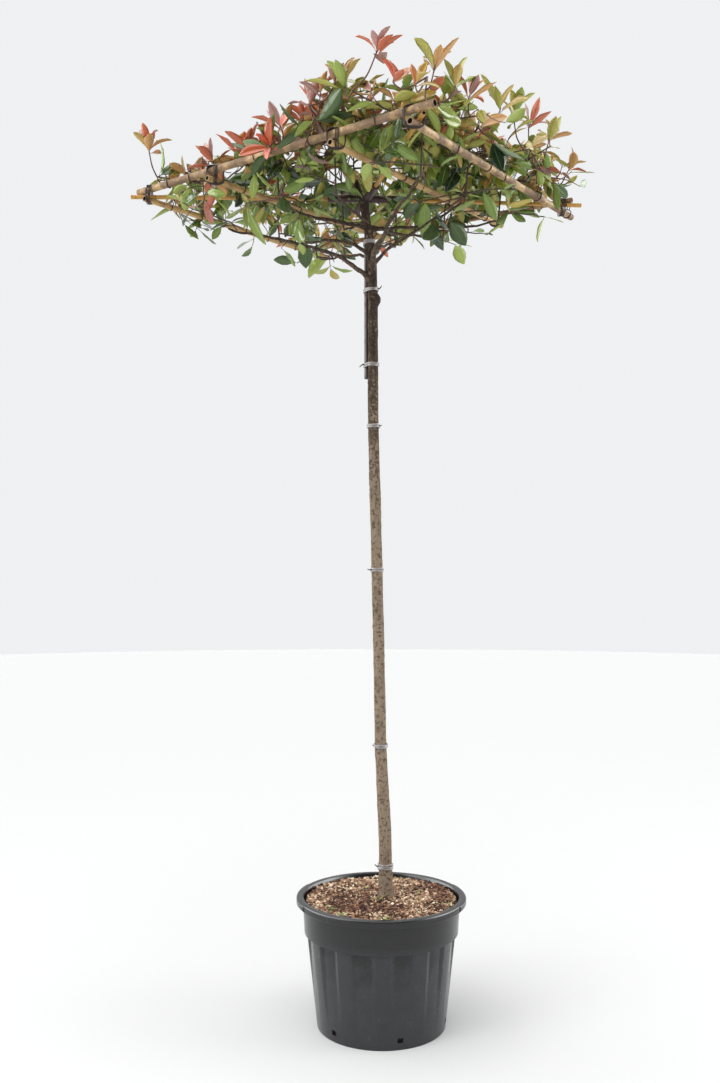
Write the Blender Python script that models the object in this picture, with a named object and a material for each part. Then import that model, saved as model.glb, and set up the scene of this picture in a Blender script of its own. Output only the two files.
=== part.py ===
"""A photinia standard tree in a round nursery pot, its crown trained flat on a cane frame.

Metres, +Z up, +X to the right, +Y to the back. The origin is the centre of the pot's
flat underside. A square frame of bamboo canes lies level at the top of the trunk: a
steel post tied to the trunk carries a cross, four diagonal canes plug into the cross,
and six square canes lie under and over the diagonals, lashed where they meet.
"""

import math
import random
from typing import NamedTuple

import bmesh
import bpy
from mathutils import Vector

CLEARANCE = 0.0003
UP = Vector((0.0, 0.0, 1.0))
GOLDEN_ANGLE = math.radians(137.508)
SMOOTH_ANGLE = math.radians(40.0)
FLAT_ANGLE = math.radians(0.4)

# Pot: outside sizes, wall and flutes
POT_HEIGHT = 0.410
POT_WALL = 0.004
POT_FLOOR = 0.005
BASE_RADIUS = 0.206
WALL_TOP_RADIUS = 0.239
SHOULDER_HEIGHT = 0.300
SHOULDER_DROP = 0.004
COLLAR_FOOT_RADIUS = 0.247
COLLAR_TOP_RADIUS = 0.252
LIP_RADIUS = 0.270
LIP_HEIGHT = 0.024
LIP_ROUND = 0.006
GRIP_SWELL = 0.003
GRIP_HALF_ANGLE = math.radians(26.0)
FOOT_BAND_HEIGHT = 0.048
FLUTE_COUNT = 12
FLUTE_DEPTH = 0.007
FLUTE_STEPS = (-8.5, -6.5, 6.5, 8.5)
FLUTE_PRESSED = (0.0, 1.0, 1.0, 0.0)
DRAIN_COUNT = 6
DRAIN_PHASE = math.radians(-75.0)
DRAIN_SIZE = (0.020, 0.015)
DRAIN_HEIGHT = 0.030
DRAIN_REACH = 0.012

# Soil: a low mound that the trunk stands on
SOIL_CROWN = 0.400
SOIL_EDGE = 0.390
SOIL_RINGS = (0.070, 0.160)
SOIL_ROUGHNESS = 0.0015

# Trunk: height, place and diameter from the flared foot to the tip
TRUNK_SIDES = 10
TRUNK_FOOT = SOIL_CROWN + CLEARANCE
TRUNK_STATIONS = (
    (TRUNK_FOOT, 0.0145, 0.0100, 0.0560),
    (0.418, 0.0143, 0.0100, 0.0480),
    (0.460, 0.0140, 0.0100, 0.0440),
    (0.580, 0.0130, 0.0100, 0.0420),
    (0.900, -0.0015, 0.0100, 0.0385),
    (1.370, -0.0110, 0.0090, 0.0360),
    (1.970, -0.0255, 0.0070, 0.0355),
    (2.330, -0.0255, 0.0060, 0.0310),
    (2.460, -0.0295, 0.0050, 0.0310),
    (2.550, -0.0385, 0.0010, 0.0285),
    (2.620, -0.0525, -0.0110, 0.0250),
    (2.680, -0.0700, -0.0320, 0.0200),
    (2.720, -0.0850, -0.0460, 0.0150),
)

# Ties round the trunk: height, and whether the steel post is tied in with it
TIE_HEIGHT = 0.009
TIE_THICKNESS = 0.0022
TIE_SIDES = 8
TIES = (
    (0.498, False),
    (0.887, False),
    (1.456, False),
    (1.925, False),
    (2.127, True),
    (2.373, True),
    (2.528, True),
)

# Steel post and cross
POST_PLACE = (-0.0445, 0.0300)
POST_RADIUS = 0.010
POST_FOOT = 2.083
CROSS_HEIGHT = 2.680
CROSS_TUBE_RADIUS = 0.0125
CROSS_SIDES = 6
CROSS_ARM = 0.130
SOCKET_DEPTH = 0.060

# Frame plan: s runs from the left corner to the front corner, t from there to the right
FRAME_TURN = math.radians(-37.0)
FRAME_CENTRE = (-0.045, 0.030)
CANE_SIDES = 8
DIAGONAL_RADIUS = 0.0068
NODE_SPACING = 0.300
NODE_PHASE = 0.140
NODE_SWELL = 0.0012
NODE_HALF_WIDTH = 0.008
NODE_KEEP_OFF = 0.040
UPPER, MIDDLE, LOWER = 1, 0, -1
PARALLEL_SPREAD = 0.1


class Cane(NamedTuple):
    name: str
    start: tuple
    end: tuple
    radius: float
    layer: int


CANES = (
    Cane("cane_front_left", (-0.598, -0.456), (0.564, -0.456), 0.0115, UPPER),
    Cane("cane_back_right", (-0.540, 0.376), (0.515, 0.459), 0.0085, UPPER),
    Cane("cane_back_left", (-0.548, -0.478), (-0.496, 0.412), 0.0092, LOWER),
    Cane("cane_inner_left", (-0.251, -0.489), (-0.166, 0.434), 0.0090, LOWER),
    Cane("cane_inner_right", (0.229, -0.484), (0.239, 0.470), 0.0095, LOWER),
    Cane("cane_front_right", (0.494, -0.472), (0.477, 0.529), 0.0105, LOWER),
)
DIAGONALS = (
    Cane("diagonal_left", (0.0, 0.0), (-0.608, -0.481), DIAGONAL_RADIUS, MIDDLE),
    Cane("diagonal_front", (0.0, 0.0), (0.530, -0.458), DIAGONAL_RADIUS, MIDDLE),
    Cane("diagonal_right", (0.0, 0.0), (0.535, 0.485), DIAGONAL_RADIUS, MIDDLE),
    Cane("diagonal_back", (0.0, 0.0), (-0.530, 0.406), DIAGONAL_RADIUS, MIDDLE),
)

# Wire lashings: a loop each, at a place in the frame's plan, its plane turned in degrees
LASHING_WIRE = 0.0028
LASHING_WIDTH = 0.0060
LASHING_SIDES = 8
LASHING_SLACK = 0.0005
LASHING_HALF_HEIGHT = 0.022
LASHING_ROOM = {2: 0.024, 3: 0.032}


class Lashing(NamedTuple):
    name: str
    place: tuple
    turn: float
    held: tuple


LASHINGS = (
    Lashing(
        "lashing_left", (-0.558, -0.4425), -51.7,
        ("cane_front_left", "cane_back_left", "diagonal_left"),
    ),
    Lashing(
        "lashing_front", (0.505, -0.438), 49.2,
        ("cane_front_left", "cane_front_right", "diagonal_front"),
    ),
    Lashing(
        "lashing_right", (0.490, 0.4445), -47.8,
        ("cane_back_right", "cane_front_right", "diagonal_right"),
    ),
    Lashing(
        "lashing_back", (-0.504, 0.386), 52.5,
        ("cane_back_right", "cane_back_left", "diagonal_back"),
    ),
    Lashing("lashing_front_left", (-0.248, -0.456), 45.0, ("cane_front_left", "cane_inner_left")),
    Lashing("lashing_front_mid", (0.2295, -0.456), 45.0, ("cane_front_left", "cane_inner_right")),
    Lashing("lashing_back_left", (-0.169, 0.4052), 45.0, ("cane_back_right", "cane_inner_left")),
    Lashing("lashing_back_mid", (0.2387, 0.4373), 45.0, ("cane_back_right", "cane_inner_right")),
)

# Crown: where each mass's stem passes up between the canes, in the frame's plan
MASSES = {
    "corner_left": (-0.430, -0.250),
    "front_left": (-0.110, -0.330),
    "front_mid": (0.100, -0.300),
    "corner_front": (0.400, -0.270),
    "right_mid": (0.380, 0.020),
    "corner_right": (0.370, 0.245),
    "back_right": (0.110, 0.310),
    "back_left": (-0.085, 0.290),
    "corner_back": (-0.400, 0.220),
    "left_mid": (-0.380, -0.020),
    "centre_left": (-0.115, 0.010),
    "centre": (0.013, -0.090),
}
REACH = ((-0.640, 0.660), (-0.560, 0.530))
LOWEST_LEAF = 2.555
CELL_MARGIN = 0.0008

# Boughs: height and bearing at which each leaves the trunk, and its base diameter
BOUGH_SIDES = 6
BOUGH_STEPS = 9
BOUGH_TIP_HEIGHT = 2.598
BOUGH_TIP_SETBACK = 0.030
BOUGH_TIP_RADIUS = 0.0055
BOUGH_LEAVE_SLOPE = math.radians(50.0)
BOUGH_TIP_SLOPE = math.radians(22.0)
BOUGH_HANDLE = 0.36
BOUGH_TIP_HANDLE = 0.80
BOUGH_FIRST_RISE = 0.75
BOUGH_CUT_SPARE = 0.00002
BOUGHS = {
    "corner_left": (2.395, 186.0, 0.0190),
    "right_mid": (2.450, -8.0, 0.0130),
    "corner_front": (2.440, -80.0, 0.0220),
    "corner_back": (2.428, 62.0, 0.0150),
    "back_left": (2.478, 38.0, 0.0140),
    "left_mid": (2.475, 200.0, 0.0150),
    "back_right": (2.572, 30.0, 0.0130),
    "corner_right": (2.560, -15.0, 0.0140),
    "front_mid": (2.585, 262.0, 0.0130),
    "front_left": (2.566, 212.0, 0.0140),
    "centre_left": (2.604, 176.0, 0.0110),
}

# Growth rule of a mass
STEM_SIDES = 4
TWIG_SIDES = 3
HUB_HEIGHT = 2.728
STEM_RADII = (0.0062, 0.0056, 0.0048, 0.0034)
STEM_SET_OFF = 0.016
STEM_ABOVE_HUB = 0.018
STEM_LEADER = 0.055
UPPER_LATERALS = 6
UPPER_LATERAL_RISE = 0.008
LATERAL_EDGE = 0.006
LATERAL_SLOPE = math.radians(6.0)
LATERAL_LENGTH = 0.300
LATERAL_RADII = (0.0052, 0.0036)
LATERAL_LIFT = 0.06
LOWER_LATERALS = 2
LOWER_LATERAL_HEIGHT = 2.628
LOWER_LATERAL_LENGTH = 0.150
LOWER_LATERAL_TURN = 2.0
SHOOT_SPACING = 0.110
SHOOT_FIRST = 0.085
SHOOT_LEAN = math.radians(24.0)
SHOOT_RADII = (0.0027, 0.0023)
SHOOT_HEIGHT = (0.035, 0.075)
SHOOT_HEIGHT_SPREAD = 0.015
LOW_SIDE, HIGH_SIDE = -0.500, 0.050
SHOOT_SIDEWAYS = 0.5
SHOOT_LAST = 0.985
HANGING_DROP = 0.6
HANGING_OUT = 0.5
WHORL = 5
WHORL_OPENING = math.radians(48.0)
WHORL_SPREAD = 0.25
LEAF_LENGTH = (0.122, 0.148)
LEAF_WIDTH = 0.46
LEAF_THICKNESS = 0.0034
LEAF_FOLD = 0.0055
LEAF_BROADEST = 0.46
LEAF_SINK = 0.0004
LEAF_STEP = 0.0050
LEAF_FIRST = 0.0020
LIMB_MARGIN = 0.0006
STEP_ALONG_TWIG = 0.012

# Share of the leaf's half width at shares of its length, for tests of its clearance
LEAF_OUTLINE = ((0.12, 0.3), (0.30, 0.8), (0.46, 1.0), (0.70, 0.6), (1.0, 0.02))
BLADE_OUTLINE = ((0.40, 1.0), (0.60, 0.8), (0.80, 0.5), (1.0, 0.1))
BLADE_TO_BLADE = 0.55
BLADE_TO_TWIG = 0.70

# Leaders: long shoots that make the crown's own outline, as mass, place in plan, tip height
LEADER_BEND = (0.60, 0.020)
LEADER_OPENING = 0.8
LEADER_TRIES = 12
LEADER_FEET = (0.25, 0.50, 0.75, 0.95)
LEADERS = (
    ("corner_left", (-0.490, -0.470), 2.815),
    ("corner_front", (0.405, -0.470), 2.855),
    ("corner_front", (0.520, -0.380), 2.800),
    ("right_mid", (0.560, 0.020), 2.830),
    ("corner_right", (0.590, 0.330), 2.765),
    ("front_mid", (0.130, -0.470), 2.830),
    ("corner_back", (-0.540, 0.430), 2.800),
    ("back_right", (0.120, 0.480), 2.840),
)


def clear_scene():
    """Remove every object, so that only the plant and its pot are left."""
    for old in list(bpy.data.objects):
        bpy.data.objects.remove(old, do_unlink=True)


def look_of(name):
    """A new material of one sub-part, with the colour and gloss that LOOKS gives it."""
    colour, roughness, metallic = LOOKS[name]
    material = bpy.data.materials.new(name)
    material.use_nodes = True
    shader = material.node_tree.nodes["Principled BSDF"]
    shader.inputs["Base Color"].default_value = (*colour, 1.0)
    shader.inputs["Roughness"].default_value = roughness
    shader.inputs["Metallic"].default_value = metallic
    return material


def add_object(name, mesh, material=None):
    """Link a mesh to the scene as one named object."""
    mesh.name = name
    built = bpy.data.objects.new(name, mesh)
    bpy.context.scene.collection.objects.link(built)
    if material is not None:
        mesh.materials.clear()
        mesh.materials.append(material)
        mesh.shade_smooth()
        mesh.set_sharp_from_angle(angle=SMOOTH_ANGLE)
    return built


def mesh_from_faces(points, faces):
    """A mesh whose faces all point outwards."""
    shell = bmesh.new()
    corners = [shell.verts.new(point) for point in points]
    for face in faces:
        shell.faces.new([corners[index] for index in face])
    bmesh.ops.recalc_face_normals(shell, faces=shell.faces)
    mesh = bpy.data.meshes.new("shell")
    shell.to_mesh(mesh)
    shell.free()
    return mesh


def loft(rings, split=False):
    """A closed solid through rings of equal count, with flat ends. Split sides are triangles."""
    count = len(rings[0])
    points = [point for ring in rings for point in ring]
    faces = [tuple(range(count))]
    for level in range(len(rings) - 1):
        low, high = level * count, (level + 1) * count
        for side in range(count):
            after = (side + 1) % count
            if split:
                faces.append((low + side, low + after, high + after))
                faces.append((low + side, high + after, high + side))
            else:
                faces.append((low + side, low + after, high + after, high + side))
    last = (len(rings) - 1) * count
    faces.append(tuple(range(last, last + count)))
    return mesh_from_faces(points, faces)


def ring_band(inner, outer, offset):
    """A closed band between two loops of points, made thick along an offset vector."""
    count = len(inner)
    loops = [inner, outer, [p + offset for p in outer], [p + offset for p in inner]]
    points = [point for loop in loops for point in loop]
    faces = []
    for loop in range(4):
        start, following = loop * count, (loop + 1) % 4 * count
        for side in range(count):
            after = (side + 1) % count
            faces.append((start + side, start + after, following + after, following + side))
    return mesh_from_faces(points, faces)


def tube(points, radii, sides):
    """A tapering tube through points, with its rings square to the path."""
    rings = []
    across = None
    for index, point in enumerate(points):
        before = points[max(index - 1, 0)]
        after = points[min(index + 1, len(points) - 1)]
        along = (after - before).normalized()
        if across is None:
            across = along.orthogonal().normalized()
        across = (across - along * across.dot(along)).normalized()
        over = along.cross(across)
        rings.append([
            point + radii[index] * (math.cos(turn) * across + math.sin(turn) * over)
            for turn in (2 * math.pi * side / sides for side in range(sides))
        ])
    return loft(rings)


def evaluated_mesh(built):
    """The object's mesh with its modifiers applied."""
    bpy.context.view_layer.update()
    graph = bpy.context.evaluated_depsgraph_get()
    return bpy.data.meshes.new_from_object(built.evaluated_get(graph))


def apply_boolean(base, operation, tool=None, tools=None):
    """Apply one Boolean to the base object and return its new mesh."""
    modifier = base.modifiers.new("join", "BOOLEAN")
    modifier.operation = operation
    if tools is None:
        modifier.object = tool
    else:
        modifier.operand_type = "COLLECTION"
        modifier.collection = tools
    mesh = evaluated_mesh(base)
    bpy.data.objects.remove(base, do_unlink=True)
    return mesh


def union(meshes):
    """Join overlapping closed meshes into one by a Boolean union on a collection."""
    base = add_object("base", meshes[0])
    tools = bpy.data.collections.new("tools")
    for mesh in meshes[1:]:
        tools.objects.link(bpy.data.objects.new("tool", mesh))
    joined = apply_boolean(base, "UNION", tools=tools)
    for tool in list(tools.objects):
        bpy.data.objects.remove(tool, do_unlink=True)
    bpy.data.collections.remove(tools)
    return keep_largest_body(joined)


def subtract(mesh, cutter_mesh):
    """Cut one closed mesh away from another."""
    base = add_object("base", mesh)
    cutter = add_object("cutter", cutter_mesh)
    cut = apply_boolean(base, "DIFFERENCE", tool=cutter)
    bpy.data.objects.remove(cutter, do_unlink=True)
    return cut


def keep_largest_body(mesh):
    """Drop loose scraps, so that the largest connected body is left."""
    shell = bmesh.new()
    shell.from_mesh(mesh)
    waiting = set(shell.verts)
    bodies = []
    while waiting:
        edge_front = [waiting.pop()]
        body = set(edge_front)
        while edge_front:
            corner = edge_front.pop()
            for edge in corner.link_edges:
                other = edge.other_vert(corner)
                if other in waiting:
                    waiting.discard(other)
                    body.add(other)
                    edge_front.append(other)
        bodies.append(body)
    bodies.sort(key=len)
    scraps = [corner for body in bodies[:-1] for corner in body]
    bmesh.ops.delete(shell, geom=scraps, context="VERTS")
    bmesh.ops.dissolve_limit(shell, angle_limit=FLAT_ANGLE, verts=shell.verts, edges=shell.edges)
    bmesh.ops.triangulate(shell, faces=shell.faces)
    shell.to_mesh(mesh)
    shell.free()
    return mesh


# Pot and soil

def pot_angles():
    """Angles round the pot: four to each flute, with -Y in the middle between two flutes."""
    period = 360.0 / FLUTE_COUNT
    middle = -90.0 + period / 2
    return [
        math.radians(middle + period * flute + step)
        for flute in range(FLUTE_COUNT)
        for step in FLUTE_STEPS
    ]


def flute_amount(step_index, height):
    """How far a flute is pressed in, from 0 on its ribs to 1 at the top of its hollow."""
    pressed = FLUTE_PRESSED[step_index % len(FLUTE_STEPS)]
    rise = (height - FOOT_BAND_HEIGHT) / (SHOULDER_HEIGHT - FOOT_BAND_HEIGHT)
    return pressed * min(max(rise, 0.0), 1.0)


def wall_radius(height):
    """Outside radius of the plain wall between base and shoulder."""
    return BASE_RADIUS + (WALL_TOP_RADIUS - BASE_RADIUS) * height / SHOULDER_HEIGHT


def pot_ring(radius, height, fluted=False, grip=0.0):
    """One ring of the pot, pressed in at its flutes and swollen at its two grips."""
    ring = []
    for index, angle in enumerate(pot_angles()):
        reach = radius
        if fluted:
            reach -= FLUTE_DEPTH * flute_amount(index, height)
        if abs(math.cos(angle)) > math.cos(GRIP_HALF_ANGLE):
            reach += grip
        ring.append(Vector((reach * math.cos(angle), reach * math.sin(angle), height)))
    return ring


def make_pot(material):
    """The fluted pot: a thin tapering wall, a plain collar, a thick lip and drain holes."""
    under_lip = POT_HEIGHT - LIP_HEIGHT
    under_shoulder = SHOULDER_HEIGHT - SHOULDER_DROP
    outside = [
        pot_ring(BASE_RADIUS, 0.0),
        pot_ring(wall_radius(FOOT_BAND_HEIGHT), FOOT_BAND_HEIGHT),
        pot_ring(wall_radius(under_shoulder), under_shoulder, fluted=True),
        pot_ring(COLLAR_FOOT_RADIUS, SHOULDER_HEIGHT),
        pot_ring(COLLAR_TOP_RADIUS, under_lip),
        pot_ring(LIP_RADIUS - LIP_ROUND / 2, under_lip, grip=GRIP_SWELL),
        pot_ring(LIP_RADIUS, under_lip + LIP_ROUND, grip=GRIP_SWELL),
        pot_ring(LIP_RADIUS, POT_HEIGHT - LIP_ROUND, grip=GRIP_SWELL),
        pot_ring(LIP_RADIUS - LIP_ROUND, POT_HEIGHT, grip=GRIP_SWELL),
        pot_ring(COLLAR_TOP_RADIUS, POT_HEIGHT),
    ]
    inside = [
        pot_ring(COLLAR_TOP_RADIUS - POT_WALL, POT_HEIGHT - LIP_ROUND),
        pot_ring(COLLAR_FOOT_RADIUS - POT_WALL, SHOULDER_HEIGHT + POT_WALL),
        pot_ring(wall_radius(SHOULDER_HEIGHT) - POT_WALL, SHOULDER_HEIGHT, fluted=True),
        pot_ring(wall_radius(FOOT_BAND_HEIGHT) - POT_WALL, FOOT_BAND_HEIGHT),
        pot_ring(BASE_RADIUS - POT_WALL, POT_FLOOR),
    ]
    shell = loft(outside + inside, split=True)
    width, tall = DRAIN_SIZE
    for index in range(DRAIN_COUNT):
        turn = DRAIN_PHASE + index * 2 * math.pi / DRAIN_COUNT
        out = Vector((math.cos(turn), math.sin(turn), 0.0))
        across = Vector((-out.y, out.x, 0.0)) * width / 2
        rings = []
        for reach in (BASE_RADIUS - DRAIN_REACH, BASE_RADIUS + DRAIN_REACH):
            centre = out * reach + UP * DRAIN_HEIGHT
            rings.append([
                centre + side * across + level * UP * tall / 2
                for side, level in ((-1, -1), (1, -1), (1, 1), (-1, 1))
            ])
        shell = subtract(shell, loft(rings))
    add_object("pot", shell, material)


def make_soil(material):
    """Potting soil that fills the pot to just under the lip, mounded at the trunk."""
    chance = random.Random("soil")
    gap = POT_WALL + CLEARANCE
    rings = [
        pot_ring(BASE_RADIUS - gap, POT_FLOOR + CLEARANCE),
        pot_ring(wall_radius(FOOT_BAND_HEIGHT) - gap, FOOT_BAND_HEIGHT),
        pot_ring(wall_radius(SHOULDER_HEIGHT) - gap, SHOULDER_HEIGHT, fluted=True),
        pot_ring(COLLAR_FOOT_RADIUS - gap, SHOULDER_HEIGHT + POT_WALL + CLEARANCE),
        pot_ring(COLLAR_FOOT_RADIUS - gap, SOIL_EDGE),
    ]
    for radius in reversed(SOIL_RINGS):
        share = (COLLAR_FOOT_RADIUS - radius) / (COLLAR_FOOT_RADIUS - SOIL_RINGS[0])
        height = SOIL_EDGE + (SOIL_CROWN - SOIL_EDGE) * share
        ring = pot_ring(radius, height)
        if radius > SOIL_RINGS[0]:
            for point in ring:
                point.z += chance.uniform(-SOIL_ROUGHNESS, 0.0)
        rings.append(ring)
    add_object("soil", loft(rings[::-1], split=True), material)


# Trunk, post and cross

def trunk_at(height):
    """Centre and radius of the trunk at a height."""
    for low, high in zip(TRUNK_STATIONS, TRUNK_STATIONS[1:]):
        if height <= high[0]:
            break
    share = (height - low[0]) / (high[0] - low[0])
    mixed = [a + (b - a) * share for a, b in zip(low, high)]
    return Vector((mixed[1], mixed[2], height)), mixed[3] / 2


def trunk_tip_direction():
    """The way the trunk points at its tip."""
    last, before = TRUNK_STATIONS[-1], TRUNK_STATIONS[-2]
    return Vector((last[1] - before[1], last[2] - before[2], last[0] - before[0])).normalized()


def trunk_mesh(swell=0.0):
    """The trunk: level rings up its lean, and a tip cut square to the way it grows."""
    rings = []
    for height, x, y, diameter in TRUNK_STATIONS[:-1]:
        radius = diameter / 2 + swell
        rings.append([
            Vector((x + radius * math.cos(turn), y + radius * math.sin(turn), height))
            for turn in (2 * math.pi * side / TRUNK_SIDES for side in range(TRUNK_SIDES))
        ])
    height, x, y, diameter = TRUNK_STATIONS[-1]
    along = trunk_tip_direction()
    across = (Vector((1.0, 0.0, 0.0)) - along * along.x).normalized()
    over = along.cross(across)
    centre = Vector((x, y, height))
    rings.append([
        centre + (diameter / 2 + swell) * (math.cos(turn) * across + math.sin(turn) * over)
        for turn in (2 * math.pi * side / TRUNK_SIDES for side in range(TRUNK_SIDES))
    ])
    return loft(rings)


def wrap(sections, clearance, sides):
    """A loop round ellipses (u, v, half width, half height), as corners of tangent lines."""
    turns = [2 * math.pi * side / sides for side in range(sides)]
    reaches = [
        clearance + max(
            u * math.cos(turn) + v * math.sin(turn)
            + math.hypot(wide * math.cos(turn), tall * math.sin(turn))
            for u, v, wide, tall in sections
        )
        for turn in turns
    ]
    corners = []
    for side in range(sides):
        after = (side + 1) % sides
        a, b = turns[side], turns[after]
        spread = math.sin(b - a)
        corners.append((
            (reaches[side] * math.sin(b) - reaches[after] * math.sin(a)) / spread,
            (reaches[after] * math.cos(a) - reaches[side] * math.cos(b)) / spread,
        ))
    return corners


def make_ties(material):
    """Soft ties round the trunk, the upper ones round the steel post as well."""
    for number, (height, with_post) in enumerate(TIES, start=1):
        low, low_radius = trunk_at(height - TIE_HEIGHT / 2)
        high, high_radius = trunk_at(height + TIE_HEIGHT / 2)
        sections = [
            (low.x, low.y, low_radius, low_radius),
            (high.x, high.y, high_radius, high_radius),
        ]
        if with_post:
            sections.append((*POST_PLACE, POST_RADIUS, POST_RADIUS))
        loops = [
            [Vector((u, v, low.z)) for u, v in wrap(sections, spare, TIE_SIDES)]
            for spare in (CLEARANCE, CLEARANCE + TIE_THICKNESS)
        ]
        add_object(f"tie_{number}", ring_band(*loops, UP * TIE_HEIGHT), material)


def make_post(material):
    """The steel post, from behind the trunk up to the underside of the cross."""
    top = CROSS_HEIGHT - CROSS_TUBE_RADIUS - CLEARANCE
    ends = [Vector((*POST_PLACE, height)) for height in (POST_FOOT, top)]
    add_object("post", tube(ends, [POST_RADIUS] * 2, TRUNK_SIDES), material)


def on_frame(place, height):
    """A point given in the frame's plan, in the part's own coordinates."""
    s, t = place
    cosine, sine = math.cos(FRAME_TURN), math.sin(FRAME_TURN)
    return Vector((
        FRAME_CENTRE[0] + s * cosine - t * sine,
        FRAME_CENTRE[1] + s * sine + t * cosine,
        height,
    ))


def plan_of(point):
    """The place in the frame's plan of a point in the part's own coordinates."""
    x, y = point.x - FRAME_CENTRE[0], point.y - FRAME_CENTRE[1]
    cosine, sine = math.cos(FRAME_TURN), math.sin(FRAME_TURN)
    return x * cosine + y * sine, y * cosine - x * sine


def diagonal_direction(cane):
    """The level direction in which a diagonal runs out from the cross."""
    return (on_frame(cane.end, 0.0) - on_frame(cane.start, 0.0)).normalized()


def make_cross(material):
    """Four arms of steel tube joined at the hub, each with a socket for its diagonal."""
    hub = on_frame((0.0, 0.0), CROSS_HEIGHT)
    arms = []
    for cane in DIAGONALS:
        way = diagonal_direction(cane)
        ends = [hub - way * CROSS_TUBE_RADIUS, hub + way * CROSS_ARM]
        arms.append(tube(ends, [CROSS_TUBE_RADIUS] * 2, CROSS_SIDES))
    shell = union(arms)
    for cane in DIAGONALS:
        way = diagonal_direction(cane)
        ends = [hub + way * (CROSS_ARM - SOCKET_DEPTH), hub + way * (CROSS_ARM + SOCKET_DEPTH)]
        shell = subtract(shell, tube(ends, [cane.radius + 2 * CLEARANCE] * 2, CANE_SIDES))
    add_object("cross", shell, material)


# Canes and lashings

def cane_height(cane):
    """Square canes touch the diagonals from below or above, but for the clearance."""
    return CROSS_HEIGHT + cane.layer * (DIAGONAL_RADIUS + CLEARANCE + cane.radius)


def cane_ends(cane):
    """Both ends of a cane's axis. A diagonal starts inside its socket."""
    height = cane_height(cane)
    start, end = on_frame(cane.start, height), on_frame(cane.end, height)
    if cane.layer == MIDDLE:
        start += diagonal_direction(cane) * (CROSS_ARM - SOCKET_DEPTH + CLEARANCE)
    return start, end


def crossing_distances(cane):
    """How far along a cane each of the others crosses it."""
    start, end = cane_ends(cane)
    along = (end - start).normalized()
    distances = []
    for other in CANES + DIAGONALS:
        if other is cane:
            continue
        first, last = cane_ends(other)
        way = (last - first).normalized()
        spread = along.x * way.y - along.y * way.x
        if abs(spread) > PARALLEL_SPREAD:
            offset = first - start
            distances.append((offset.x * way.y - offset.y * way.x) / spread)
    return distances


def cane_mesh(cane):
    """A bamboo cane: a slim round pole with swollen nodes, kept off the crossings."""
    start, end = cane_ends(cane)
    along = (end - start).normalized()
    length = (end - start).length
    crossings = crossing_distances(cane)
    stations = [(0.0, cane.radius)]
    node = NODE_PHASE
    while node < length - NODE_KEEP_OFF:
        in_socket = cane.layer == MIDDLE and node < SOCKET_DEPTH + NODE_KEEP_OFF
        if not in_socket and all(abs(node - spot) > NODE_KEEP_OFF for spot in crossings):
            stations += [
                (node - NODE_HALF_WIDTH, cane.radius),
                (node, cane.radius + NODE_SWELL),
                (node + NODE_HALF_WIDTH, cane.radius),
            ]
        node += NODE_SPACING
    stations.append((length, cane.radius))
    points = [start + along * distance for distance, _ in stations]
    return tube(points, [radius for _, radius in stations], CANE_SIDES)


def make_lashing(lashing, material):
    """A wire loop in an upright plane, drawn round the canes that it holds."""
    canes = {cane.name: cane for cane in CANES + DIAGONALS}
    centre = on_frame(lashing.place, CROSS_HEIGHT)
    bearing = FRAME_TURN + math.radians(lashing.turn)
    level = Vector((math.cos(bearing), math.sin(bearing), 0.0))
    facing = level.cross(UP)
    sections = []
    for cane in (canes[held] for held in lashing.held):
        start, end = cane_ends(cane)
        along = (end - start).normalized()
        where = start + along * ((centre - start).dot(facing) / along.dot(facing))
        square = abs(along.dot(facing))
        slide = LASHING_WIDTH / 2 * abs(along.dot(level)) / square
        sections.append((
            (where - centre).dot(level),
            where.z - centre.z,
            cane.radius / square + slide,
            cane.radius,
        ))
    loops = [
        [
            centre - facing * LASHING_WIDTH / 2 + level * u + UP * v
            for u, v in wrap(sections, spare, LASHING_SIDES)
        ]
        for spare in (LASHING_SLACK, LASHING_SLACK + LASHING_WIRE)
    ]
    add_object(lashing.name, ring_band(*loops, facing * LASHING_WIDTH), material)


# Boughs

def bearing_vector(degrees):
    """A level unit vector at a bearing, turned from +X towards +Y."""
    turn = math.radians(degrees)
    return Vector((math.cos(turn), math.sin(turn), 0.0))


def sloping(level, slope):
    """A level direction turned up by a slope."""
    return level * math.cos(slope) + UP * math.sin(slope)


def bough_path(mass):
    """Centre points and radii of one bough, from the trunk's axis to its tip."""
    height, bearing, diameter = BOUGHS[mass]
    base = trunk_at(height)[0]
    above = on_frame(MASSES[mass], BOUGH_TIP_HEIGHT)
    outward = Vector((above.x - base.x, above.y - base.y, 0.0)).normalized()
    tip = above - outward * BOUGH_TIP_SETBACK
    handle = BOUGH_HANDLE * (tip - base).length
    leave = sloping(bearing_vector(bearing), BOUGH_LEAVE_SLOPE)
    most = BOUGH_FIRST_RISE * (tip.z - base.z) / leave.z
    first = base + leave * min(handle, most)
    second = tip - sloping(outward, BOUGH_TIP_SLOPE) * handle * BOUGH_TIP_HANDLE
    points, radii = [], []
    for step in range(BOUGH_STEPS + 1):
        share = step / BOUGH_STEPS
        rest = 1.0 - share
        points.append(
            base * rest**3 + first * 3 * rest**2 * share + second * 3 * rest * share**2 + tip * share**3
        )
        radii.append(diameter / 2 + (BOUGH_TIP_RADIUS - diameter / 2) * share)
    return points, radii


def make_bough(mass, trunk_cutter, material):
    """One tapering limb, cut to the trunk's surface where it leaves it."""
    points, radii = bough_path(mass)
    limb = keep_largest_body(subtract(tube(points, radii, BOUGH_SIDES), trunk_cutter.copy()))
    add_object(f"bough_{mass}", limb, material)


# Foliage

class Capsule(NamedTuple):
    start: Vector
    end: Vector
    start_radius: float
    end_radius: float


def capsules_along(points, radii):
    """Capsules that cover a tapering path."""
    return [
        Capsule(points[i], points[i + 1], radii[i], radii[i + 1]) for i in range(len(points) - 1)
    ]


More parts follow.
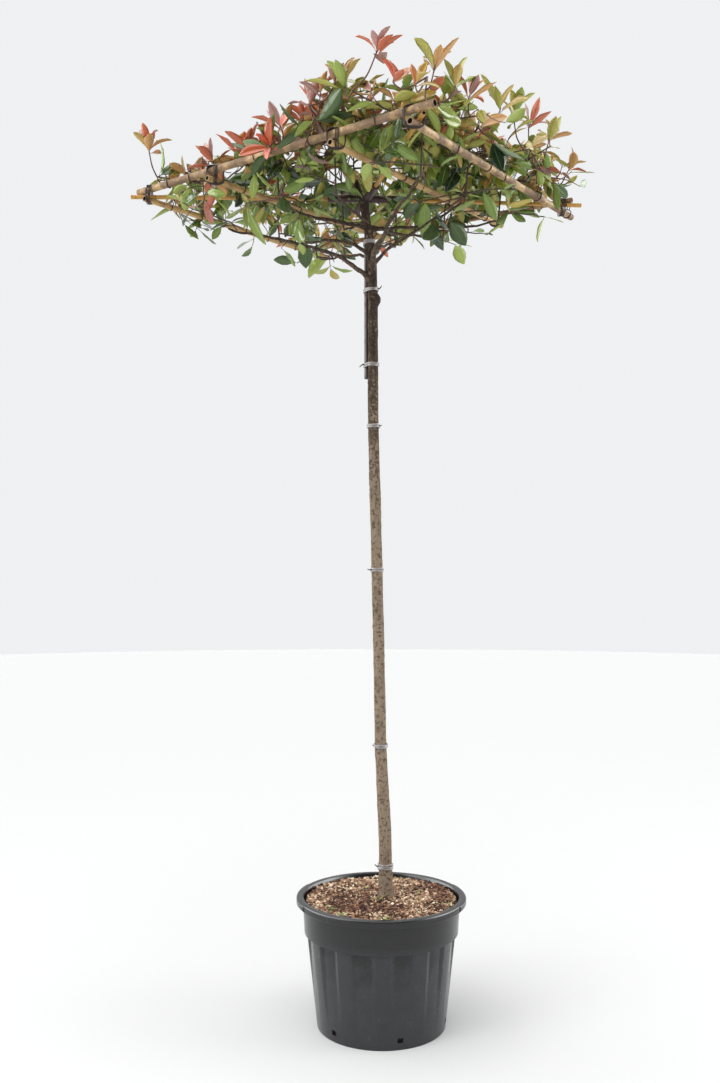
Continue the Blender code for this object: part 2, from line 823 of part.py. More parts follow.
def solid_capsules():
    """Everything stiff that leaves and twigs keep clear of."""
    stiff = capsules_along(
        [Vector((x, y, z)) for z, x, y, _ in TRUNK_STATIONS],
        [diameter / 2 for _, _, _, diameter in TRUNK_STATIONS],
    )
    for mass in BOUGHS:
        stiff += capsules_along(*bough_path(mass))
    for cane in CANES + DIAGONALS:
        start, end = cane_ends(cane)
        stiff.append(Capsule(start, end, cane.radius + NODE_SWELL, cane.radius + NODE_SWELL))
    hub = on_frame((0.0, 0.0), CROSS_HEIGHT)
    for cane in DIAGONALS:
        tip = hub + diagonal_direction(cane) * CROSS_ARM
        stiff.append(Capsule(hub, tip, CROSS_TUBE_RADIUS, CROSS_TUBE_RADIUS))
    post_foot = Vector((*POST_PLACE, POST_FOOT))
    post_top = Vector((*POST_PLACE, CROSS_HEIGHT))
    stiff.append(Capsule(post_foot, post_top, POST_RADIUS, POST_RADIUS))
    for lashing in LASHINGS:
        half_wide = LASHING_ROOM[len(lashing.held)]
        low = on_frame(lashing.place, CROSS_HEIGHT - LASHING_HALF_HEIGHT)
        high = on_frame(lashing.place, CROSS_HEIGHT + LASHING_HALF_HEIGHT)
        stiff.append(Capsule(low, high, half_wide, half_wide))
    height = TIES[-1][0]
    tie_centre, radius = trunk_at(height)
    post = Vector((*POST_PLACE, height))
    spare = TIE_HEIGHT / 2 + TIE_THICKNESS
    stiff.append(Capsule(tie_centre, post, radius + spare, POST_RADIUS + spare))
    return stiff


def is_clear(point, radius, stiff):
    """Whether a ball stays clear of every stiff piece."""
    for capsule in stiff:
        along = capsule.end - capsule.start
        share = min(max((point - capsule.start).dot(along) / along.length_squared, 0.0), 1.0)
        nearest = capsule.start + along * share
        thick = capsule.start_radius + (capsule.end_radius - capsule.start_radius) * share
        if (point - nearest).length < thick + radius + LIMB_MARGIN:
            return False
    return True


def is_own_space(mass, point, radius=0.0):
    """Whether a ball lies in the mass's own cell and inside the crown's reach."""
    s, t = plan_of(point)
    (left, right), (front, back) = REACH
    if not (left < s < right and front < t < back and point.z - radius > LOWEST_LEAF):
        return False
    own_s, own_t = MASSES[mass]
    for other, (other_s, other_t) in MASSES.items():
        if other == mass:
            continue
        gap_s, gap_t = other_s - own_s, other_t - own_t
        middle_s, middle_t = (own_s + other_s) / 2, (own_t + other_t) / 2
        beyond = ((s - middle_s) * gap_s + (t - middle_t) * gap_t) / math.hypot(gap_s, gap_t)
        if beyond > -(CELL_MARGIN + radius):
            return False
    return True


class Twig(NamedTuple):
    points: list
    radii: list
    sides: int


class Leaf(NamedTuple):
    root: Vector
    way: Vector
    face: Vector
    length: float


def twig_fits(mass, twig, stiff):
    """Whether a whole twig keeps to its mass's space and clear of the limbs."""
    for start, end, radius in zip(twig.points, twig.points[1:], twig.radii):
        steps = max(1, round((end - start).length / STEP_ALONG_TWIG))
        for step in range(steps + 1):
            point = start.lerp(end, step / steps)
            if not (is_own_space(mass, point, radius) and is_clear(point, radius, stiff)):
                return False
    return True


def leaf_corners(leaf):
    """Root, both edges, midrib above and below, and tip of an eight-sided leaf."""
    side = leaf.way.cross(leaf.face).normalized()
    face = side.cross(leaf.way)
    half_rib = face * LEAF_THICKNESS / 2
    middle = leaf.root + leaf.way * leaf.length * LEAF_BROADEST
    edge = side * leaf.length * LEAF_WIDTH / 2
    return [
        leaf.root,
        middle + edge + face * LEAF_FOLD,
        middle - edge + face * LEAF_FOLD,
        middle + half_rib,
        middle - half_rib,
        leaf.root + leaf.way * leaf.length,
    ]


LEAF_FACES = (
    (0, 1, 3), (0, 3, 2), (5, 3, 1), (5, 2, 3), (0, 4, 1), (0, 2, 4), (5, 1, 4), (5, 4, 2),
)


def leaf_fits(mass, leaf, stiff):
    """Whether a leaf keeps to its mass's space and clear of every stiff piece."""
    corners = leaf_corners(leaf)
    if not all(is_own_space(mass, corner) for corner in corners):
        return False
    for share, width in LEAF_OUTLINE:
        point = leaf.root + leaf.way * leaf.length * share
        if not is_clear(point, width * leaf.length * LEAF_WIDTH / 2, stiff):
            return False
    return True


def leaf_stands_free(leaf, kept, twig_capsules):
    """Whether the blade of a leaf stays off the blades beside it and off every twig."""
    for share, width in BLADE_OUTLINE:
        point = leaf.root + leaf.way * leaf.length * share
        half_width = width * leaf.length * LEAF_WIDTH / 2
        if not is_clear(point, half_width * BLADE_TO_TWIG, twig_capsules):
            return False
        for other in kept:
            for other_share, other_width in BLADE_OUTLINE:
                beside = other.root + other.way * other.length * other_share
                room = (width + other_width) * LEAF_LENGTH[0] * LEAF_WIDTH / 2 * BLADE_TO_BLADE
                if (point - beside).length < room:
                    return False
    return True


def choose_leaves(mass, leaves, twigs, stiff):
    """The leaves that fit their mass's space and stand free of one another."""
    twig_capsules = [each for twig in twigs for each in capsules_along(twig.points, twig.radii)]
    kept = []
    for leaf in leaves:
        if leaf_fits(mass, leaf, stiff) and leaf_stands_free(leaf, kept, twig_capsules):
            kept.append(leaf)
    return kept


def lifted(start, way, length):
    """Three points of a lateral that sets off one way and bends up half way along."""
    middle = start + way * length / 2
    return [start, middle, middle + (way + UP * LATERAL_LIFT).normalized() * length / 2]


def length_inside(mass, start, way, longest):
    """How far a twig may run before it would leave its mass's space."""
    length = 0.0
    ahead = start + way * STEP_ALONG_TWIG
    while length < longest and is_own_space(mass, ahead, LATERAL_EDGE):
        length += STEP_ALONG_TWIG
        ahead += way * STEP_ALONG_TWIG
    return length


def whorl(tip, axis, opening, chance):
    """Leaves set round a twig's tip at the golden angle."""
    across = axis.orthogonal().normalized()
    over = axis.cross(across)
    phase = chance.uniform(0, 2 * math.pi)
    leaves = []
    for number in range(WHORL):
        turn = phase + number * GOLDEN_ANGLE
        out = across * math.cos(turn) + over * math.sin(turn)
        open_by = opening + chance.uniform(-WHORL_SPREAD, WHORL_SPREAD)
        way = (axis * math.cos(open_by) + out * math.sin(open_by)).normalized()
        face = (axis * math.sin(open_by) - out * math.cos(open_by)).normalized()
        root = tip - axis * (LEAF_FIRST + LEAF_STEP * number) - way * LEAF_SINK
        leaves.append(Leaf(root, way, face, chance.uniform(*LEAF_LENGTH)))
    return leaves


def stem_of(mass):
    """The one stem of a mass, from 0.3 mm off its bough's tip up between the canes."""
    if mass in BOUGHS:
        points, _ = bough_path(mass)
        tip, way = points[-1], (points[-1] - points[-2]).normalized()
    else:
        _, x, y, _ = TRUNK_STATIONS[-1]
        tip, way = Vector((x, y, TRUNK_STATIONS[-1][0])), trunk_tip_direction()
    start = tip + way * CLEARANCE
    hub = on_frame(MASSES[mass], HUB_HEIGHT + STEM_ABOVE_HUB)
    bend = start + way * STEM_SET_OFF
    top = hub + UP * STEM_LEADER
    middle = bend.lerp(hub, 0.5)
    return Twig([start, bend, middle, hub, top], [STEM_RADII[0], *STEM_RADII], STEM_SIDES)


def on_twig(twig, share):
    """The point at a share of a twig's length, counted evenly over its points."""
    spans = len(twig.points) - 1
    first = min(int(share * spans), spans - 1)
    return twig.points[first].lerp(twig.points[first + 1], share * spans - first)


def on_stem(stem, height):
    """The point where a stem passes a height."""
    for low, high in zip(stem.points, stem.points[1:]):
        if height <= high.z:
            break
    return low.lerp(high, (height - low.z) / (high.z - low.z))


def grow(mass, stiff):
    """All twigs and leaves of one mass, by the growth rule."""
    chance = random.Random(mass)
    stem = stem_of(mass)
    twigs, leaves = [stem], whorl(stem.points[-1], UP, WHORL_OPENING, chance)
    phase = chance.uniform(0, 2 * math.pi)
    thick, thin = LATERAL_RADII
    for number in range(UPPER_LATERALS):
        start = on_stem(stem, HUB_HEIGHT + UPPER_LATERAL_RISE * number)
        bearing = math.degrees(phase + number * GOLDEN_ANGLE)
        way = sloping(bearing_vector(bearing), LATERAL_SLOPE)
        length = length_inside(mass, start, way, LATERAL_LENGTH)
        lateral = Twig(lifted(start, way, length), [thick, (thick + thin) / 2, thin], TWIG_SIDES)
        if length > SHOOT_FIRST and twig_fits(mass, lateral, stiff):
            twigs.append(lateral)
            grow_shoots(mass, lateral, twigs, leaves, stiff, chance)
    for number in range(LOWER_LATERALS):
        start = on_stem(stem, LOWER_LATERAL_HEIGHT)
        way = bearing_vector(math.degrees(phase + number * math.pi + LOWER_LATERAL_TURN))
        length = length_inside(mass, start, way, LOWER_LATERAL_LENGTH)
        lateral = Twig([start, start + way * length], list(SHOOT_RADII), TWIG_SIDES)
        if length > SHOOT_FIRST and twig_fits(mass, lateral, stiff):
            twigs.append(lateral)
            hanging = (way - UP * HANGING_DROP).normalized()
            leaves += whorl(lateral.points[-1], hanging, WHORL_OPENING, chance)
    for owner, place, height in LEADERS:
        if owner == mass:
            grow_leader(mass, place, height, twigs, leaves, stiff, chance)
    return twigs, choose_leaves(mass, leaves, twigs, stiff)


def shoot_height(foot):
    """Shoots are short over the left corner and tall over the middle and the right."""
    share = (plan_of(foot)[0] - LOW_SIDE) / (HIGH_SIDE - LOW_SIDE)
    low, high = SHOOT_HEIGHT
    return low + (high - low) * min(max(share, 0.0), 1.0)


def grow_shoots(mass, lateral, twigs, leaves, stiff, chance):
    """Upright shoots along a lateral, each with a whorl at its tip and a leaf at its foot."""
    span = lateral.points[-1] - lateral.points[0]
    outward = span.normalized()
    distance = SHOOT_FIRST
    while distance < span.length + SHOOT_SPACING / 2:
        foot = on_twig(lateral, min(distance / span.length, SHOOT_LAST))
        sideways = UP.cross(outward) * chance.uniform(-SHOOT_SIDEWAYS, SHOOT_SIDEWAYS)
        way = (UP + (outward + sideways) * math.tan(SHOOT_LEAN)).normalized()
        tall = shoot_height(foot) + chance.uniform(-SHOOT_HEIGHT_SPREAD, SHOOT_HEIGHT_SPREAD)
        shoot = Twig([foot, foot + way * tall], list(SHOOT_RADII), TWIG_SIDES)
        if twig_fits(mass, shoot, stiff):
            twigs.append(shoot)
            leaves += whorl(shoot.points[-1], way, WHORL_OPENING, chance)
            hanging = (outward * HANGING_OUT + sideways - UP * HANGING_DROP).normalized()
            face = (UP - hanging * hanging.z).normalized()
            leaves.append(Leaf(foot - hanging * LEAF_SINK, hanging, face, chance.uniform(*LEAF_LENGTH)))
        distance += SHOOT_SPACING


def grow_leader(mass, place, height, twigs, leaves, stiff, chance):
    """One long shoot from the nearest twig that has a clear way up to a named place."""
    target = on_frame(place, height)
    upper = [twig for twig in twigs[1:] if twig.points[0].z >= HUB_HEIGHT]
    feet = [on_twig(twig, share) for twig in upper for share in LEADER_FEET]
    feet.sort(key=lambda foot: (foot - target).length)
    share, drop = LEADER_BEND
    for foot in feet[:LEADER_TRIES]:
        bend = foot.lerp(target, share) - UP * drop
        leader = Twig([foot, bend, target], [*LATERAL_RADII, SHOOT_RADII[1]], TWIG_SIDES)
        if twig_fits(mass, leader, stiff):
            twigs.append(leader)
            way = (target - bend).normalized()
            leaves += whorl(target, way, WHORL_OPENING * LEADER_OPENING, chance)
            return


def make_foliage(mass, stiff, material):
    """One mass of foliage: its twigs and leaves joined into one solid."""
    twigs, leaves = grow(mass, stiff)
    meshes = [tube(twig.points, twig.radii, twig.sides) for twig in twigs]
    meshes += [mesh_from_faces(leaf_corners(leaf), LEAF_FACES) for leaf in leaves]
    add_object(f"foliage_{mass}", union(meshes), material)


# Colours as seen in daylight, linear, with roughness and metallic value
LOOKS = {
    "pot_plastic": ((0.030, 0.032, 0.034), 0.42, 0.0),
    "bark_soil": ((0.190, 0.105, 0.060), 0.95, 0.0),
    "trunk_bark": ((0.230, 0.185, 0.140), 0.90, 0.0),
    "bough_bark": ((0.140, 0.090, 0.065), 0.85, 0.0),
    "post_steel": ((0.045, 0.038, 0.040), 0.50, 0.6),
    "cross_steel": ((0.060, 0.030, 0.032), 0.50, 0.5),
    "tie_rubber": ((0.330, 0.330, 0.340), 0.60, 0.0),
    "bamboo": ((0.560, 0.390, 0.200), 0.55, 0.0),
    "lashing_wire": ((0.035, 0.030, 0.030), 0.50, 0.0),
    "photinia_leaf": ((0.120, 0.190, 0.045), 0.50, 0.0),
}


def make_frame():
    """The post, its cross, and the canes with their lashings."""
    make_post(look_of("post_steel"))
    make_cross(look_of("cross_steel"))
    for cane in CANES + DIAGONALS:
        add_object(cane.name, cane_mesh(cane), look_of("bamboo"))
    for lashing in LASHINGS:
        make_lashing(lashing, look_of("lashing_wire"))


def main():
    """Build the pot, the plant and the frame that its crown is trained on."""
    clear_scene()
    make_pot(look_of("pot_plastic"))
    make_soil(look_of("bark_soil"))
    add_object("trunk", trunk_mesh(), look_of("trunk_bark"))
    trunk_cutter = trunk_mesh(swell=CLEARANCE / math.cos(math.pi / TRUNK_SIDES) + BOUGH_CUT_SPARE)
    for mass in BOUGHS:
        make_bough(mass, trunk_cutter, look_of("bough_bark"))
    make_ties(look_of("tie_rubber"))
    make_frame()
    stiff = solid_capsules()
    for mass in MASSES:
        make_foliage(mass, stiff, look_of("photinia_leaf"))


main()
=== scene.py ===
"""Looks of a photinia standard tree in a round nursery pot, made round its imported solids.

The crown grows by the same seeded rule as the solids, carried on to finer twigs and leaves.
Metres, +Z up, +X to the right, +Y to the back, origin under the middle of the pot.
"""

import logging
import math
import random
from dataclasses import dataclass, field
from enum import Enum
from typing import Iterable, Iterator, Mapping, Sequence

import bpy
import numpy as np
from bpy.types import Material, Node, NodeSocket, NodeTree
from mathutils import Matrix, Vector, noise


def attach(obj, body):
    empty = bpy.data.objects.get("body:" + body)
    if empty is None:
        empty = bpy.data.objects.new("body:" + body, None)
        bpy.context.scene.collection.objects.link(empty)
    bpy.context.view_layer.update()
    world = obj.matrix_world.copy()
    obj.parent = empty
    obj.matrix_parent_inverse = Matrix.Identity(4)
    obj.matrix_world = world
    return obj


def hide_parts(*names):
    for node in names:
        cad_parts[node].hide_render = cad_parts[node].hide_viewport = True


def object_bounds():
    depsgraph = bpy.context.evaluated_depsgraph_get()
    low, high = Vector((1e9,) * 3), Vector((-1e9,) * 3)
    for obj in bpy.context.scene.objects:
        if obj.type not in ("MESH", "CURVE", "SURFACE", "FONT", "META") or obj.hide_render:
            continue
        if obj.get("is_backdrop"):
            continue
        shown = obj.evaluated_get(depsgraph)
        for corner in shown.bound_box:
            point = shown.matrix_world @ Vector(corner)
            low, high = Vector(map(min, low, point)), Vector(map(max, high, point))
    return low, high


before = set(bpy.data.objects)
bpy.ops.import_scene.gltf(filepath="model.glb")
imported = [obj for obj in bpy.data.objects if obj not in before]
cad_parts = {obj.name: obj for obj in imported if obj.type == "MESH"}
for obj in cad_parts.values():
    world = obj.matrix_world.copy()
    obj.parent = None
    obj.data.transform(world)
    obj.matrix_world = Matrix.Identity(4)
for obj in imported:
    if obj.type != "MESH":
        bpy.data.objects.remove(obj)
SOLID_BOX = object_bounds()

LOG = logging.getLogger("photinia")
BODY = "root"
UP = Vector((0.0, 0.0, 1.0))
EYE = Vector((-0.0683, -3.5462, 1.4656))
BARK_DARK = (0.085, 0.055, 0.034)
CLEARANCE = 0.0003
GOLDEN_ANGLE = math.radians(137.508)
FULL_TURN = 2 * math.pi
Rows = np.ndarray
Chance = random.Random
Colour = tuple[float, float, float]
Place = tuple[float, float]
Span = tuple[float, float]


# Node graphs, and the effects that several finishes share

class Graph:
    """A node tree being wired. A value is a plain one, or the output socket that gives it."""

    def __init__(self, tree: NodeTree) -> None:
        """Keep the tree."""
        self.tree = tree

    def add(self, kind: str, inputs: Mapping[str | int, object] | None = None,
            **settings: object) -> Node:
        """Add a node, give it its own settings, then its inputs.

        Args:
            kind: The node's type name.
            inputs: A value for each input's name or number.
            settings: The node's own properties.

        Returns:
            The new node.
        """
        node = self.tree.nodes.new(kind)
        for name, value in settings.items():
            setattr(node, name, value)
        self.put(node, inputs or {})
        return node

    def put(self, node: Node, inputs: Mapping[str | int, object]) -> None:
        """Set or join a node's inputs.

        Args:
            node: The node.
            inputs: A value for each input's name or number.
        """
        for name, value in inputs.items():
            socket = node.inputs[name]
            if isinstance(value, NodeSocket):
                self.tree.links.new(value, socket)
            else:
                socket.default_value = (*value, 1.0) if socket.type == "RGBA" else value

    def sum(self, operation: str, first: object, second: object = 0.0) -> NodeSocket:
        """Work out one sum by a Math node's operation."""
        return self.add("ShaderNodeMath", {0: first, 1: second}, operation=operation).outputs[0]

    def plus(self, first: object, second: object) -> NodeSocket:
        """One value and another."""
        return self.sum("ADD", first, second)

    def minus(self, first: object, second: object) -> NodeSocket:
        """One value less another."""
        return self.sum("SUBTRACT", first, second)

    def times(self, first: object, second: object) -> NodeSocket:
        """One value times another."""
        return self.sum("MULTIPLY", first, second)

    def scaled(self, value: object, gain: float, base: float) -> NodeSocket:
        """A value times a gain, added to a base."""
        return self.plus(self.times(value, gain), base)

    def span(self, value: object, low: object, high: object) -> NodeSocket:
        """Map a value so that low gives 0 and high gives 1, held between them."""
        inputs = {"Value": value, "From Min": low, "From Max": high}
        return self.add("ShaderNodeMapRange", inputs, clamp=True).outputs["Result"]

    def mix(self, amount: object, first: object, second: object) -> NodeSocket:
        """Mix two colours: the first at an amount of 0, the second at 1."""
        return self.add("ShaderNodeMix", {0: amount, 6: first, 7: second}, data_type="RGBA").outputs[2]

    def split(self, vector: object) -> Mapping[str, NodeSocket]:
        """The X, Y and Z of a vector."""
        return self.add("ShaderNodeSeparateXYZ", {"Vector": vector}).outputs

    def cloud(self, where: object, scale: object, detail: float, roughness: float = 0.5) -> NodeSocket:
        """Noise of a scale, in waves to the metre."""
        inputs = {"Vector": where, "Scale": scale, "Detail": detail, "Roughness": roughness}
        return self.add("ShaderNodeTexNoise", inputs).outputs["Fac"]

    def effect(self, name: str, **inputs: object) -> Mapping[str, NodeSocket]:
        """Place a shared effect with its own values, and give its outputs."""
        return self.add("ShaderNodeGroup", inputs, node_tree=bpy.data.node_groups[name]).outputs

    def mask(self, name: str, **inputs: object) -> NodeSocket:
        """Place a shared effect with its own values, and give its mask."""
        return self.effect(name, **inputs)["Mask"]

    def where(self) -> NodeSocket:
        """The place on the plant, in metres."""
        return self.add("ShaderNodeTexCoord").outputs["Object"]

    def squeezed(self, where: object, height: float) -> NodeSocket:
        """A place with its height multiplied."""
        return self.add("ShaderNodeMapping", {"Vector": where, "Scale": (1.0, 1.0, height)}).outputs["Vector"]

    def grain(self) -> NodeSocket:
        """The place along and across a limb or cane, in metres, which its mesh carries."""
        return self.add("ShaderNodeAttribute", attribute_name="grain").outputs["Vector"]

    def bump(self, height: object, strength: float, distance: float) -> NodeSocket:
        """A normal from a height. A height of 1 is as deep as the distance."""
        inputs = {"Height": height, "Strength": strength, "Distance": distance}
        return self.add("ShaderNodeBump", inputs).outputs["Normal"]


class Effect(Graph):
    """A shader node group that several finishes share."""

    kinds = {float: "NodeSocketFloat", tuple: "NodeSocketColor", type(None): "NodeSocketVector"}

    def __init__(self, name: str, **inputs: object) -> None:
        """Start the group.

        Args:
            name: Its name.
            inputs: A number or a colour for each input, or None for a place.
        """
        super().__init__(bpy.data.node_groups.new(name, "ShaderNodeTree"))
        for label, value in inputs.items():
            kind = self.kinds[type(value)]
            socket = self.tree.interface.new_socket(name=label, in_out="INPUT", socket_type=kind)
            if value is not None:
                socket.default_value = (*value, 1.0) if isinstance(value, tuple) else value
        self.given = self.add("NodeGroupInput").outputs

    def give(self, **outputs: NodeSocket) -> None:
        """Make and join the group's outputs: the one called Color is a colour, the others are numbers.

        Args:
            outputs: The value of each.
        """
        for label in outputs:
            kind = self.kinds[tuple if label == "Color" else float]
            self.tree.interface.new_socket(name=label, in_out="OUTPUT", socket_type=kind)
        self.put(self.add("NodeGroupOutput"), outputs)


def build_mottle() -> None:
    """Soft patches that turn one colour into another, with their mask and a fine height."""
    effect = Effect("mottle", Where=None, Size=0.02, Share=0.5, Softness=0.15, Ground=(0.5, 0.5, 0.5),
                    Patch=(0.2, 0.2, 0.2))
    given = effect.given
    cloud = effect.cloud(given["Where"], effect.sum("DIVIDE", 1.0, given["Size"]), 4.0, 0.62)
    middle = effect.minus(1.0, given["Share"])
    mask = effect.span(cloud, effect.minus(middle, given["Softness"]), effect.plus(middle, given["Softness"]))
    effect.give(Color=effect.mix(mask, given["Ground"], given["Patch"]), Mask=mask, Height=cloud)


def build_streaks() -> None:
    """Long fibres that run with the grain, as a mask from 0 to 1."""
    effect = Effect("streaks", Where=None, Length=0.08, Width=0.002, Contrast=0.2)
    given = effect.given
    parts = effect.split(given["Where"])
    sizes = {"X": "Length", "Y": "Width", "Z": "Width"}
    drawn = {axis: effect.sum("DIVIDE", parts[axis], given[size]) for axis, size in sizes.items()}
    fibre = effect.cloud(effect.add("ShaderNodeCombineXYZ", drawn).outputs["Vector"], 1.0, 3.0, 0.6)
    low, high = effect.minus(0.5, given["Contrast"]), effect.plus(0.5, given["Contrast"])
    effect.give(Mask=effect.span(fibre, low, high))


def build_flecks() -> None:
    """Small round or drawn-out spots, as a mask from 0 to 1."""
    effect = Effect("flecks", Where=None, Spacing=0.01, Radius=0.25, Stretch=None)
    given = effect.given
    drawn = effect.add("ShaderNodeVectorMath", {0: given["Where"], 1: given["Stretch"]}, operation="MULTIPLY")
    cells = {"Vector": drawn.outputs["Vector"], "Scale": effect.sum("DIVIDE", 1.0, given["Spacing"])}
    distance = effect.add("ShaderNodeTexVoronoi", cells).outputs["Distance"]
    effect.give(Mask=effect.span(distance, given["Radius"], effect.times(given["Radius"], 0.6)))


def build_dust() -> None:
    """Dust that gathers on what faces up, in uneven patches, as a mask from 0 to 1."""
    effect = Effect("dust", Where=None, Size=0.04, Amount=0.3, Level=0.2)
    given = effect.given
    rise = effect.split(effect.add("ShaderNodeNewGeometry").outputs["Normal"])["Z"]
    cloud = effect.cloud(given["Where"], effect.sum("DIVIDE", 1.0, given["Size"]), 5.0, 0.7)
    settled = effect.plus(effect.span(rise, -1.0, 1.0), given["Level"])
    mask = effect.times(effect.times(effect.span(cloud, 0.35, 0.75), settled), given["Amount"])
    effect.give(Mask=effect.span(mask, 0.0, 1.0))


def build_veins() -> None:
    """The quilting between a leaf's side veins, as a height that falls along each vein."""
    effect = Effect("veins", Count=9.0, Sweep=0.22)
    blade = effect.split(effect.add("ShaderNodeUVMap", uv_map="blade").outputs["UV"])
    aside = effect.sum("ABSOLUTE", effect.minus(blade["Y"], 0.5))
    swept = effect.times(aside, effect.times(effect.given["Sweep"], 2.0))
    line = effect.times(effect.minus(blade["X"], swept), effect.given["Count"])
    wave = effect.sum("ABSOLUTE", effect.sum("SINE", effect.times(line, math.pi)))
    effect.give(Height=effect.times(effect.sum("POWER", wave, 0.5), effect.span(aside, 0.5, 0.3)))


# Finishes

@dataclass(frozen=True)
class Finish:
    """A dull surface of one base colour with patches of a second, and their relief."""

    name: str
    colour: Colour
    second: Colour = (0.05, 0.03, 0.02)
    roughness: float = 0.5
    metallic: float = 0.0
    specular: float = 0.5
    patch_size: float = 0.004
    patch_share: float = 0.45
    patch_edge: float = 0.12
    strength: float = 0.6
    relief: float = 0.001

    def make(self) -> Material:
        """Build the material with its detail.

        Returns:
            The new material.
        """
        material = bpy.data.materials.new(self.name)
        material.use_nodes = True
        graph = Graph(material.node_tree)
        inputs = {"Base Color": self.colour, "Roughness": self.roughness, "Metallic": self.metallic,
                  "Specular IOR Level": self.specular}
        graph.put(graph.tree.nodes["Principled BSDF"], inputs | self.detail(graph))
        return material

    def patches(self, graph: Graph) -> Mapping[str, NodeSocket]:
        """The outputs of the patches of the second colour."""
        return graph.effect("mottle", Where=graph.where(), Size=self.patch_size, Share=self.patch_share,
                            Softness=self.patch_edge, Ground=self.colour, Patch=self.second)

    def detail(self, graph: Graph) -> dict[str, object]:
        """Wire the surface's own detail.

        Args:
            graph: The material's graph.

        Returns:
            The shader's inputs that it changes.
        """
        patches = self.patches(graph)
        return {"Base Color": patches["Color"],
                "Normal": graph.bump(patches["Height"], self.strength, self.relief)}


@dataclass(frozen=True)
class LeafFinish(Finish):
    """A leaf's skin: faintly patched, glossy, quilted between its side veins."""

    quilt: float = 0.35

    def detail(self, graph: Graph) -> dict[str, object]:
        """Wire the patches, the uneven gloss and the quilting.

        Args:
            graph: The material's graph.

        Returns:
            The shader's inputs that it changes.
        """
        darker = tuple(min(part * 0.84, 1.0) for part in self.colour)
        patches = graph.effect("mottle", Where=graph.where(), Size=0.03, Share=0.5, Softness=0.25,
                               Ground=self.colour, Patch=darker)
        veins = graph.effect("veins", Count=9.0, Sweep=0.22)
        return {"Base Color": patches["Color"], "Coat Weight": 0.30, "Coat Roughness": 0.16,
                "Roughness": graph.scaled(patches["Mask"], 0.12, self.roughness - 0.04),
                "Normal": graph.bump(veins["Height"], self.quilt, 0.0012)}


@dataclass(frozen=True)
class BarkFinish(Finish):
    """Bark with blotches, fibres along the limb and corky spots, darker and patchier higher up: partly darker
    stains, partly painted shade under the crown.
    """

    # The colours higher up are darker: partly stains, partly painted shade under the crown.
    upper: Colour = (0.275, 0.205, 0.148)
    upper_second: Colour = (0.032, 0.020, 0.014)
    stain_and_shade_span: Span = (1.60, 2.20)
    share: Span = (0.44, 0.56)
    spot: Colour = (0.34, 0.28, 0.20)

    def detail(self, graph: Graph) -> dict[str, object]:
        """Wire the blotches, fibres, spots, darker top (stains and painted shade under the crown) and relief.

        Args:
            graph: The material's graph.

        Returns:
            The shader's inputs that it changes.
        """
        where = graph.where()
        # From 0 below to 1 high up, where the stains and the painted shade under the crown take over.
        rise = graph.span(graph.split(where)["Z"], *self.stain_and_shade_span)
        ground = graph.mix(rise, self.colour, self.upper)
        dark = graph.mix(rise, self.second, self.upper_second)
        share = graph.scaled(rise, self.share[1] - self.share[0], self.share[0])
        tall = graph.squeezed(where, 0.5)
        wide = graph.effect("mottle", Where=tall, Size=0.030, Share=share, Softness=0.05, Ground=ground,
                            Patch=dark)
        near = graph.mix(graph.scaled(rise, 0.50, 0.32), ground, wide["Color"])
        fine = graph.effect("mottle", Where=where, Size=0.010, Share=share, Softness=0.02, Ground=near,
                            Patch=dark)
        pale = graph.mask("mottle", Where=tall, Size=0.016, Share=0.36, Softness=0.03)
        paled = graph.mix(graph.times(pale, 0.42), near, self.spot)
        fibres = graph.mask("streaks", Where=graph.grain(), Length=0.03, Width=0.0022, Contrast=0.22)
        lined = graph.mix(graph.times(fibres, 0.30), graph.mix(0.86, paled, fine["Color"]), dark)
        spots = graph.mask("flecks", Where=where, Spacing=0.009, Radius=0.24, Stretch=(1.0, 1.0, 2.4))
        lift = graph.plus(graph.minus(fine["Height"], graph.times(fibres, 0.5)), graph.times(spots, 0.6))
        return {"Base Color": graph.mix(graph.times(spots, 0.50), lined, self.spot),
                "Normal": graph.bump(lift, 0.8, 0.0016)}


@dataclass(frozen=True)
class CaneFinish(Finish):
    """A dried culm: waxy skin, long fibres, weathered grey stretches and brown spots."""

    weathering: float = 0.45
    stain: Colour = (0.13, 0.07, 0.035)

    def detail(self, graph: Graph) -> dict[str, object]:
        """Wire the weathered stretches, fibres, stains and their unevenness.

        Args:
            graph: The material's graph.

        Returns:
            The shader's inputs that it changes.
        """
        where = graph.where()
        aged = graph.effect("mottle", Where=where, Size=0.055, Share=self.weathering, Softness=0.07,
                            Ground=self.colour, Patch=self.second)
        fibres = graph.mask("streaks", Where=graph.grain(), Length=0.07, Width=0.0016, Contrast=0.25)
        lined = graph.mix(graph.times(fibres, 0.28), aged["Color"], self.stain)
        stains = graph.effect("mottle", Where=where, Size=0.022, Share=0.36, Softness=0.05, Ground=lined,
                              Patch=self.stain)
        return {"Base Color": graph.mix(0.58, lined, stains["Color"]),
                "Roughness": graph.scaled(aged["Mask"], 0.22, self.roughness),
                "Normal": graph.bump(fibres, 0.35, 0.0007)}


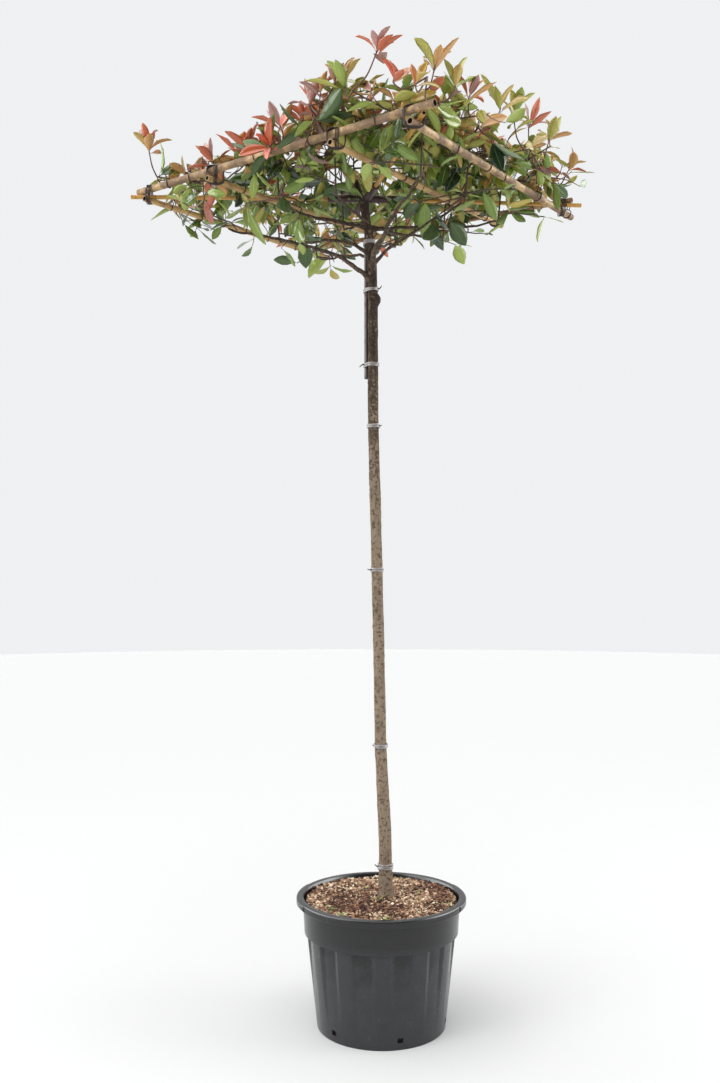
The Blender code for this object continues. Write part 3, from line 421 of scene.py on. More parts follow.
@dataclass(frozen=True)
class PlasticFinish(Finish):
    """Moulded plastic with scuffs, dust on its ledges, glossier patches with a painted dark reflection in its
    recesses, a collar and lip darkened as a painted dark reflection, and a fine grain.
    """

    dusty: Colour = (0.20, 0.19, 0.18)
    dust: float = 0.35
    # Height band of the painted dark reflection, with lower roughness, high in the flute recesses.
    painted_reflection: Span = (0.185, 0.250)
    wall_foot: float = 0.206
    wall_slope: float = 0.11
    # Height band over which the collar and lip darken: a painted dark reflection.
    shaded: Span = (0.285, 0.320)

    def shade(self, share: float) -> Colour:
        """The base colour made darker or lighter."""
        return tuple(min(part * share, 1.0) for part in self.colour)

    def detail(self, graph: Graph) -> dict[str, object]:
        """Wire the scuffs, dust, painted dark reflections and grain.

        Args:
            graph: The material's graph.

        Returns:
            The shader's inputs that it changes.
        """
        where = graph.where()
        scuffs = graph.effect("mottle", Where=where, Size=0.05, Share=0.42, Softness=0.2, Ground=self.colour,
                              Patch=self.shade(1.35))
        settled = graph.mask("dust", Where=where, Size=0.03, Amount=self.dust, Level=-0.25)
        specks = graph.mask("flecks", Where=where, Spacing=0.011, Radius=0.10, Stretch=(1.0, 1.0, 1.0))
        soiled = graph.plus(settled, graph.times(specks, 0.20))
        height = graph.split(where)["Z"]
        level = {"Vector": graph.squeezed(where, 0.0)}
        reach = graph.add("ShaderNodeVectorMath", level, operation="LENGTH").outputs["Value"]
        recess = graph.minus(graph.scaled(height, self.wall_slope, self.wall_foot), reach)
        # Patches high in the flute recesses get a painted dark reflection in their colour, and lower
        # roughness.
        painted_reflection = graph.effect("mottle", Where=where, Size=0.06, Share=0.56, Softness=0.14)
        ragged = graph.plus(height, graph.scaled(painted_reflection["Height"], 0.08, -0.04))
        band = graph.times(graph.span(ragged, *self.painted_reflection), graph.span(recess, 0.0015, 0.0045))
        wet = graph.times(band, painted_reflection["Mask"])
        with_painted_reflection = graph.mix(wet, scuffs["Color"], self.shade(0.30))
        # The collar and lip are darkened as a painted dark reflection.
        deep = graph.mix(graph.span(height, *self.shaded), with_painted_reflection, self.shade(0.35))
        dull = graph.plus(graph.scaled(scuffs["Mask"], 0.10, self.roughness), graph.times(soiled, 0.5))
        lift = graph.plus(scuffs["Height"], graph.times(graph.cloud(where, 900.0, 2.0), 0.25))
        return {"Base Color": graph.mix(soiled, deep, self.dusty),
                "Roughness": graph.minus(dull, graph.times(wet, 0.12)),
                "Normal": graph.bump(lift, 0.22, 0.0012)}


@dataclass(frozen=True)
class SteelFinish(Finish):
    """Painted steel tube with patches of rust as the second colour, dull and not metallic."""

    def detail(self, graph: Graph) -> dict[str, object]:
        """Wire the rust, which is rougher than the paint.

        Args:
            graph: The material's graph.

        Returns:
            The shader's inputs that it changes.
        """
        rust = self.patches(graph)
        return {"Base Color": rust["Color"], "Roughness": graph.scaled(rust["Mask"], 0.35, self.roughness),
                "Metallic": graph.scaled(rust["Mask"], -self.metallic, self.metallic),
                "Normal": graph.bump(rust["Height"], 0.4, 0.0008)}


def twig_finish(name: str, colour: Colour, second: Colour, roughness: float, specular: float = 0.5) -> Finish:
    """The skin of a twig, stalk or stem."""
    return Finish(name, colour, second, roughness, specular=specular, patch_size=0.012, patch_share=0.42,
                  patch_edge=0.15, strength=0.5, relief=0.0008)


# Meshes

def vector_rows(points: Iterable[Vector]) -> Rows:
    """Points as rows of an array."""
    return np.array([tuple(point) for point in points], dtype=float)


def noise_at(points: Rows, scale: Sequence[float], seed: float) -> Rows:
    """Smooth noise from -1 to 1 for each row of places, in waves to the metre along each axis."""
    placed = points * np.array(scale) + seed
    return np.array([noise.noise(Vector(row)) for row in placed.tolist()])


def smooth_step(value: Rows, low: float, high: float) -> Rows:
    """A soft step from 0 at low to 1 at high."""
    share = np.clip((value - low) / (high - low), 0.0, 1.0)
    return share * share * (3.0 - 2.0 * share)


def smooth_path(points: Sequence[Vector], steps: int) -> Rows:
    """A smooth curve through points.

    Args:
        points: The points it passes through.
        steps: Pieces between each two of them.

    Returns:
        Rows of places, the given ends included.
    """
    known = vector_rows(points)
    before = np.vstack([2 * known[0] - known[1], known[:-1]])
    after = np.vstack([known[1:], 2 * known[-1] - known[-2]])
    slopes = (after - before) / 2
    rows = []
    for index in range(len(known) - 1):
        for share in np.arange(steps) / steps:
            square, cube = share**2, share**3
            rows.append(
                known[index] * (2 * cube - 3 * square + 1)
                + slopes[index] * (cube - 2 * square + share)
                + known[index + 1] * (3 * square - 2 * cube)
                + slopes[index + 1] * (cube - square)
            )
    return np.array(rows + [known[-1]])


def path_frames(path: Rows) -> tuple[Rows, Rows]:
    """Two directions square to a path that don't twist.

    Args:
        path: Rows of places.

    Returns:
        Unit rows across and over.
    """
    along = np.gradient(path, axis=0)
    along /= np.linalg.norm(along, axis=1)[:, None]
    side = np.array(Vector(along[0]).orthogonal().normalized())
    across = np.empty_like(path)
    for index, way in enumerate(along):
        side = side - way * side.dot(way)
        side /= np.linalg.norm(side)
        across[index] = side
    return across, np.cross(along, across)


def distance_along(path: Rows) -> Rows:
    """How far along a path each of its rows lies."""
    return np.concatenate([[0.0], np.cumsum(np.linalg.norm(np.diff(path, axis=0), axis=1))])


def ring_faces(rings: int, sides: int, caps: bool = True) -> list[tuple[int, ...]]:
    """Faces of a tube of rings, laid out ring by ring.

    Args:
        rings: How many rings.
        sides: Points in each.
        caps: Whether its ends are closed.

    Returns:
        The faces, pointing out.
    """
    faces = []
    for low in range(0, (rings - 1) * sides, sides):
        high = low + sides
        for side in range(sides):
            after = (side + 1) % sides
            faces.append((low + side, low + after, high + after, high + side))
    if caps:
        last = (rings - 1) * sides
        faces.append(tuple(reversed(range(sides))))
        faces.append(tuple(range(last, last + sides)))
    return faces


def tube_rings(path: Rows, radii: Rows) -> Rows:
    """Points of a tube's rings, square to its path.

    Args:
        path: Rows of places.
        radii: A radius for each row and side.

    Returns:
        A place for each row and side.
    """
    across, over = path_frames(path)
    turns = np.arange(radii.shape[1]) * FULL_TURN / radii.shape[1]
    cosine, sine = np.cos(turns)[None, :, None], np.sin(turns)[None, :, None]
    return path[:, None, :] + radii[:, :, None] * (cosine * across[:, None, :] + sine * over[:, None, :])


class Shell:
    """Points and faces gathered for one mesh piece, with a material slot for each face."""

    def __init__(self) -> None:
        """Start empty."""
        self.points: list[Rows] = []
        self.grain: list[Rows] = []
        self.spread: list[Rows] = []
        self.faces: list[Sequence[int]] = []
        self.slots: list[int] = []
        self.count = 0

    def add(self, points: Rows, faces: Iterable[Sequence[int]], slot: int | Sequence[int] = 0,
            grain: Rows | None = None, spread: Rows | None = None) -> None:
        """Add a patch of surface.

        Args:
            points: Rows of places.
            faces: Faces as indices into these points.
            slot: The material slot of them all, or of each.
            grain: A place along and across for each point, or none.
            spread: A place on a leaf's blade for each point, or none.
        """
        rows = np.asarray(points, dtype=float).reshape(-1, 3)
        before = len(self.faces)
        self.faces.extend([index + self.count for index in face] for face in faces)
        self.slots.extend([slot] * (len(self.faces) - before) if isinstance(slot, int) else slot)
        self.points.append(rows)
        self.grain.append(rows if grain is None else np.asarray(grain).reshape(-1, 3))
        if spread is not None:
            self.spread.append(spread)
        self.count += len(rows)

    def tube(self, path: Rows, radii: Rows | float, sides: int, slot: int = 0,
             caps: bool = True) -> None:
        """Add a tube with rings square to a path.

        Args:
            path: Rows of places.
            radii: A radius for all, for each row, or for each row and side.
            sides: Points in a ring.
            slot: The material slot.
            caps: Whether its ends are closed.
        """
        radii = np.asarray(radii, dtype=float)
        if radii.ndim < 2:
            radii = np.repeat(np.broadcast_to(radii, len(path))[:, None], sides, axis=1)
        turns = np.arange(sides) * FULL_TURN / sides
        along = np.repeat(distance_along(path)[:, None], sides, axis=1)
        grain = np.stack([along, radii * np.cos(turns)[None, :], radii * np.sin(turns)[None, :]], axis=-1)
        self.add(tube_rings(path, radii), ring_faces(len(path), sides, caps), slot, grain)

    def turned(self, start: Vector, way: Vector, marks: Sequence[Span], sides: int, slot: int = 0,
               caps: bool = True) -> None:
        """Add a shape turned round a straight axis.

        Args:
            start: The axis's start.
            way: The axis's direction.
            marks: Distance along the axis and radius, ring by ring.
            sides: Points in a ring.
            slot: The material slot.
            caps: Whether its ends are closed.
        """
        across = way.orthogonal().normalized()
        over = way.cross(across)
        rows, grain = [], []
        for along, radius in marks:
            for turn in (side * FULL_TURN / sides for side in range(sides)):
                rows.append(start + way * along + (across * math.cos(turn) + over * math.sin(turn)) * radius)
                grain.append((along, radius * math.cos(turn), radius * math.sin(turn)))
        self.add(vector_rows(rows), ring_faces(len(marks), sides, caps), slot, np.array(grain))

    def piece(self, name: str, materials: Sequence[Material], slot: str, nodes: Sequence[str] = (),
              sharp: float | None = None) -> None:
        """Make the mesh, put it under the body's empty and hide the solids that it stands for.

        Args:
            name: The piece's name.
            materials: A material for each slot.
            slot: The record's material slot.
            nodes: The solids that the piece stands for.
            sharp: Edges turned by more than these degrees stay sharp, none if it is None.
        """
        mesh = bpy.data.meshes.new(name)
        mesh.from_pydata(np.vstack(self.points).tolist(), [], self.faces)
        mesh.polygons.foreach_set("material_index", self.slots)
        for material in materials:
            mesh.materials.append(material)
        grain = mesh.attributes.new("grain", "FLOAT_VECTOR", "POINT")
        grain.data.foreach_set("vector", np.vstack(self.grain).ravel())
        if self.spread:
            corners = np.empty(len(mesh.loops), dtype=np.int32)
            mesh.loops.foreach_get("vertex_index", corners)
            layer = mesh.uv_layers.new(name="blade")
            layer.data.foreach_set("uv", np.vstack(self.spread)[corners].ravel())
        mesh.shade_smooth()
        if sharp is not None:
            mesh.set_sharp_from_angle(angle=math.radians(sharp))
        mesh.validate()
        built = bpy.data.objects.new(name, mesh)
        bpy.context.scene.collection.objects.link(built)
        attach(built, BODY)
        if nodes:
            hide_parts(*nodes)
        LOG.info("%s: %d faces, slot %s", name, len(mesh.polygons), slot)


# The trunk and its boughs

@dataclass(frozen=True)
class Knot:
    """A healed bud, pruned side shoot or scar on the bark."""

    height: float
    bearing: float
    radius: float
    rise: float
    pit: float = 0.0


@dataclass
class Trunk:
    """The bare stem, with its height, centre and diameter at each station up to its tip."""

    stations: tuple[tuple[float, float, float, float], ...] = (
        (0.4003, 0.0145, 0.0100, 0.0560),
        (0.418, 0.0143, 0.0100, 0.0480),
        (0.460, 0.0140, 0.0100, 0.0440),
        (0.580, 0.0130, 0.0100, 0.0420),
        (0.900, -0.0015, 0.0100, 0.0385),
        (1.370, -0.0110, 0.0090, 0.0360),
        (1.970, -0.0255, 0.0070, 0.0355),
        (2.330, -0.0255, 0.0060, 0.0310),
        (2.460, -0.0295, 0.0050, 0.0310),
        (2.550, -0.0385, 0.0010, 0.0285),
        (2.620, -0.0525, -0.0110, 0.0250),
        (2.680, -0.0700, -0.0320, 0.0200),
        (2.720, -0.0850, -0.0460, 0.0150),
    )
    knots: tuple[Knot, ...] = (
        Knot(0.439, -70.0, 0.0120, 0.0008, 0.0022),
        Knot(1.593, -95.0, 0.0110, 0.0012, 0.0026),
        Knot(2.339, -12.0, 0.0130, 0.0100),
        Knot(2.205, 160.0, 0.0090, 0.0020, 0.0010),
        Knot(2.060, -60.0, 0.0080, 0.0016, 0.0012),
    )
    sides: int = 60
    ring_gap: float = 0.0023
    blend: float = 0.045
    spare_knots: int = 26
    knot_radius: Span = (0.004, 0.009)
    knot_rise: Span = (0.0008, 0.0030)
    scar_gap: Span = (0.022, 0.045)
    buttress: float = 0.10
    buttress_height: float = 0.035

    def at(self, height: float) -> tuple[Vector, float]:
        """The trunk's centre and radius at a height.

        Args:
            height: A height in metres.

        Returns:
            The centre and the radius.
        """
        heights, *others = zip(*self.stations)
        x, y, diameter = (float(np.interp(height, heights, row)) for row in others)
        return Vector((x, y, height)), diameter / 2

    def tip(self) -> tuple[Vector, Vector]:
        """The trunk's tip, and the way it points there."""
        ends = [Vector((x, y, z)) for z, x, y, _ in self.stations[-2:]]
        return ends[1], (ends[1] - ends[0]).normalized()

    def axis(self) -> tuple[Rows, Rows]:
        """The trunk's axis with its bends eased.

        Returns:
            Rows of places up it, and the radius at each.
        """
        first, last = self.stations[0][0], self.stations[-1][0]
        heights = np.linspace(first, last, round((last - first) / self.ring_gap))
        known, *columns = np.array(self.stations).T
        window = max(3, round(self.blend / self.ring_gap)) | 1
        eased = []
        for row in columns:
            values = np.interp(heights, known, row)
            low = 2 * values[0] - values[window // 2:0:-1]
            high = 2 * values[-1] - values[-2:-window // 2 - 1:-1]
            padded = np.concatenate([low, values, high])
            eased.append(np.convolve(padded, np.ones(window) / window, mode="valid"))
        flare = np.interp(heights, known, columns[2])
        near_foot = 1.0 - smooth_step(heights, first + 0.01, first + 0.06)
        diameter = eased[2] * (1 - near_foot) + flare * near_foot
        return np.column_stack([eased[0], eased[1], heights]), diameter / 2

    def all_knots(self) -> list[Knot]:
        """The named knots and small seeded ones between them.

        Returns:
            All of them.
        """
        chance = Chance("knots")
        low, high = self.stations[2][0], self.stations[-3][0]
        spare = []
        for number in range(self.spare_knots):
            height = low + (high - low) * (number + chance.uniform(0.1, 0.9)) / self.spare_knots
            radius, rise = chance.uniform(*self.knot_radius), chance.uniform(*self.knot_rise)
            bearing, pit = math.degrees(number * GOLDEN_ANGLE), rise * chance.choice((0.0, 1.2))
            spare.append(Knot(height, bearing, radius, rise, pit))
        return [*self.knots, *spare]

    def relief(self, rings: Rows, centres: Rows) -> Rows:
        """How far the bark stands out at each point: swellings, cracks, scars and knots.

        Args:
            rings: A place for each row and side.
            centres: The axis beside each row.

        Returns:
            A distance for each row and side.
        """
        flat = rings.reshape(-1, 3)
        broad = noise_at(flat, (19.0, 19.0, 8.0), 3.1)
        fissure = noise_at(flat, (120.0, 120.0, 26.0), 11.7)
        fine = noise_at(flat, (330.0, 330.0, 210.0), 5.3)
        cracks = np.exp(-((fissure / 0.10) ** 2)) * np.clip(0.55 + broad, 0.0, 1.0)
        out = 0.0016 * broad + 0.0008 * fissure - 0.0010 * cracks + 0.00030 * fine
        height = flat[:, 2]
        away = (rings - centres[:, None]).reshape(-1, 3)
        bearing = np.arctan2(away[:, 1], away[:, 0])
        radius = np.hypot(away[:, 1], away[:, 0])
        for knot in self.all_knots():
            swing = (bearing - math.radians(knot.bearing) + math.pi) % FULL_TURN - math.pi
            away = np.hypot(swing * radius, (height - knot.height) * 0.75) / knot.radius
            out += knot.rise * np.exp(-(away**3)) - knot.pit * np.exp(-((away / 0.42) ** 2))
        out += self.scars(height, bearing)
        foot = np.exp(-(height - self.stations[0][0]) / self.buttress_height)
        out += radius * self.buttress * foot * np.cos(3 * bearing + 0.8)
        return out.reshape(rings.shape[:2])

    def scars(self, height: Rows, bearing: Rows) -> Rows:
        """Thin level ridges where leaves once stood, each part of the way round.

        Args:
            height: The height of each point.
            bearing: Its angle round the trunk.

        Returns:
            A distance for each point.
        """
        chance = Chance("scars")
        out = np.zeros_like(height)
        level, middle = self.stations[1][0], 0.0
        while level < self.stations[-2][0]:
            swing = np.abs((bearing - middle + math.pi) % FULL_TURN - math.pi)
            reach = 1.0 - smooth_step(swing, 0.7, 1.3)
            out += 0.0004 * reach * np.exp(-(((height - level + 0.004 * swing) / 0.0013) ** 2))
            level += chance.uniform(*self.scar_gap)
            middle += GOLDEN_ANGLE
        return out

    def build(self) -> None:
        """Make the bark-covered trunk."""
        path, radii = self.axis()
        plain = np.repeat(radii[:, None], self.sides, axis=1)
        shell = Shell()
        shell.tube(path, plain + self.relief(tube_rings(path, plain), path), self.sides)
        bark = BarkFinish("bark_of_the_trunk", (0.300, 0.234, 0.168), BARK_DARK, 0.88, specular=0.25)
        shell.piece("trunk_bark", [bark.make()], "trunk_bark", ["trunk"])


@dataclass(frozen=True)
class FramePlan:
    """The level square frame: s runs from its left corner to its front corner, t away from there."""

    turn: float = math.radians(-37.0)
    centre: Place = (-0.045, 0.030)
    height: float = 2.680

    def point(self, place: Place, height: float) -> Vector:
        """A place in the frame's plan, as a point on the plant.

        Args:
            place: The place.
            height: Its height.

        Returns:
            The point.
        """
        cosine, sine = math.cos(self.turn), math.sin(self.turn)
        x = self.centre[0] + place[0] * cosine - place[1] * sine
        y = self.centre[1] + place[0] * sine + place[1] * cosine
        return Vector((x, y, height))

    def place(self, point: Vector) -> Place:
        """A point on the plant, as a place in the frame's plan.

        Args:
            point: The point.

        Returns:
            The place.
        """
        x, y = point[0] - self.centre[0], point[1] - self.centre[1]
        cosine, sine = math.cos(self.turn), math.sin(self.turn)
        return x * cosine + y * sine, y * cosine - x * sine


def level_way(turn: float) -> Vector:
    """A level unit vector, turned by an angle from +X towards +Y."""
    return Vector((math.cos(turn), math.sin(turn), 0.0))


def bearing_vector(degrees: float) -> Vector:
    """A level unit vector at a bearing, turned from +X towards +Y."""
    return level_way(math.radians(degrees))


def round_axis(axis: Vector, turn: float) -> Vector:
    """A unit vector square to an axis, turned round it by an angle."""
    across = axis.orthogonal().normalized()
    return across * math.cos(turn) + axis.cross(across) * math.sin(turn)


def sloping(level: Vector, slope: float) -> Vector:
    """A level direction turned up by a slope."""
    return level * math.cos(slope) + UP * math.sin(slope)


@dataclass
class Boughs:
    """The limbs that leave the trunk, each with its height, bearing and base diameter."""

    trunk: Trunk
    plan: FramePlan
    masses: dict[str, Place]
    limbs: dict[str, tuple[float, float, float]] = field(default_factory=lambda: {
        "corner_left": (2.395, 186.0, 0.0190),
        "right_mid": (2.450, -8.0, 0.0130),
        "corner_front": (2.440, -80.0, 0.0220),
        "corner_back": (2.428, 62.0, 0.0150),
        "back_left": (2.478, 38.0, 0.0140),
        "left_mid": (2.475, 200.0, 0.0150),
        "back_right": (2.572, 30.0, 0.0130),
        "corner_right": (2.560, -15.0, 0.0140),
        "front_mid": (2.585, 262.0, 0.0130),
        "front_left": (2.566, 212.0, 0.0140),
        "centre_left": (2.604, 176.0, 0.0110),
    })
    tip_height: float = 2.598
    tip_setback: float = 0.030
    tip_radius: float = 0.0055
    leave_slope: float = math.radians(50.0)
    tip_slope: float = math.radians(22.0)
    handle: float = 0.36
    tip_handle: float = 0.80
    first_rise: float = 0.75
    early_taper: float = 0.5
    thin_tip: float = 0.0032
    crook: float = 0.010
    sides: int = 20
    ring_gap: float = 0.003
    collar: float = 0.35
    collar_length: float = 0.016
    knuckle_gap: Span = (0.028, 0.055)

    def path(self, mass: str, steps: int) -> tuple[list[Vector], list[float]]:
        """Centre points and radii of one bough, from the trunk's axis to its tip.

        Args:
            mass: The mass of foliage that it carries.
            steps: Pieces of its curve.

        Returns:
            The points and their radii.
        """
        height, bearing, diameter = self.limbs[mass]
        base = self.trunk.at(height)[0]
        above = self.plan.point(self.masses[mass], self.tip_height)
        outward = Vector((above.x - base.x, above.y - base.y, 0.0)).normalized()
        tip = above - outward * self.tip_setback
        handle = self.handle * (tip - base).length
        leave = sloping(bearing_vector(bearing), self.leave_slope)
        most = self.first_rise * (tip.z - base.z) / leave.z
        first = base + leave * min(handle, most)
        second = tip - sloping(outward, self.tip_slope) * handle * self.tip_handle
        points, radii = [], []
        for step in range(steps + 1):
            share = step / steps
            rest = 1.0 - share
            points.append(
                base * rest**3 + first * 3 * rest**2 * share + second * 3 * rest * share**2 + tip * share**3
            )
            radii.append(diameter / 2 + (self.tip_radius - diameter / 2) * share)
        return points, radii

    def surface(self, mass: str) -> tuple[Rows, Rows]:
        """The eased path of a bough and its uneven radii: collar, knuckles and bark.

        Args:
            mass: The mass of foliage that it carries.

        Returns:
            Rows of places, and a radius for each row and side.
        """
        chance = Chance("limb " + mass)
        rough = self.path(mass, 12)[0]
        length = sum((after - before).length for before, after in zip(rough, rough[1:]))
        points, radii = self.path(mass, round(length / self.ring_gap))
        path = vector_rows(points)
        along = distance_along(path)
        share = np.linspace(0.0, 1.0, len(path)) ** self.early_taper
        plain = radii[0] + (self.thin_tip - radii[0]) * share
        start = self.trunk.at(self.limbs[mass][0])[1]
        plain *= 1.0 + self.collar * np.exp(-(((along - start) / self.collar_length) ** 2))
        knuckle = start + chance.uniform(*self.knuckle_gap)
        while knuckle < along[-1] - 0.01:
            plain += plain.min() * 0.22 * np.exp(-(((along - knuckle) / 0.0045) ** 2))
            knuckle += chance.uniform(*self.knuckle_gap)
        fade = smooth_step(along, start, start + 0.06) * smooth_step(along[-1] - along, 0.0, 0.06)
        line = np.column_stack([along, along * 0, along * 0])
        for axis in range(3):
            slow = noise_at(line, (11.0, 1.0, 1.0), chance.uniform(0, 50))
            quick = noise_at(line, (34.0, 1.0, 1.0), chance.uniform(0, 50))
            path[:, axis] += self.crook * fade * (slow + 0.35 * quick)
        wide = np.repeat(plain[:, None], self.sides, axis=1)
        rings = tube_rings(path, wide).reshape(-1, 3)
        bark = 0.0006 * noise_at(rings, (60.0,) * 3, 2.0) + 0.0003 * noise_at(rings, (260.0,) * 3, 8.0)
        return path, wide + bark.reshape(wide.shape)

    def build(self) -> None:
        """Make every bough."""
        bark = BarkFinish(
            "bark_of_the_boughs", (0.165, 0.120, 0.082), (0.040, 0.026, 0.019), 0.82, specular=0.3,
            # Darker towards the tips in the crown: partly stains, partly painted shade.
            upper=(0.095, 0.060, 0.040), upper_second=(0.034, 0.020, 0.015), stain_and_shade_span=(2.45, 2.60),
            share=(0.52, 0.50), spot=(0.26, 0.19, 0.13),
        ).make()
        for mass in self.limbs:
            shell = Shell()
            shell.tube(*self.surface(mass), self.sides)
            shell.piece(f"limb_{mass}", [bark], "bough_bark", [f"bough_{mass}"])


# The pot and what fills it

@dataclass
class Pot:
    """The moulded pot: flutes, shoulder, collar, rolled lip with two grips, and drain holes."""

    height: float = 0.410
    wall: float = 0.004
    floor: float = 0.005
    base_radius: float = 0.206
    wall_top_radius: float = 0.239
    shoulder_height: float = 0.300
    shoulder_drop: float = 0.004
    collar_foot_radius: float = 0.247
    collar_top_radius: float = 0.252
    lip_radius: float = 0.270
    lip_height: float = 0.024
    lip_round: float = 0.006
    grip_swell: float = 0.003
    grip_half_angle: float = 26.0
    grip_step: float = 0.7
    grip_raise: float = 0.004
    foot_band_height: float = 0.048
    flute_count: int = 12
    flute_depth: float = 0.008
    flute_floor: float = 5.4
    flute_edge: float = 9.8
    drain_count: int = 6
    drain_phase: float = -75.0
    drain_half_angle: float = 2.5
    drain_span: Span = (0.0225, 0.0375)
    columns: int = 720
    wall_rings: int = 26
    unevenness: float = 0.0004

    def angles(self) -> Rows:
        """Angles round the pot, in degrees, from -90 at the front."""
        return -90.0 + np.arange(self.columns) * 360.0 / self.columns

    def away_from(self, phase: float, count: int, shift: float = 0.0) -> Rows:
        """How far each angle, moved by a shift, lies from the nearest of some evenly spaced ones."""
        period = 360.0 / count
        return np.abs((self.angles() + shift - phase + period / 2) % period - period / 2)

    def ring(self, radius: float, height: float, lip: float = 0.0, fluted: bool = False) -> Rows:
        """One ring of the pot.

        Args:
            radius: Its radius between flutes.
            height: Its height.
            lip: How much of the grips' swell it takes, from -1 for their raised underside to 1.
            fluted: Whether the flutes press into it.

        Returns:
            A row for each angle.
        """
        reach = np.full(self.columns, radius)
        if fluted:
            low, high = self.foot_band_height, self.shoulder_height
            rise = min(max((height - low) / (high - low), 0.0), 1.0)
            aside = self.away_from(self.drain_phase, self.flute_count)
            reach -= self.flute_depth * rise * (1.0 - smooth_step(aside, self.flute_floor, self.flute_edge))
        aside = self.away_from(0.0, 2)
        grip = 1.0 - smooth_step(aside, self.grip_half_angle - self.grip_step, self.grip_half_angle)
        reach += self.grip_swell * abs(lip) * grip
        level = height + self.grip_raise * max(-lip, 0.0) * grip
        turn = np.radians(self.angles())
        return np.column_stack([reach * np.cos(turn), reach * np.sin(turn), level])

    def wall_radius(self, height: float) -> float:
        """Outside radius of the plain wall between base and shoulder."""
        return self.base_radius + (self.wall_top_radius - self.base_radius) * height / self.shoulder_height

    def outside(self) -> list[Rows]:
        """The pot's outer skin.

        Returns:
            Rings from the edge of the underside up to the top of the lip.
        """
        base, lip, turns = self.base_radius, self.lip_radius, np.linspace(0.0, math.pi / 2, 6)
        foot, top, shoulder = self.collar_foot_radius, self.collar_top_radius, self.shoulder_height
        under_lip, under_shoulder = self.height - self.lip_height, shoulder - self.shoulder_drop
        rows = [(base - 0.0030, 0.0), (base - 0.0008, 0.0), (base + 0.0002, 0.0012)]
        rows += [(self.wall_radius(level), level)
                 for level in (0.006, 0.014, *self.drain_span, 0.043, self.foot_band_height)]
        rows += [(self.wall_radius(level), level, 0.0, True)
                 for level in np.linspace(self.foot_band_height, under_shoulder, self.wall_rings)[1:]]
        rows += [(foot - 0.0012, under_shoulder + 0.0006), (foot - 0.0002, under_shoulder + 0.0016)]
        rows += [(foot + (top - foot) * share, shoulder + (under_lip - shoulder) * share)
                 for share in (0.03, 0.2, 0.4, 0.6, 0.8, 0.97, 1.0)]
        rows += [(top + 0.0012, under_lip + 0.0012, -0.2), (lip - 0.0060, under_lip + 0.0002, -1.0),
                 (lip - 0.0016, under_lip + 0.0004, -1.0), (lip - 0.0002, under_lip + 0.0024, -0.9),
                 (lip, under_lip + 0.0060, 1.0)]
        rows += [(lip - self.lip_round + self.lip_round * math.cos(turn),
                  self.height - self.lip_round + self.lip_round * math.sin(turn), 1.0) for turn in turns]
        rows.append((top + 0.0030, self.height, 0.5))
        return [self.ring(*row) for row in rows]

    def inside(self) -> list[Rows]:
        """The pot's inner skin.

        Returns:
            Rings from the top of the lip down the inner wall to the floor's edge.
        """
        top, wall = self.collar_top_radius, self.wall
        rows = [(top - 0.0010, self.height - 0.0010), (top - wall, self.height - self.lip_round),
                (top - wall - 0.0012, self.height - 0.030),
                (self.collar_foot_radius - wall, self.shoulder_height + wall)]
        rows += [(self.wall_radius(level) - wall, level, 0.0, True) for level in
                 (self.shoulder_height, 0.22, 0.14, self.foot_band_height, *reversed(self.drain_span), 0.012)]
        rows.append((self.base_radius - wall, self.floor))
        return [self.ring(*row) for row in rows]

    def build(self) -> None:
        """Make the pot as one closed shell."""
        count = self.columns
        rings = self.outside() + self.inside()
        points = np.vstack(rings)
        wave = noise_at(points, (7.0, 7.0, 5.0), 4.0) * self.unevenness
        turn = np.arctan2(points[:, 1], points[:, 0])
        points[:, :2] += wave[:, None] * np.column_stack([np.cos(turn), np.sin(turn)])
        drained = self.away_from(self.drain_phase, self.drain_count, 180.0 / count) < self.drain_half_angle
        gates = [index for index, (low, high) in enumerate(zip(rings, rings[1:]))
                 if sorted((low[0, 2], high[0, 2])) == list(self.drain_span)]
        faces = [
            (low + side, low + (side + 1) % count, low + count + (side + 1) % count, low + count + side)
            for low in range(0, (len(rings) - 1) * count, count) for side in range(count)
            if low // count not in gates or not drained[side]
        ]
        shell = Shell()
        shell.add(points, faces + self.drain_walls(*gates, drained))
        fan = list(range(count))
        shell.add(self.ring(self.base_radius - 0.0030, 0.0), [fan[::-1]])
        shell.add(self.ring(self.base_radius - self.wall, self.floor), [fan])
        slope = (self.wall_top_radius - self.base_radius) / self.shoulder_height
        plastic = PlasticFinish("moulded_charcoal_plastic", (0.022, 0.023, 0.026), roughness=0.20, dust=0.08,
                                wall_foot=self.base_radius, wall_slope=slope)
        shell.piece("pot_shell", [plastic.make()], "pot_plastic", ["pot"], sharp=35.0)

    def drain_walls(self, outer: int, inner: int, drained: Rows) -> list[tuple[int, int, int, int]]:
        """The four walls of each drain hole, between the outer and the inner skin.

        Args:
            outer: The lower ring of the outer openings.
            inner: The upper ring of the inner openings.
            drained: Whether each column is open.

        Returns:
            The faces.
        """
        count = self.columns
        low, high = outer * count, (outer + 1) * count
        deep_high, deep_low = inner * count, (inner + 1) * count
        faces = []
        for side in np.flatnonzero(drained):
            after, before = (side + 1) % count, (side - 1) % count
            faces.append((low + after, low + side, deep_low + side, deep_low + after))
            faces.append((high + side, high + after, deep_high + after, deep_high + side))
            if not drained[before]:
                faces.append((low + side, high + side, deep_high + side, deep_low + side))
            if not drained[after]:
                faces.append((high + after, low + after, deep_low + after, deep_high + after))
        return faces


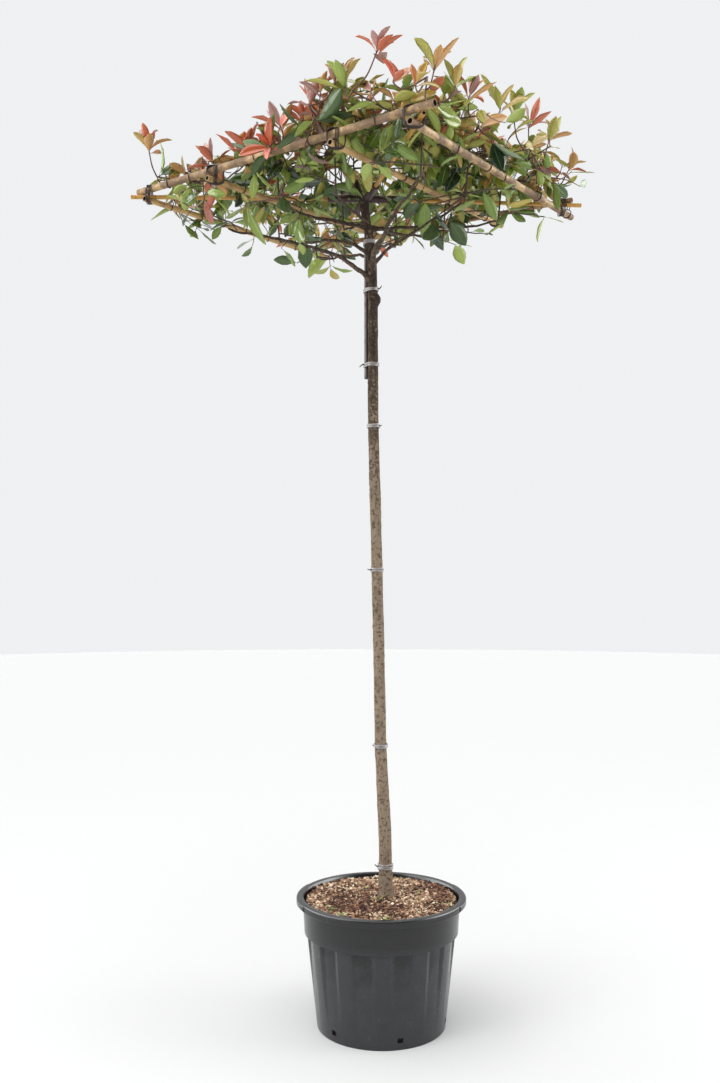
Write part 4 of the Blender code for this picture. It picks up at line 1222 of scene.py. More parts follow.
@dataclass
class Compost:
    """The bark compost: a rough mound with loose chips, and a few seedlings on it."""

    pot: Pot
    blades: "Blades"
    crown: float = 0.402
    edge: float = 0.398
    crown_radius: float = 0.070
    shoulder_drop: float = 0.040
    rings: int = 56
    columns: int = 210
    roughness: float = 0.0022
    chip_count: int = 5200
    chip_length: Span = (0.004, 0.0200)
    chip_corners: int = 6
    trunk_place: Place = (0.0145, 0.0100)
    trunk_keep_off: float = 0.021
    seedlings: tuple[Place, ...] = (
        (-0.160, -0.150), (-0.125, -0.190), (0.005, -0.232), (0.205, -0.120), (0.118, 0.005),
    )
    yellowed: tuple[Place, ...] = ((-0.055, 0.060), (-0.010, -0.060))
    seedling_leaf: Span = (0.009, 0.017)

    def radius(self) -> float:
        """The radius that the compost fills."""
        return self.pot.collar_foot_radius - self.pot.wall - CLEARANCE

    def level(self, x: Rows, y: Rows) -> Rows:
        """The height of the surface, without its fine crumbs.

        Args:
            x: Places along X.
            y: Places along Y.

        Returns:
            Their heights.
        """
        share = np.clip((self.radius() - np.hypot(x, y)) / (self.radius() - self.crown_radius), 0.0, 1.0)
        flat = np.column_stack([x.ravel(), y.ravel(), np.zeros(x.size)])
        lumps = noise_at(flat, (26.0, 26.0, 1.0), 7.7).reshape(x.shape)
        return self.edge + (self.crown - self.edge) * smooth_step(share, 0.0, 1.0) + 0.002 * lumps

    def height_at(self, x: float, y: float) -> float:
        """The height of the surface at one place."""
        return float(self.level(np.array([x]), np.array([y]))[0])

    def mound(self) -> Shell:
        """The rough surface with its side and flat underside.

        Returns:
            Its shell.
        """
        away = self.radius() * np.sqrt((np.arange(self.rings) + 0.5) / self.rings)
        away[-1] = self.radius()
        turn = np.arange(self.columns) * FULL_TURN / self.columns
        x, y = away[:, None] * np.cos(turn)[None, :], away[:, None] * np.sin(turn)[None, :]
        z = self.level(x, y)
        flat = np.column_stack([x.ravel(), y.ravel(), z.ravel()])
        crumbs = noise_at(flat, (130.0,) * 3, 1.0) + 0.6 * noise_at(flat, (330.0,) * 3, 9.0)
        z += self.roughness * crumbs.reshape(z.shape)
        low_radius = self.pot.base_radius - self.pot.wall - 2 * CLEARANCE
        plan = [low_radius * np.cos(turn), low_radius * np.sin(turn)]
        low = [np.column_stack([*plan, np.full(self.columns, height)])
               for height in (self.pot.floor + 2 * CLEARANCE, self.edge - self.shoulder_drop)]
        shell = Shell()
        top = np.stack([x, y, z], axis=-1)[::-1]
        shell.add(np.concatenate([np.stack(low), top]), ring_faces(self.rings + 2, self.columns))
        return shell

    def chip(self, chance: Chance, centre: Vector) -> Rows:
        """One loose chip of bark, as an irregular slab.

        Args:
            chance: The seeded source of chance.
            centre: Its middle.

        Returns:
            Its points, as two rings.
        """
        length = chance.triangular(*self.chip_length, self.chip_length[0] * 1.6)
        width = length * chance.uniform(0.30, 0.75)
        thick = max(0.0009, width * chance.uniform(0.18, 0.40))
        yaw, pitch, roll = chance.uniform(0, FULL_TURN), chance.gauss(0, 0.28), chance.gauss(0, 0.32)
        along = Vector((math.cos(yaw) * math.cos(pitch), math.sin(yaw) * math.cos(pitch), math.sin(pitch)))
        side = Vector((-math.sin(yaw), math.cos(yaw), 0.0))
        side = (side * math.cos(roll) + along.cross(side) * math.sin(roll)).normalized()
        face = along.cross(side)
        outline = []
        for corner in range(self.chip_corners):
            turn = FULL_TURN * (corner + chance.uniform(-0.25, 0.25)) / self.chip_corners
            reach = chance.uniform(0.75, 1.1)
            across = side * (width / 2 * math.sin(turn) * reach)
            outline.append(along * (length / 2 * math.cos(turn) * reach) + across)
        bend = chance.uniform(-0.2, 0.2) * width
        rows = []
        for lift, size in ((-0.5, 0.85), (0.5, 1.0)):
            for row in outline:
                curl = bend * (row.dot(along) / length) ** 2 * 4
                rows.append(centre + row * size + face * (thick * lift + curl))
        return vector_rows(rows)

    def chips(self) -> Shell:
        """Loose chips strewn over the surface, each in one of the chips' colours.

        Returns:
            Their shell.
        """
        chance = Chance("chips")
        shell = Shell()
        trunk = Vector((*self.trunk_place, 0.0))
        for _ in range(self.chip_count):
            away = (self.radius() - 0.004) * math.sqrt(chance.random())
            turn = chance.uniform(0, FULL_TURN)
            spot = Vector((away * math.cos(turn), away * math.sin(turn), 0.0))
            if (spot - trunk).length < self.trunk_keep_off:
                continue
            spot.z = self.height_at(spot.x, spot.y) + chance.uniform(0.0006, 0.0040)
            wet = noise.noise(Vector((spot.x * 11.0, spot.y * 11.0, 4.4)))
            pale = min(max(0.50 + 0.9 * wet, 0.08), 0.92)
            slot = chance.choice((2, 3, 3, 4, 2) if chance.random() < pale else (0, 0, 1, 1, 2))
            shell.add(self.chip(chance, spot), ring_faces(2, self.chip_corners), slot)
        return shell

    def sprout(self, leaves: Shell, stems: Shell, place: Place, tone: "Tone", chance: Chance) -> None:
        """Add one small seedling: a few tiny leaves on short stems.

        Args:
            leaves: The shell of the leaves.
            stems: The shell of the stems.
            place: Where it stands.
            tone: The tone of its leaves.
            chance: The seeded source of chance.
        """
        foot = Vector((*place, self.height_at(*place)))
        for number in range(chance.choice((4, 5, 6))):
            level = level_way(number * GOLDEN_ANGLE)
            tip = foot + level * chance.uniform(0.003, 0.009) + UP * chance.uniform(0.006, 0.020)
            stems.tube(vector_rows([foot, foot.lerp(tip, 0.5) + UP * 0.002, tip]), 0.0006, 5)
            length = chance.uniform(*self.seedling_leaf)
            way = (level + UP * chance.uniform(-0.1, 0.5)).normalized()
            face = (UP - way * way.z).normalized()
            width = length * chance.uniform(0.5, 0.75)
            self.blades.add(leaves, Leaf(tip, way, face, length, width, tone, number % 3, 0.5, 0.2))

    def build(self) -> None:
        """Make the seedlings, the compost and its chips."""
        chance = Chance("seedlings")
        stems = Shell()
        for tone, places in ((Tone.LIME, self.seedlings), (Tone.OLIVE, self.yellowed)):
            leaves = Shell()
            for place in places:
                self.sprout(leaves, stems, place, tone, chance)
            leaves.piece(f"seedlings_{tone.value}", SKINS[tone].materials(tone), "potting_bark", sharp=40.0)
        skin = twig_finish("seedling_stem", (0.16, 0.22, 0.07), (0.11, 0.16, 0.05), 0.5)
        stems.piece("seedling_stems", [skin.make()], "potting_bark", sharp=40.0)
        ground = Finish("dark_compost", (0.085, 0.048, 0.034), (0.030, 0.018, 0.013), 0.95, specular=0.2,
                        patch_size=0.006, relief=0.002)
        self.mound().piece("compost", [ground.make()], "potting_bark", ["soil"])
        colours = {
            "chip_dark": ((0.060, 0.030, 0.022), (0.024, 0.014, 0.011)),
            "chip_red": ((0.240, 0.108, 0.062), (0.130, 0.058, 0.038)),
            "chip_brown": ((0.380, 0.225, 0.140), (0.210, 0.120, 0.076)),
            "chip_tan": ((0.680, 0.480, 0.310), (0.470, 0.315, 0.200)),
            "chip_cream": ((0.900, 0.780, 0.600), (0.720, 0.570, 0.400)),
        }
        materials = [Finish(name, *pair, 0.85, specular=0.3, patch_size=0.003).make()
                     for name, pair in colours.items()]
        self.chips().piece("compost_chips", materials, "potting_bark", sharp=30.0)


# The steel, the canes and what ties them

def wrap(sections: Sequence[tuple[float, float, float, float]], spare: float, sides: int,
         count: int) -> Rows:
    """A closed loop drawn tight round ellipses, with its points spaced evenly.

    Args:
        sections: The middle and the half width and half height of each ellipse.
        spare: How far the loop stands off them.
        sides: Tangent lines that it is drawn with.
        count: How many points to give.

    Returns:
        Their rows.
    """
    turns = np.arange(sides) * FULL_TURN / sides
    reaches = spare + np.max([
        u * np.cos(turns) + v * np.sin(turns) + np.hypot(wide * np.cos(turns), tall * np.sin(turns))
        for u, v, wide, tall in sections
    ], axis=0)
    after, step = np.roll(reaches, -1), math.sin(FULL_TURN / sides)
    following = turns + FULL_TURN / sides
    corners = np.column_stack([
        (reaches * np.sin(following) - after * np.sin(turns)) / step,
        (after * np.cos(turns) - reaches * np.cos(following)) / step,
    ])
    closed = np.vstack([corners, corners[:1]])
    along = distance_along(closed)
    marks = np.arange(count) * along[-1] / count
    return np.column_stack([np.interp(marks, along, column) for column in closed.T])


@dataclass(frozen=True)
class Tie:
    """A soft tie round the trunk: its height, what it holds, and how its tail sticks out."""

    number: int
    height: float
    with_post: bool
    tail_bearing: float
    tail: float
    rise: float = 0.15
    wraps: int = 2


@dataclass
class SteelFrame:
    """The post behind the upper trunk, the cross on it and the ties round both."""

    trunk: Trunk
    plan: FramePlan
    post_place: Place = (-0.0445, 0.0300)
    post_radius: float = 0.010
    post_foot: float = 2.083
    tube_radius: float = 0.0125
    arm: float = 0.130
    socket_depth: float = 0.060
    bead_radius: float = 0.0021
    bead_count: int = 40
    tie_height: float = 0.0064
    tie_thickness: float = 0.0036
    ties: tuple[Tie, ...] = (
        Tie(1, 0.498, False, 200.0, 0.013, 0.55, wraps=3),
        Tie(2, 0.887, False, 190.0, 0.008),
        Tie(3, 1.456, False, 205.0, 0.013),
        Tie(4, 1.925, False, -15.0, 0.011),
        Tie(5, 2.127, True, 195.0, 0.014, -0.65),
        Tie(6, 2.373, True, -12.0, 0.016, 0.55),
        Tie(7, 2.528, True, 40.0, 0.010),
    )
    tie_section: tuple[Place, ...] = (
        (-1.0, -0.7), (-0.2, -1.0), (0.6, -0.86), (1.0, -0.5), (1.0, 0.5), (0.6, 0.86), (-0.2, 1.0),
        (-1.0, 0.7),
    )

    def build_post(self) -> None:
        """Make the post with its capped foot and the weld under the cross."""
        top = self.plan.height - self.tube_radius - CLEARANCE
        round_foot = ((0.0, 0.72), (0.0012, 0.93), (0.0035, 1.0))
        marks = [(self.post_foot + rise, share) for rise, share in round_foot]
        marks += [(level, 1.0) for level in np.linspace(self.post_foot + 0.02, top - 0.006, 12)]
        marks += [(top - 0.004, 1.12), (top - 0.002, 1.24), (top, 1.28)]
        shell = Shell()
        path = vector_rows(Vector((*self.post_place, level)) for level, _ in marks)
        shell.tube(path, np.array([share * self.post_radius for _, share in marks]), 36)
        steel = SteelFinish("dark_painted_steel", (0.034, 0.031, 0.028), (0.075, 0.036, 0.022), 0.42, 0.35,
                            patch_share=0.40, patch_edge=0.06, patch_size=0.014)
        shell.piece("post_tube", [steel.make()], "post_steel", ["post"], sharp=40.0)

    def build_cross(self, ways: Sequence[Vector], bore: float) -> None:
        """Make the four arms with their sockets, and the weld where they meet.

        Args:
            ways: The level direction of each arm.
            bore: The radius inside a socket.
        """
        shell = Shell()
        hub = self.plan.point((0.0, 0.0), self.plan.height)
        edge, radius = 0.0008, self.tube_radius
        marks = [(0.0, radius), (self.arm * 0.5, radius), (self.arm - edge, radius),
                 (self.arm, radius - edge), (self.arm + 0.00001, bore + edge), (self.arm - edge, bore),
                 (self.arm - self.socket_depth, bore)]
        for way in ways:
            shell.turned(hub, way, marks, 36)
        for way in ways:
            side = way.cross(UP)
            for turn in np.linspace(0.0, FULL_TURN, self.bead_count, endpoint=False):
                spot = hub + way * (radius + 0.002)
                spot += (side * math.cos(turn) + UP * math.sin(turn)) * radius
                bead = vector_rows(spot + UP * self.bead_radius * level
                                   for level in (-0.9, -0.45, 0.0, 0.45, 0.9))
                shell.tube(bead, self.bead_radius * np.array([0.35, 0.85, 1.0, 0.85, 0.35]), 7)
        paint = SteelFinish("maroon_painted_steel", (0.052, 0.022, 0.022), (0.09, 0.035, 0.02), 0.38, 0.15,
                            patch_share=0.36, patch_edge=0.06, patch_size=0.014)
        shell.piece("cross_tubes", [paint.make()], "cross_steel", ["cross"], sharp=40.0)

    def build_tie(self, tie: Tie, materials: Sequence[Material]) -> None:
        """Make one tie: turns of soft tube pressed flat, and its dark end.

        Args:
            tie: Which tie.
            materials: Its material, and that of its end.
        """
        shell = Shell()
        for number in range(tie.wraps):
            middle = tie.height + self.tie_height * 0.96 * (number - (tie.wraps - 1) / 2)
            centre, radius = self.trunk.at(middle)
            sections = [(centre.x, centre.y, radius + 0.0002, radius + 0.0002)]
            if tie.with_post:
                sections.append((*self.post_place, self.post_radius, self.post_radius))
            loop = wrap(sections, self.tie_thickness / 2, 48, 96)
            self.band(shell, loop, middle, noise.noise(Vector((tie.number, number, 0.5))))
        centre, radius = self.trunk.at(tie.height)
        way = bearing_vector(tie.tail_bearing)
        root = centre + way * radius
        if tie.with_post and tie.tail_bearing > 90.0:
            root.x = self.post_place[0] - self.post_radius
        curl = way.cross(UP) * 0.5
        points = [root + (way + UP * tie.rise * share + curl * share**2) * share * tie.tail
                  for share in (0.0, 0.35, 0.7, 1.0)]
        shell.tube(smooth_path(points, 3), np.linspace(0.0026, 0.0013, 10), 8, slot=1)
        name = f"tie_{tie.number}"
        shell.piece(f"{name}_band", materials, "tie_rubber", [name], sharp=40.0)

    def band(self, shell: Shell, loop: Rows, level: float, slant: float) -> None:
        """Add one closed band.

        Args:
            shell: Where it goes.
            loop: Rows of its plan.
            level: The height of its middle.
            slant: How it leans, from -1 to 1.
        """
        half, thick = self.tie_height / 2, self.tie_thickness / 2
        out = np.roll(loop, -1, axis=0) - np.roll(loop, 1, axis=0)
        out = np.column_stack([out[:, 1], -out[:, 0]])
        out /= np.linalg.norm(out, axis=1)[:, None]
        count, strips = len(loop), len(self.tie_section)
        turn = np.arange(count) * FULL_TURN / count
        lean = level + 0.003 * slant * np.sin(turn) + 0.0008 * np.sin(3 * turn + slant * 9)
        rows = [np.column_stack([loop + out * thick * outward, lean + half * upward])
                for outward, upward in self.tie_section]
        faces = ring_faces(strips + 1, count, caps=False)
        shell.add(np.vstack(rows), [[index % (strips * count) for index in face] for face in faces])

    def build_ties(self) -> None:
        """Make all the ties."""
        soft = Finish("grey_soft_tie", (0.33, 0.315, 0.31), (0.19, 0.17, 0.16), 0.38, patch_size=0.010,
                      relief=0.0006)
        dark = Finish("black_tie_end", (0.030, 0.028, 0.027), (0.015, 0.014, 0.014), 0.45, relief=0.0004)
        materials = [soft.make(), dark.make()]
        for tie in self.ties:
            self.build_tie(tie, materials)


class Layer(Enum):
    """Where a cane lies against the diagonals."""

    UPPER = 1
    MIDDLE = 0
    LOWER = -1


class Culm(Enum):
    """The finish of a cane: its colour, its weathered colour and its stains."""

    WEATHERED = CaneFinish("weathered_culm", (0.52, 0.345, 0.150), (0.215, 0.135, 0.075), 0.46,
                           weathering=0.54, stain=(0.10, 0.046, 0.022))
    TAN = CaneFinish("tan_culm", (0.56, 0.355, 0.130), (0.34, 0.200, 0.080), 0.40,
                     weathering=0.44, stain=(0.16, 0.075, 0.030))
    GOLDEN = CaneFinish("golden_culm", (0.58, 0.310, 0.060), (0.42, 0.215, 0.050), 0.32,
                        weathering=0.42, stain=(0.18, 0.085, 0.026))
    BROWN = CaneFinish("brown_culm", (0.37, 0.205, 0.080), (0.22, 0.120, 0.056), 0.46,
                       weathering=0.50, stain=(0.10, 0.05, 0.022))


@dataclass(frozen=True)
class Cane:
    """One bamboo cane of the frame."""

    name: str
    start: Place
    end: Place
    radius: float
    layer: Layer
    culm: Culm


@dataclass(frozen=True)
class Lashing:
    """A wire lashing at a crossing: its place, the turn of its plane and what it holds."""

    name: str
    place: Place
    turn: float
    held: tuple[str, ...]


@dataclass
class CaneFrame:
    """The six square canes and four diagonals, their lashings and their small wire ties."""

    plan: FramePlan
    steel: SteelFrame
    diagonal_radius: float = 0.0068
    node_spacing: float = 0.300
    node_phase: float = 0.140
    node_keep_off: float = 0.040
    parallel_spread: float = 0.1
    sides: int = 30
    ring_gap: float = 0.004
    culm_wall: float = 0.0026
    hollow_depth: float = 0.018
    wire: float = 0.0015
    lashing_turns: int = 4
    lashing_pitch: float = 0.0042
    lashing_slack: float = 0.0016
    loop_points: int = 40
    twig_wire: float = 0.0016
    twig_tie_gap: Span = (0.060, 0.230)
    twig_tie_room: float = 0.028
    tail: Span = (0.014, 0.034)

    def __post_init__(self) -> None:
        """List the canes, in the record's own names, and the lashings."""
        self.canes = (
            Cane("cane_front_left", (-0.598, -0.456), (0.564, -0.456), 0.0115, Layer.UPPER, Culm.WEATHERED),
            Cane("cane_back_right", (-0.540, 0.376), (0.515, 0.459), 0.0085, Layer.UPPER, Culm.BROWN),
            Cane("cane_back_left", (-0.548, -0.478), (-0.496, 0.412), 0.0092, Layer.LOWER, Culm.TAN),
            Cane("cane_inner_left", (-0.251, -0.489), (-0.166, 0.434), 0.0090, Layer.LOWER, Culm.TAN),
            Cane("cane_inner_right", (0.229, -0.484), (0.239, 0.470), 0.0095, Layer.LOWER, Culm.TAN),
            Cane("cane_front_right", (0.494, -0.472), (0.477, 0.529), 0.0105, Layer.LOWER, Culm.WEATHERED),
        )
        ends = {"left": (-0.608, -0.481), "front": (0.530, -0.458), "right": (0.535, 0.485),
                "back": (-0.530, 0.406)}
        self.diagonals = tuple(
            Cane(f"diagonal_{name}", (0.0, 0.0), end, self.diagonal_radius, Layer.MIDDLE, Culm.GOLDEN)
            for name, end in ends.items()
        )
        front, back = "cane_front_left", "cane_back_right"
        self.lashings = (
            Lashing("lashing_left", (-0.558, -0.4425), -51.7, (front, "cane_back_left", "diagonal_left")),
            Lashing("lashing_front", (0.505, -0.438), 49.2, (front, "cane_front_right", "diagonal_front")),
            Lashing("lashing_right", (0.490, 0.4445), -47.8, (back, "cane_front_right", "diagonal_right")),
            Lashing("lashing_back", (-0.504, 0.386), 52.5, (back, "cane_back_left", "diagonal_back")),
            Lashing("lashing_front_left", (-0.248, -0.456), 45.0, (front, "cane_inner_left")),
            Lashing("lashing_front_mid", (0.2295, -0.456), 45.0, (front, "cane_inner_right")),
            Lashing("lashing_back_left", (-0.169, 0.4052), 45.0, (back, "cane_inner_left")),
            Lashing("lashing_back_mid", (0.2387, 0.4373), 45.0, (back, "cane_inner_right")),
        )

    def everything(self) -> tuple[Cane, ...]:
        """Square canes and diagonals."""
        return self.canes + self.diagonals

    def way_out(self, cane: Cane) -> Vector:
        """The level direction in which a cane runs."""
        return (self.plan.point(cane.end, 0.0) - self.plan.point(cane.start, 0.0)).normalized()

    def ends(self, cane: Cane) -> tuple[Vector, Vector]:
        """Both ends of a cane's axis. Square canes touch the diagonals, which start in their sockets.

        Args:
            cane: Which cane.

        Returns:
            Its start and its end.
        """
        height = self.plan.height + cane.layer.value * (self.diagonal_radius + CLEARANCE + cane.radius)
        start, end = self.plan.point(cane.start, height), self.plan.point(cane.end, height)
        if cane.layer is Layer.MIDDLE:
            start += self.way_out(cane) * (self.steel.arm - self.steel.socket_depth + CLEARANCE)
        return start, end

    def crossings(self, cane: Cane) -> list[float]:
        """How far along a cane each of the others crosses it.

        Args:
            cane: Which cane.

        Returns:
            The distances.
        """
        start, along = self.ends(cane)[0], self.way_out(cane)
        distances = []
        for other in self.everything():
            way = self.way_out(other)
            spread = along.x * way.y - along.y * way.x
            if other is not cane and abs(spread) > self.parallel_spread:
                offset = self.ends(other)[0] - start
                distances.append((offset.x * way.y - offset.y * way.x) / spread)
        return distances

    def nodes(self, cane: Cane) -> list[float]:
        """How far along a cane its own nodes lie, which keep off the crossings.

        Args:
            cane: Which cane.

        Returns:
            The distances.
        """
        start, end = self.ends(cane)
        crossings, marks, mark = self.crossings(cane), [], self.node_phase
        while mark < (end - start).length - self.node_keep_off:
            marks.append(mark)
            mark += self.node_spacing
        hidden = self.steel.socket_depth + self.node_keep_off if cane.layer is Layer.MIDDLE else 0.0
        return [mark for mark in marks if mark >= hidden
                and all(abs(mark - spot) > self.node_keep_off for spot in crossings)]

    def build_cane(self, cane: Cane, materials: Sequence[Material]) -> None:
        """Make one cane with its nodes, its cut ends and the hollow in each.

        Args:
            cane: Which cane.
            materials: Those of its skin, its cut ends and the inside of the hollow.
        """
        chance = Chance(cane.name)
        start, end = self.ends(cane)
        way, length = self.way_out(cane), (end - start).length
        marks = np.linspace(0.0, length, round(length / self.ring_gap) + 1)
        for node in self.nodes(cane):
            marks = np.concatenate([marks, node + np.array([-2.6, -1.8, -1.0, 0.6, 1.6, 2.4]) * 0.001])
        marks = np.unique(np.round(marks, 5))
        radii = np.full(len(marks), cane.radius)
        for node in self.nodes(cane):
            away = marks - node
            swell = 0.0011 * np.exp(-((away / 0.0065) ** 2))
            radii += swell + 0.0007 * np.exp(-(((away - 0.0016) / 0.0012) ** 2))
            radii -= 0.0006 * np.exp(-(((away + 0.0018) / 0.0010) ** 2))
        turns = np.arange(self.sides) * FULL_TURN / self.sides
        oval = 1.0 + 0.018 * np.cos(2 * turns + chance.uniform(0, FULL_TURN))
        path = vector_rows(start + way * mark for mark in marks)
        line = np.column_stack([marks, marks * 0, marks * 0])
        wander = noise_at(line, (6.0, 1.0, 1.0), chance.uniform(0, 60))
        fade = smooth_step(marks, 0.0, 0.06) * smooth_step(length - marks, 0.0, 0.06)
        path[:, 2] += 0.0005 * wander * fade
        shell = Shell()
        shell.tube(path, radii[:, None] * oval[None, :], self.sides, caps=False)
        inner = cane.radius - min(self.culm_wall, cane.radius * 0.34)
        for tip, inward in ((start, way), (end, -way)):
            rim = [(0.0, cane.radius), (0.00001, inner + 0.0003), (0.0006, inner)]
            shell.turned(tip, inward, rim, self.sides, slot=1, caps=False)
            self.pit(shell, tip, inward, inner)
        shell.piece(f"culm_{cane.name}", materials, "bamboo", [cane.name], sharp=40.0)

    def pit(self, shell: Shell, tip: Vector, inward: Vector, radius: float) -> None:
        """Add the inside of a hollow end, open towards the cut, in a near-black colour that is painted shade.

        Args:
            shell: Where it goes.
            tip: The middle of the cut.
            inward: The way into the cane.
            radius: The hollow's radius.
        """
        across = inward.orthogonal().normalized()
        over = inward.cross(across)
        rows = [
            tip + inward * along + (across * math.cos(turn) + over * math.sin(turn)) * reach
            for along, reach in ((0.0006, radius), (self.hollow_depth, radius * 0.96))
            for turn in (side * FULL_TURN / self.sides for side in range(self.sides))
        ]
        faces = ring_faces(2, self.sides, caps=False) + [tuple(range(self.sides, 2 * self.sides))]
        shell.add(vector_rows(rows), [face[::-1] for face in faces], slot=2)

    def build_lashing(self, lashing: Lashing, wire: Material) -> None:
        """Make one lashing: wire wound round the crossing, with its twisted ends.

        Args:
            lashing: Which lashing.
            wire: Its material.
        """
        chance = Chance(lashing.name)
        held = {cane.name: cane for cane in self.everything()}
        shell = Shell()
        for order in range(1 if len(lashing.held) == 3 else 2):
            self.winding(shell, lashing.place, [held[name] for name in lashing.held],
                         lashing.turn + 90.0 * order, self.lashing_turns - order, chance)
        shell.piece(f"{lashing.name}_coil", [wire], "lashing_wire", [lashing.name])

    def winding(self, shell: Shell, place: Place, held: Sequence[Cane], turn: float, turns: int,
                chance: Chance) -> None:
        """Add some turns of wire in one plane through a crossing, and two twisted ends.

        Args:
            shell: Where they go.
            place: The crossing.
            held: The canes that cross there.
            turn: The turn of the wire's plane, in degrees.
            turns: How many turns of wire.
            chance: The seeded source of chance.
        """
        centre = self.plan.point(place, self.plan.height)
        level = level_way(self.plan.turn + math.radians(turn))
        facing = level.cross(UP)
        sections = []
        for cane in held:
            start, way = self.ends(cane)[0], self.way_out(cane)
            spot = start + way * ((centre - start).dot(facing) / way.dot(facing))
            square = abs(way.dot(facing))
            slide = self.lashing_pitch * turns / 2 * abs(way.dot(level)) / square
            wide = cane.radius / square + slide
            sections.append(((spot - centre).dot(level), spot.z - centre.z, wide, cane.radius))
        loop = wrap(sections, self.lashing_slack, 32, self.loop_points)
        rows = []
        for step in range(self.loop_points * turns + 1):
            u, v = loop[step % self.loop_points]
            loose = 1.0 + 0.035 * noise.noise(Vector((step * 0.11, turn, 0.0)))
            pitch = self.lashing_pitch * (step / self.loop_points - turns / 2)
            rows.append(centre + level * u * loose + UP * v * loose + facing * pitch)
        path = vector_rows(rows)
        shell.tube(path, self.wire, 7)
        for end, inner in ((path[0], path[3]), (path[-1], path[-4])):
            self.twist(shell, Vector(end), Vector(end - inner).normalized(), self.wire, chance)

    def twist(self, shell: Shell, root: Vector, way: Vector, thick: float, chance: Chance) -> None:
        """Add a twisted end of wire that sticks out and curls.

        Args:
            shell: Where it goes.
            root: Where it starts.
            way: The way it sets out.
            thick: The wire's radius.
            chance: The seeded source of chance.
        """
        length = chance.uniform(*self.tail)
        side = Vector((chance.uniform(-1, 1), chance.uniform(-1, 1), chance.uniform(-0.6, 0.9)))
        shares = [step / 5 for step in range(1, 6)]
        points = [root + way * length * share * 0.6 + side * length * share * share * 0.7 for share in shares]
        shell.tube(smooth_path([root, *points], 3), thick * 0.9, 6)

    def build_twig_ties(self, wire: Material) -> None:
        """Make the small wire loops that hold twigs to the canes.

        Args:
            wire: Their material.
        """
        chance = Chance("twig ties")
        shell = Shell()
        for cane in self.canes:
            start, end = self.ends(cane)
            mark = chance.uniform(*self.twig_tie_gap)
            while mark < (end - start).length - 0.03:
                if all(abs(mark - spot) > self.twig_tie_room for spot in self.crossings(cane)):
                    self.twig_tie(shell, cane, start, mark, chance)
                mark += chance.uniform(*self.twig_tie_gap)
        shell.piece("twig_ties", [wire], "lashing_wire")

    def twig_tie(self, shell: Shell, cane: Cane, start: Vector, mark: float, chance: Chance) -> None:
        """Add one loose loop of wire round a cane.

        Args:
            shell: Where it goes.
            cane: Which cane.
            start: The cane's start.
            mark: How far along it the loop lies.
            chance: The seeded source of chance.
        """
        way = self.way_out(cane)
        side = way.cross(UP)
        room = 1.0 + chance.uniform(0.10, 0.55)
        lean = chance.uniform(-0.70, 0.70)
        rows = []
        for step in range(27):
            turn = step / 24 * FULL_TURN + 1.0
            reach = (cane.radius + self.twig_wire * 1.2) * (1.0 if math.sin(turn) < 0 else room)
            out = side * math.cos(turn) + UP * math.sin(turn)
            along = mark + lean * 0.012 * math.cos(turn) + step * 0.00008
            rows.append(start + way * along + out * reach)
        shell.tube(smooth_path(rows[::2], 2), self.twig_wire, 6)
        for tip in (rows[0], rows[-1]):
            self.twist(shell, tip, (tip - start - way * mark).normalized(), self.twig_wire, chance)

    def build(self) -> None:
        """Make the canes, lashings and twig ties."""
        skins = {culm: culm.value.make() for culm in Culm}
        inside = [
            Finish("cut_culm", (0.42, 0.29, 0.17), (0.20, 0.13, 0.075), 0.85, patch_size=0.002).make(),
            # The hollow's near-black colour is painted shade inside the cane.
            Finish("hollow_culm_painted_shade", (0.035, 0.020, 0.012), (0.014, 0.009, 0.006), 0.95,
                   patch_size=0.003).make(),
        ]
        for cane in self.everything():
            self.build_cane(cane, [skins[cane.culm], *inside])
        wire = Finish("black_coated_wire", (0.024, 0.020, 0.019), (0.055, 0.036, 0.028), 0.62, specular=0.3,
                      patch_size=0.005, relief=0.0004).make()
        for lashing in self.lashings:
            self.build_lashing(lashing, wire)
        self.build_twig_ties(wire)


# Leaves

class Tone(Enum):
    """The age and colour of a spray of leaves."""

    ROSE = "rose"
    RED = "red"
    COPPER = "copper"
    BRONZE = "bronze"
    OLIVE = "olive"
    LIME = "lime"
    GREEN = "green"
    DARK = "dark"
    FADED = "faded"


ROSE, RED, COPPER, BRONZE, OLIVE, LIME, GREEN, DARK, FADED = Tone
NEW_GROWTH = (ROSE, RED, COPPER, BRONZE)
OLDER = {ROSE: COPPER, RED: COPPER, COPPER: OLIVE, BRONZE: OLIVE, OLIVE: LIME, LIME: GREEN, GREEN: DARK,
         DARK: DARK, FADED: FADED}
MIXED = {
    ROSE: (ROSE, ROSE, RED, COPPER),
    RED: (RED, RED, RED, COPPER, ROSE),
    COPPER: (COPPER, COPPER, BRONZE, RED, ROSE),
    BRONZE: (BRONZE, BRONZE, OLIVE, COPPER),
    OLIVE: (OLIVE, OLIVE, LIME, BRONZE),
    LIME: (LIME, LIME, OLIVE, GREEN),
    GREEN: (GREEN, GREEN, LIME),
    DARK: (DARK,),
    FADED: (FADED,),
}


@dataclass(frozen=True)
class LeafSkin:
    """The colours of one tone: its tints above, its underside, paler partly by nature and partly as painted
    light shining through the leaf, and its midrib.
    """

    tints: tuple[Colour, Colour, Colour]
    # Paler than the tints: partly the leaf's own paler underside, partly painted light shining through it.
    underside_with_glow: Colour
    rib: Colour
    roughness: float

    def materials(self, tone: Tone) -> list[Material]:
        """A material for each tint, the underside and the midrib.

        Args:
            tone: The tone, for the names.

        Returns:
            The materials, in the order of a blade's slots.
        """
        quilt = 0.12 if tone in NEW_GROWTH else 0.35
        name = f"{tone.value}_leaf"
        finishes = [LeafFinish(f"{name}_{number}", tint, roughness=self.roughness, quilt=quilt)
                    for number, tint in enumerate(self.tints, 1)]
        finishes += [LeafFinish(f"{name}_underside", self.underside_with_glow, roughness=0.55, specular=0.25, quilt=quilt),
                     LeafFinish(f"{name}_midrib", self.rib, roughness=0.55, specular=0.4, quilt=0.1)]
        return [finish.make() for finish in finishes]
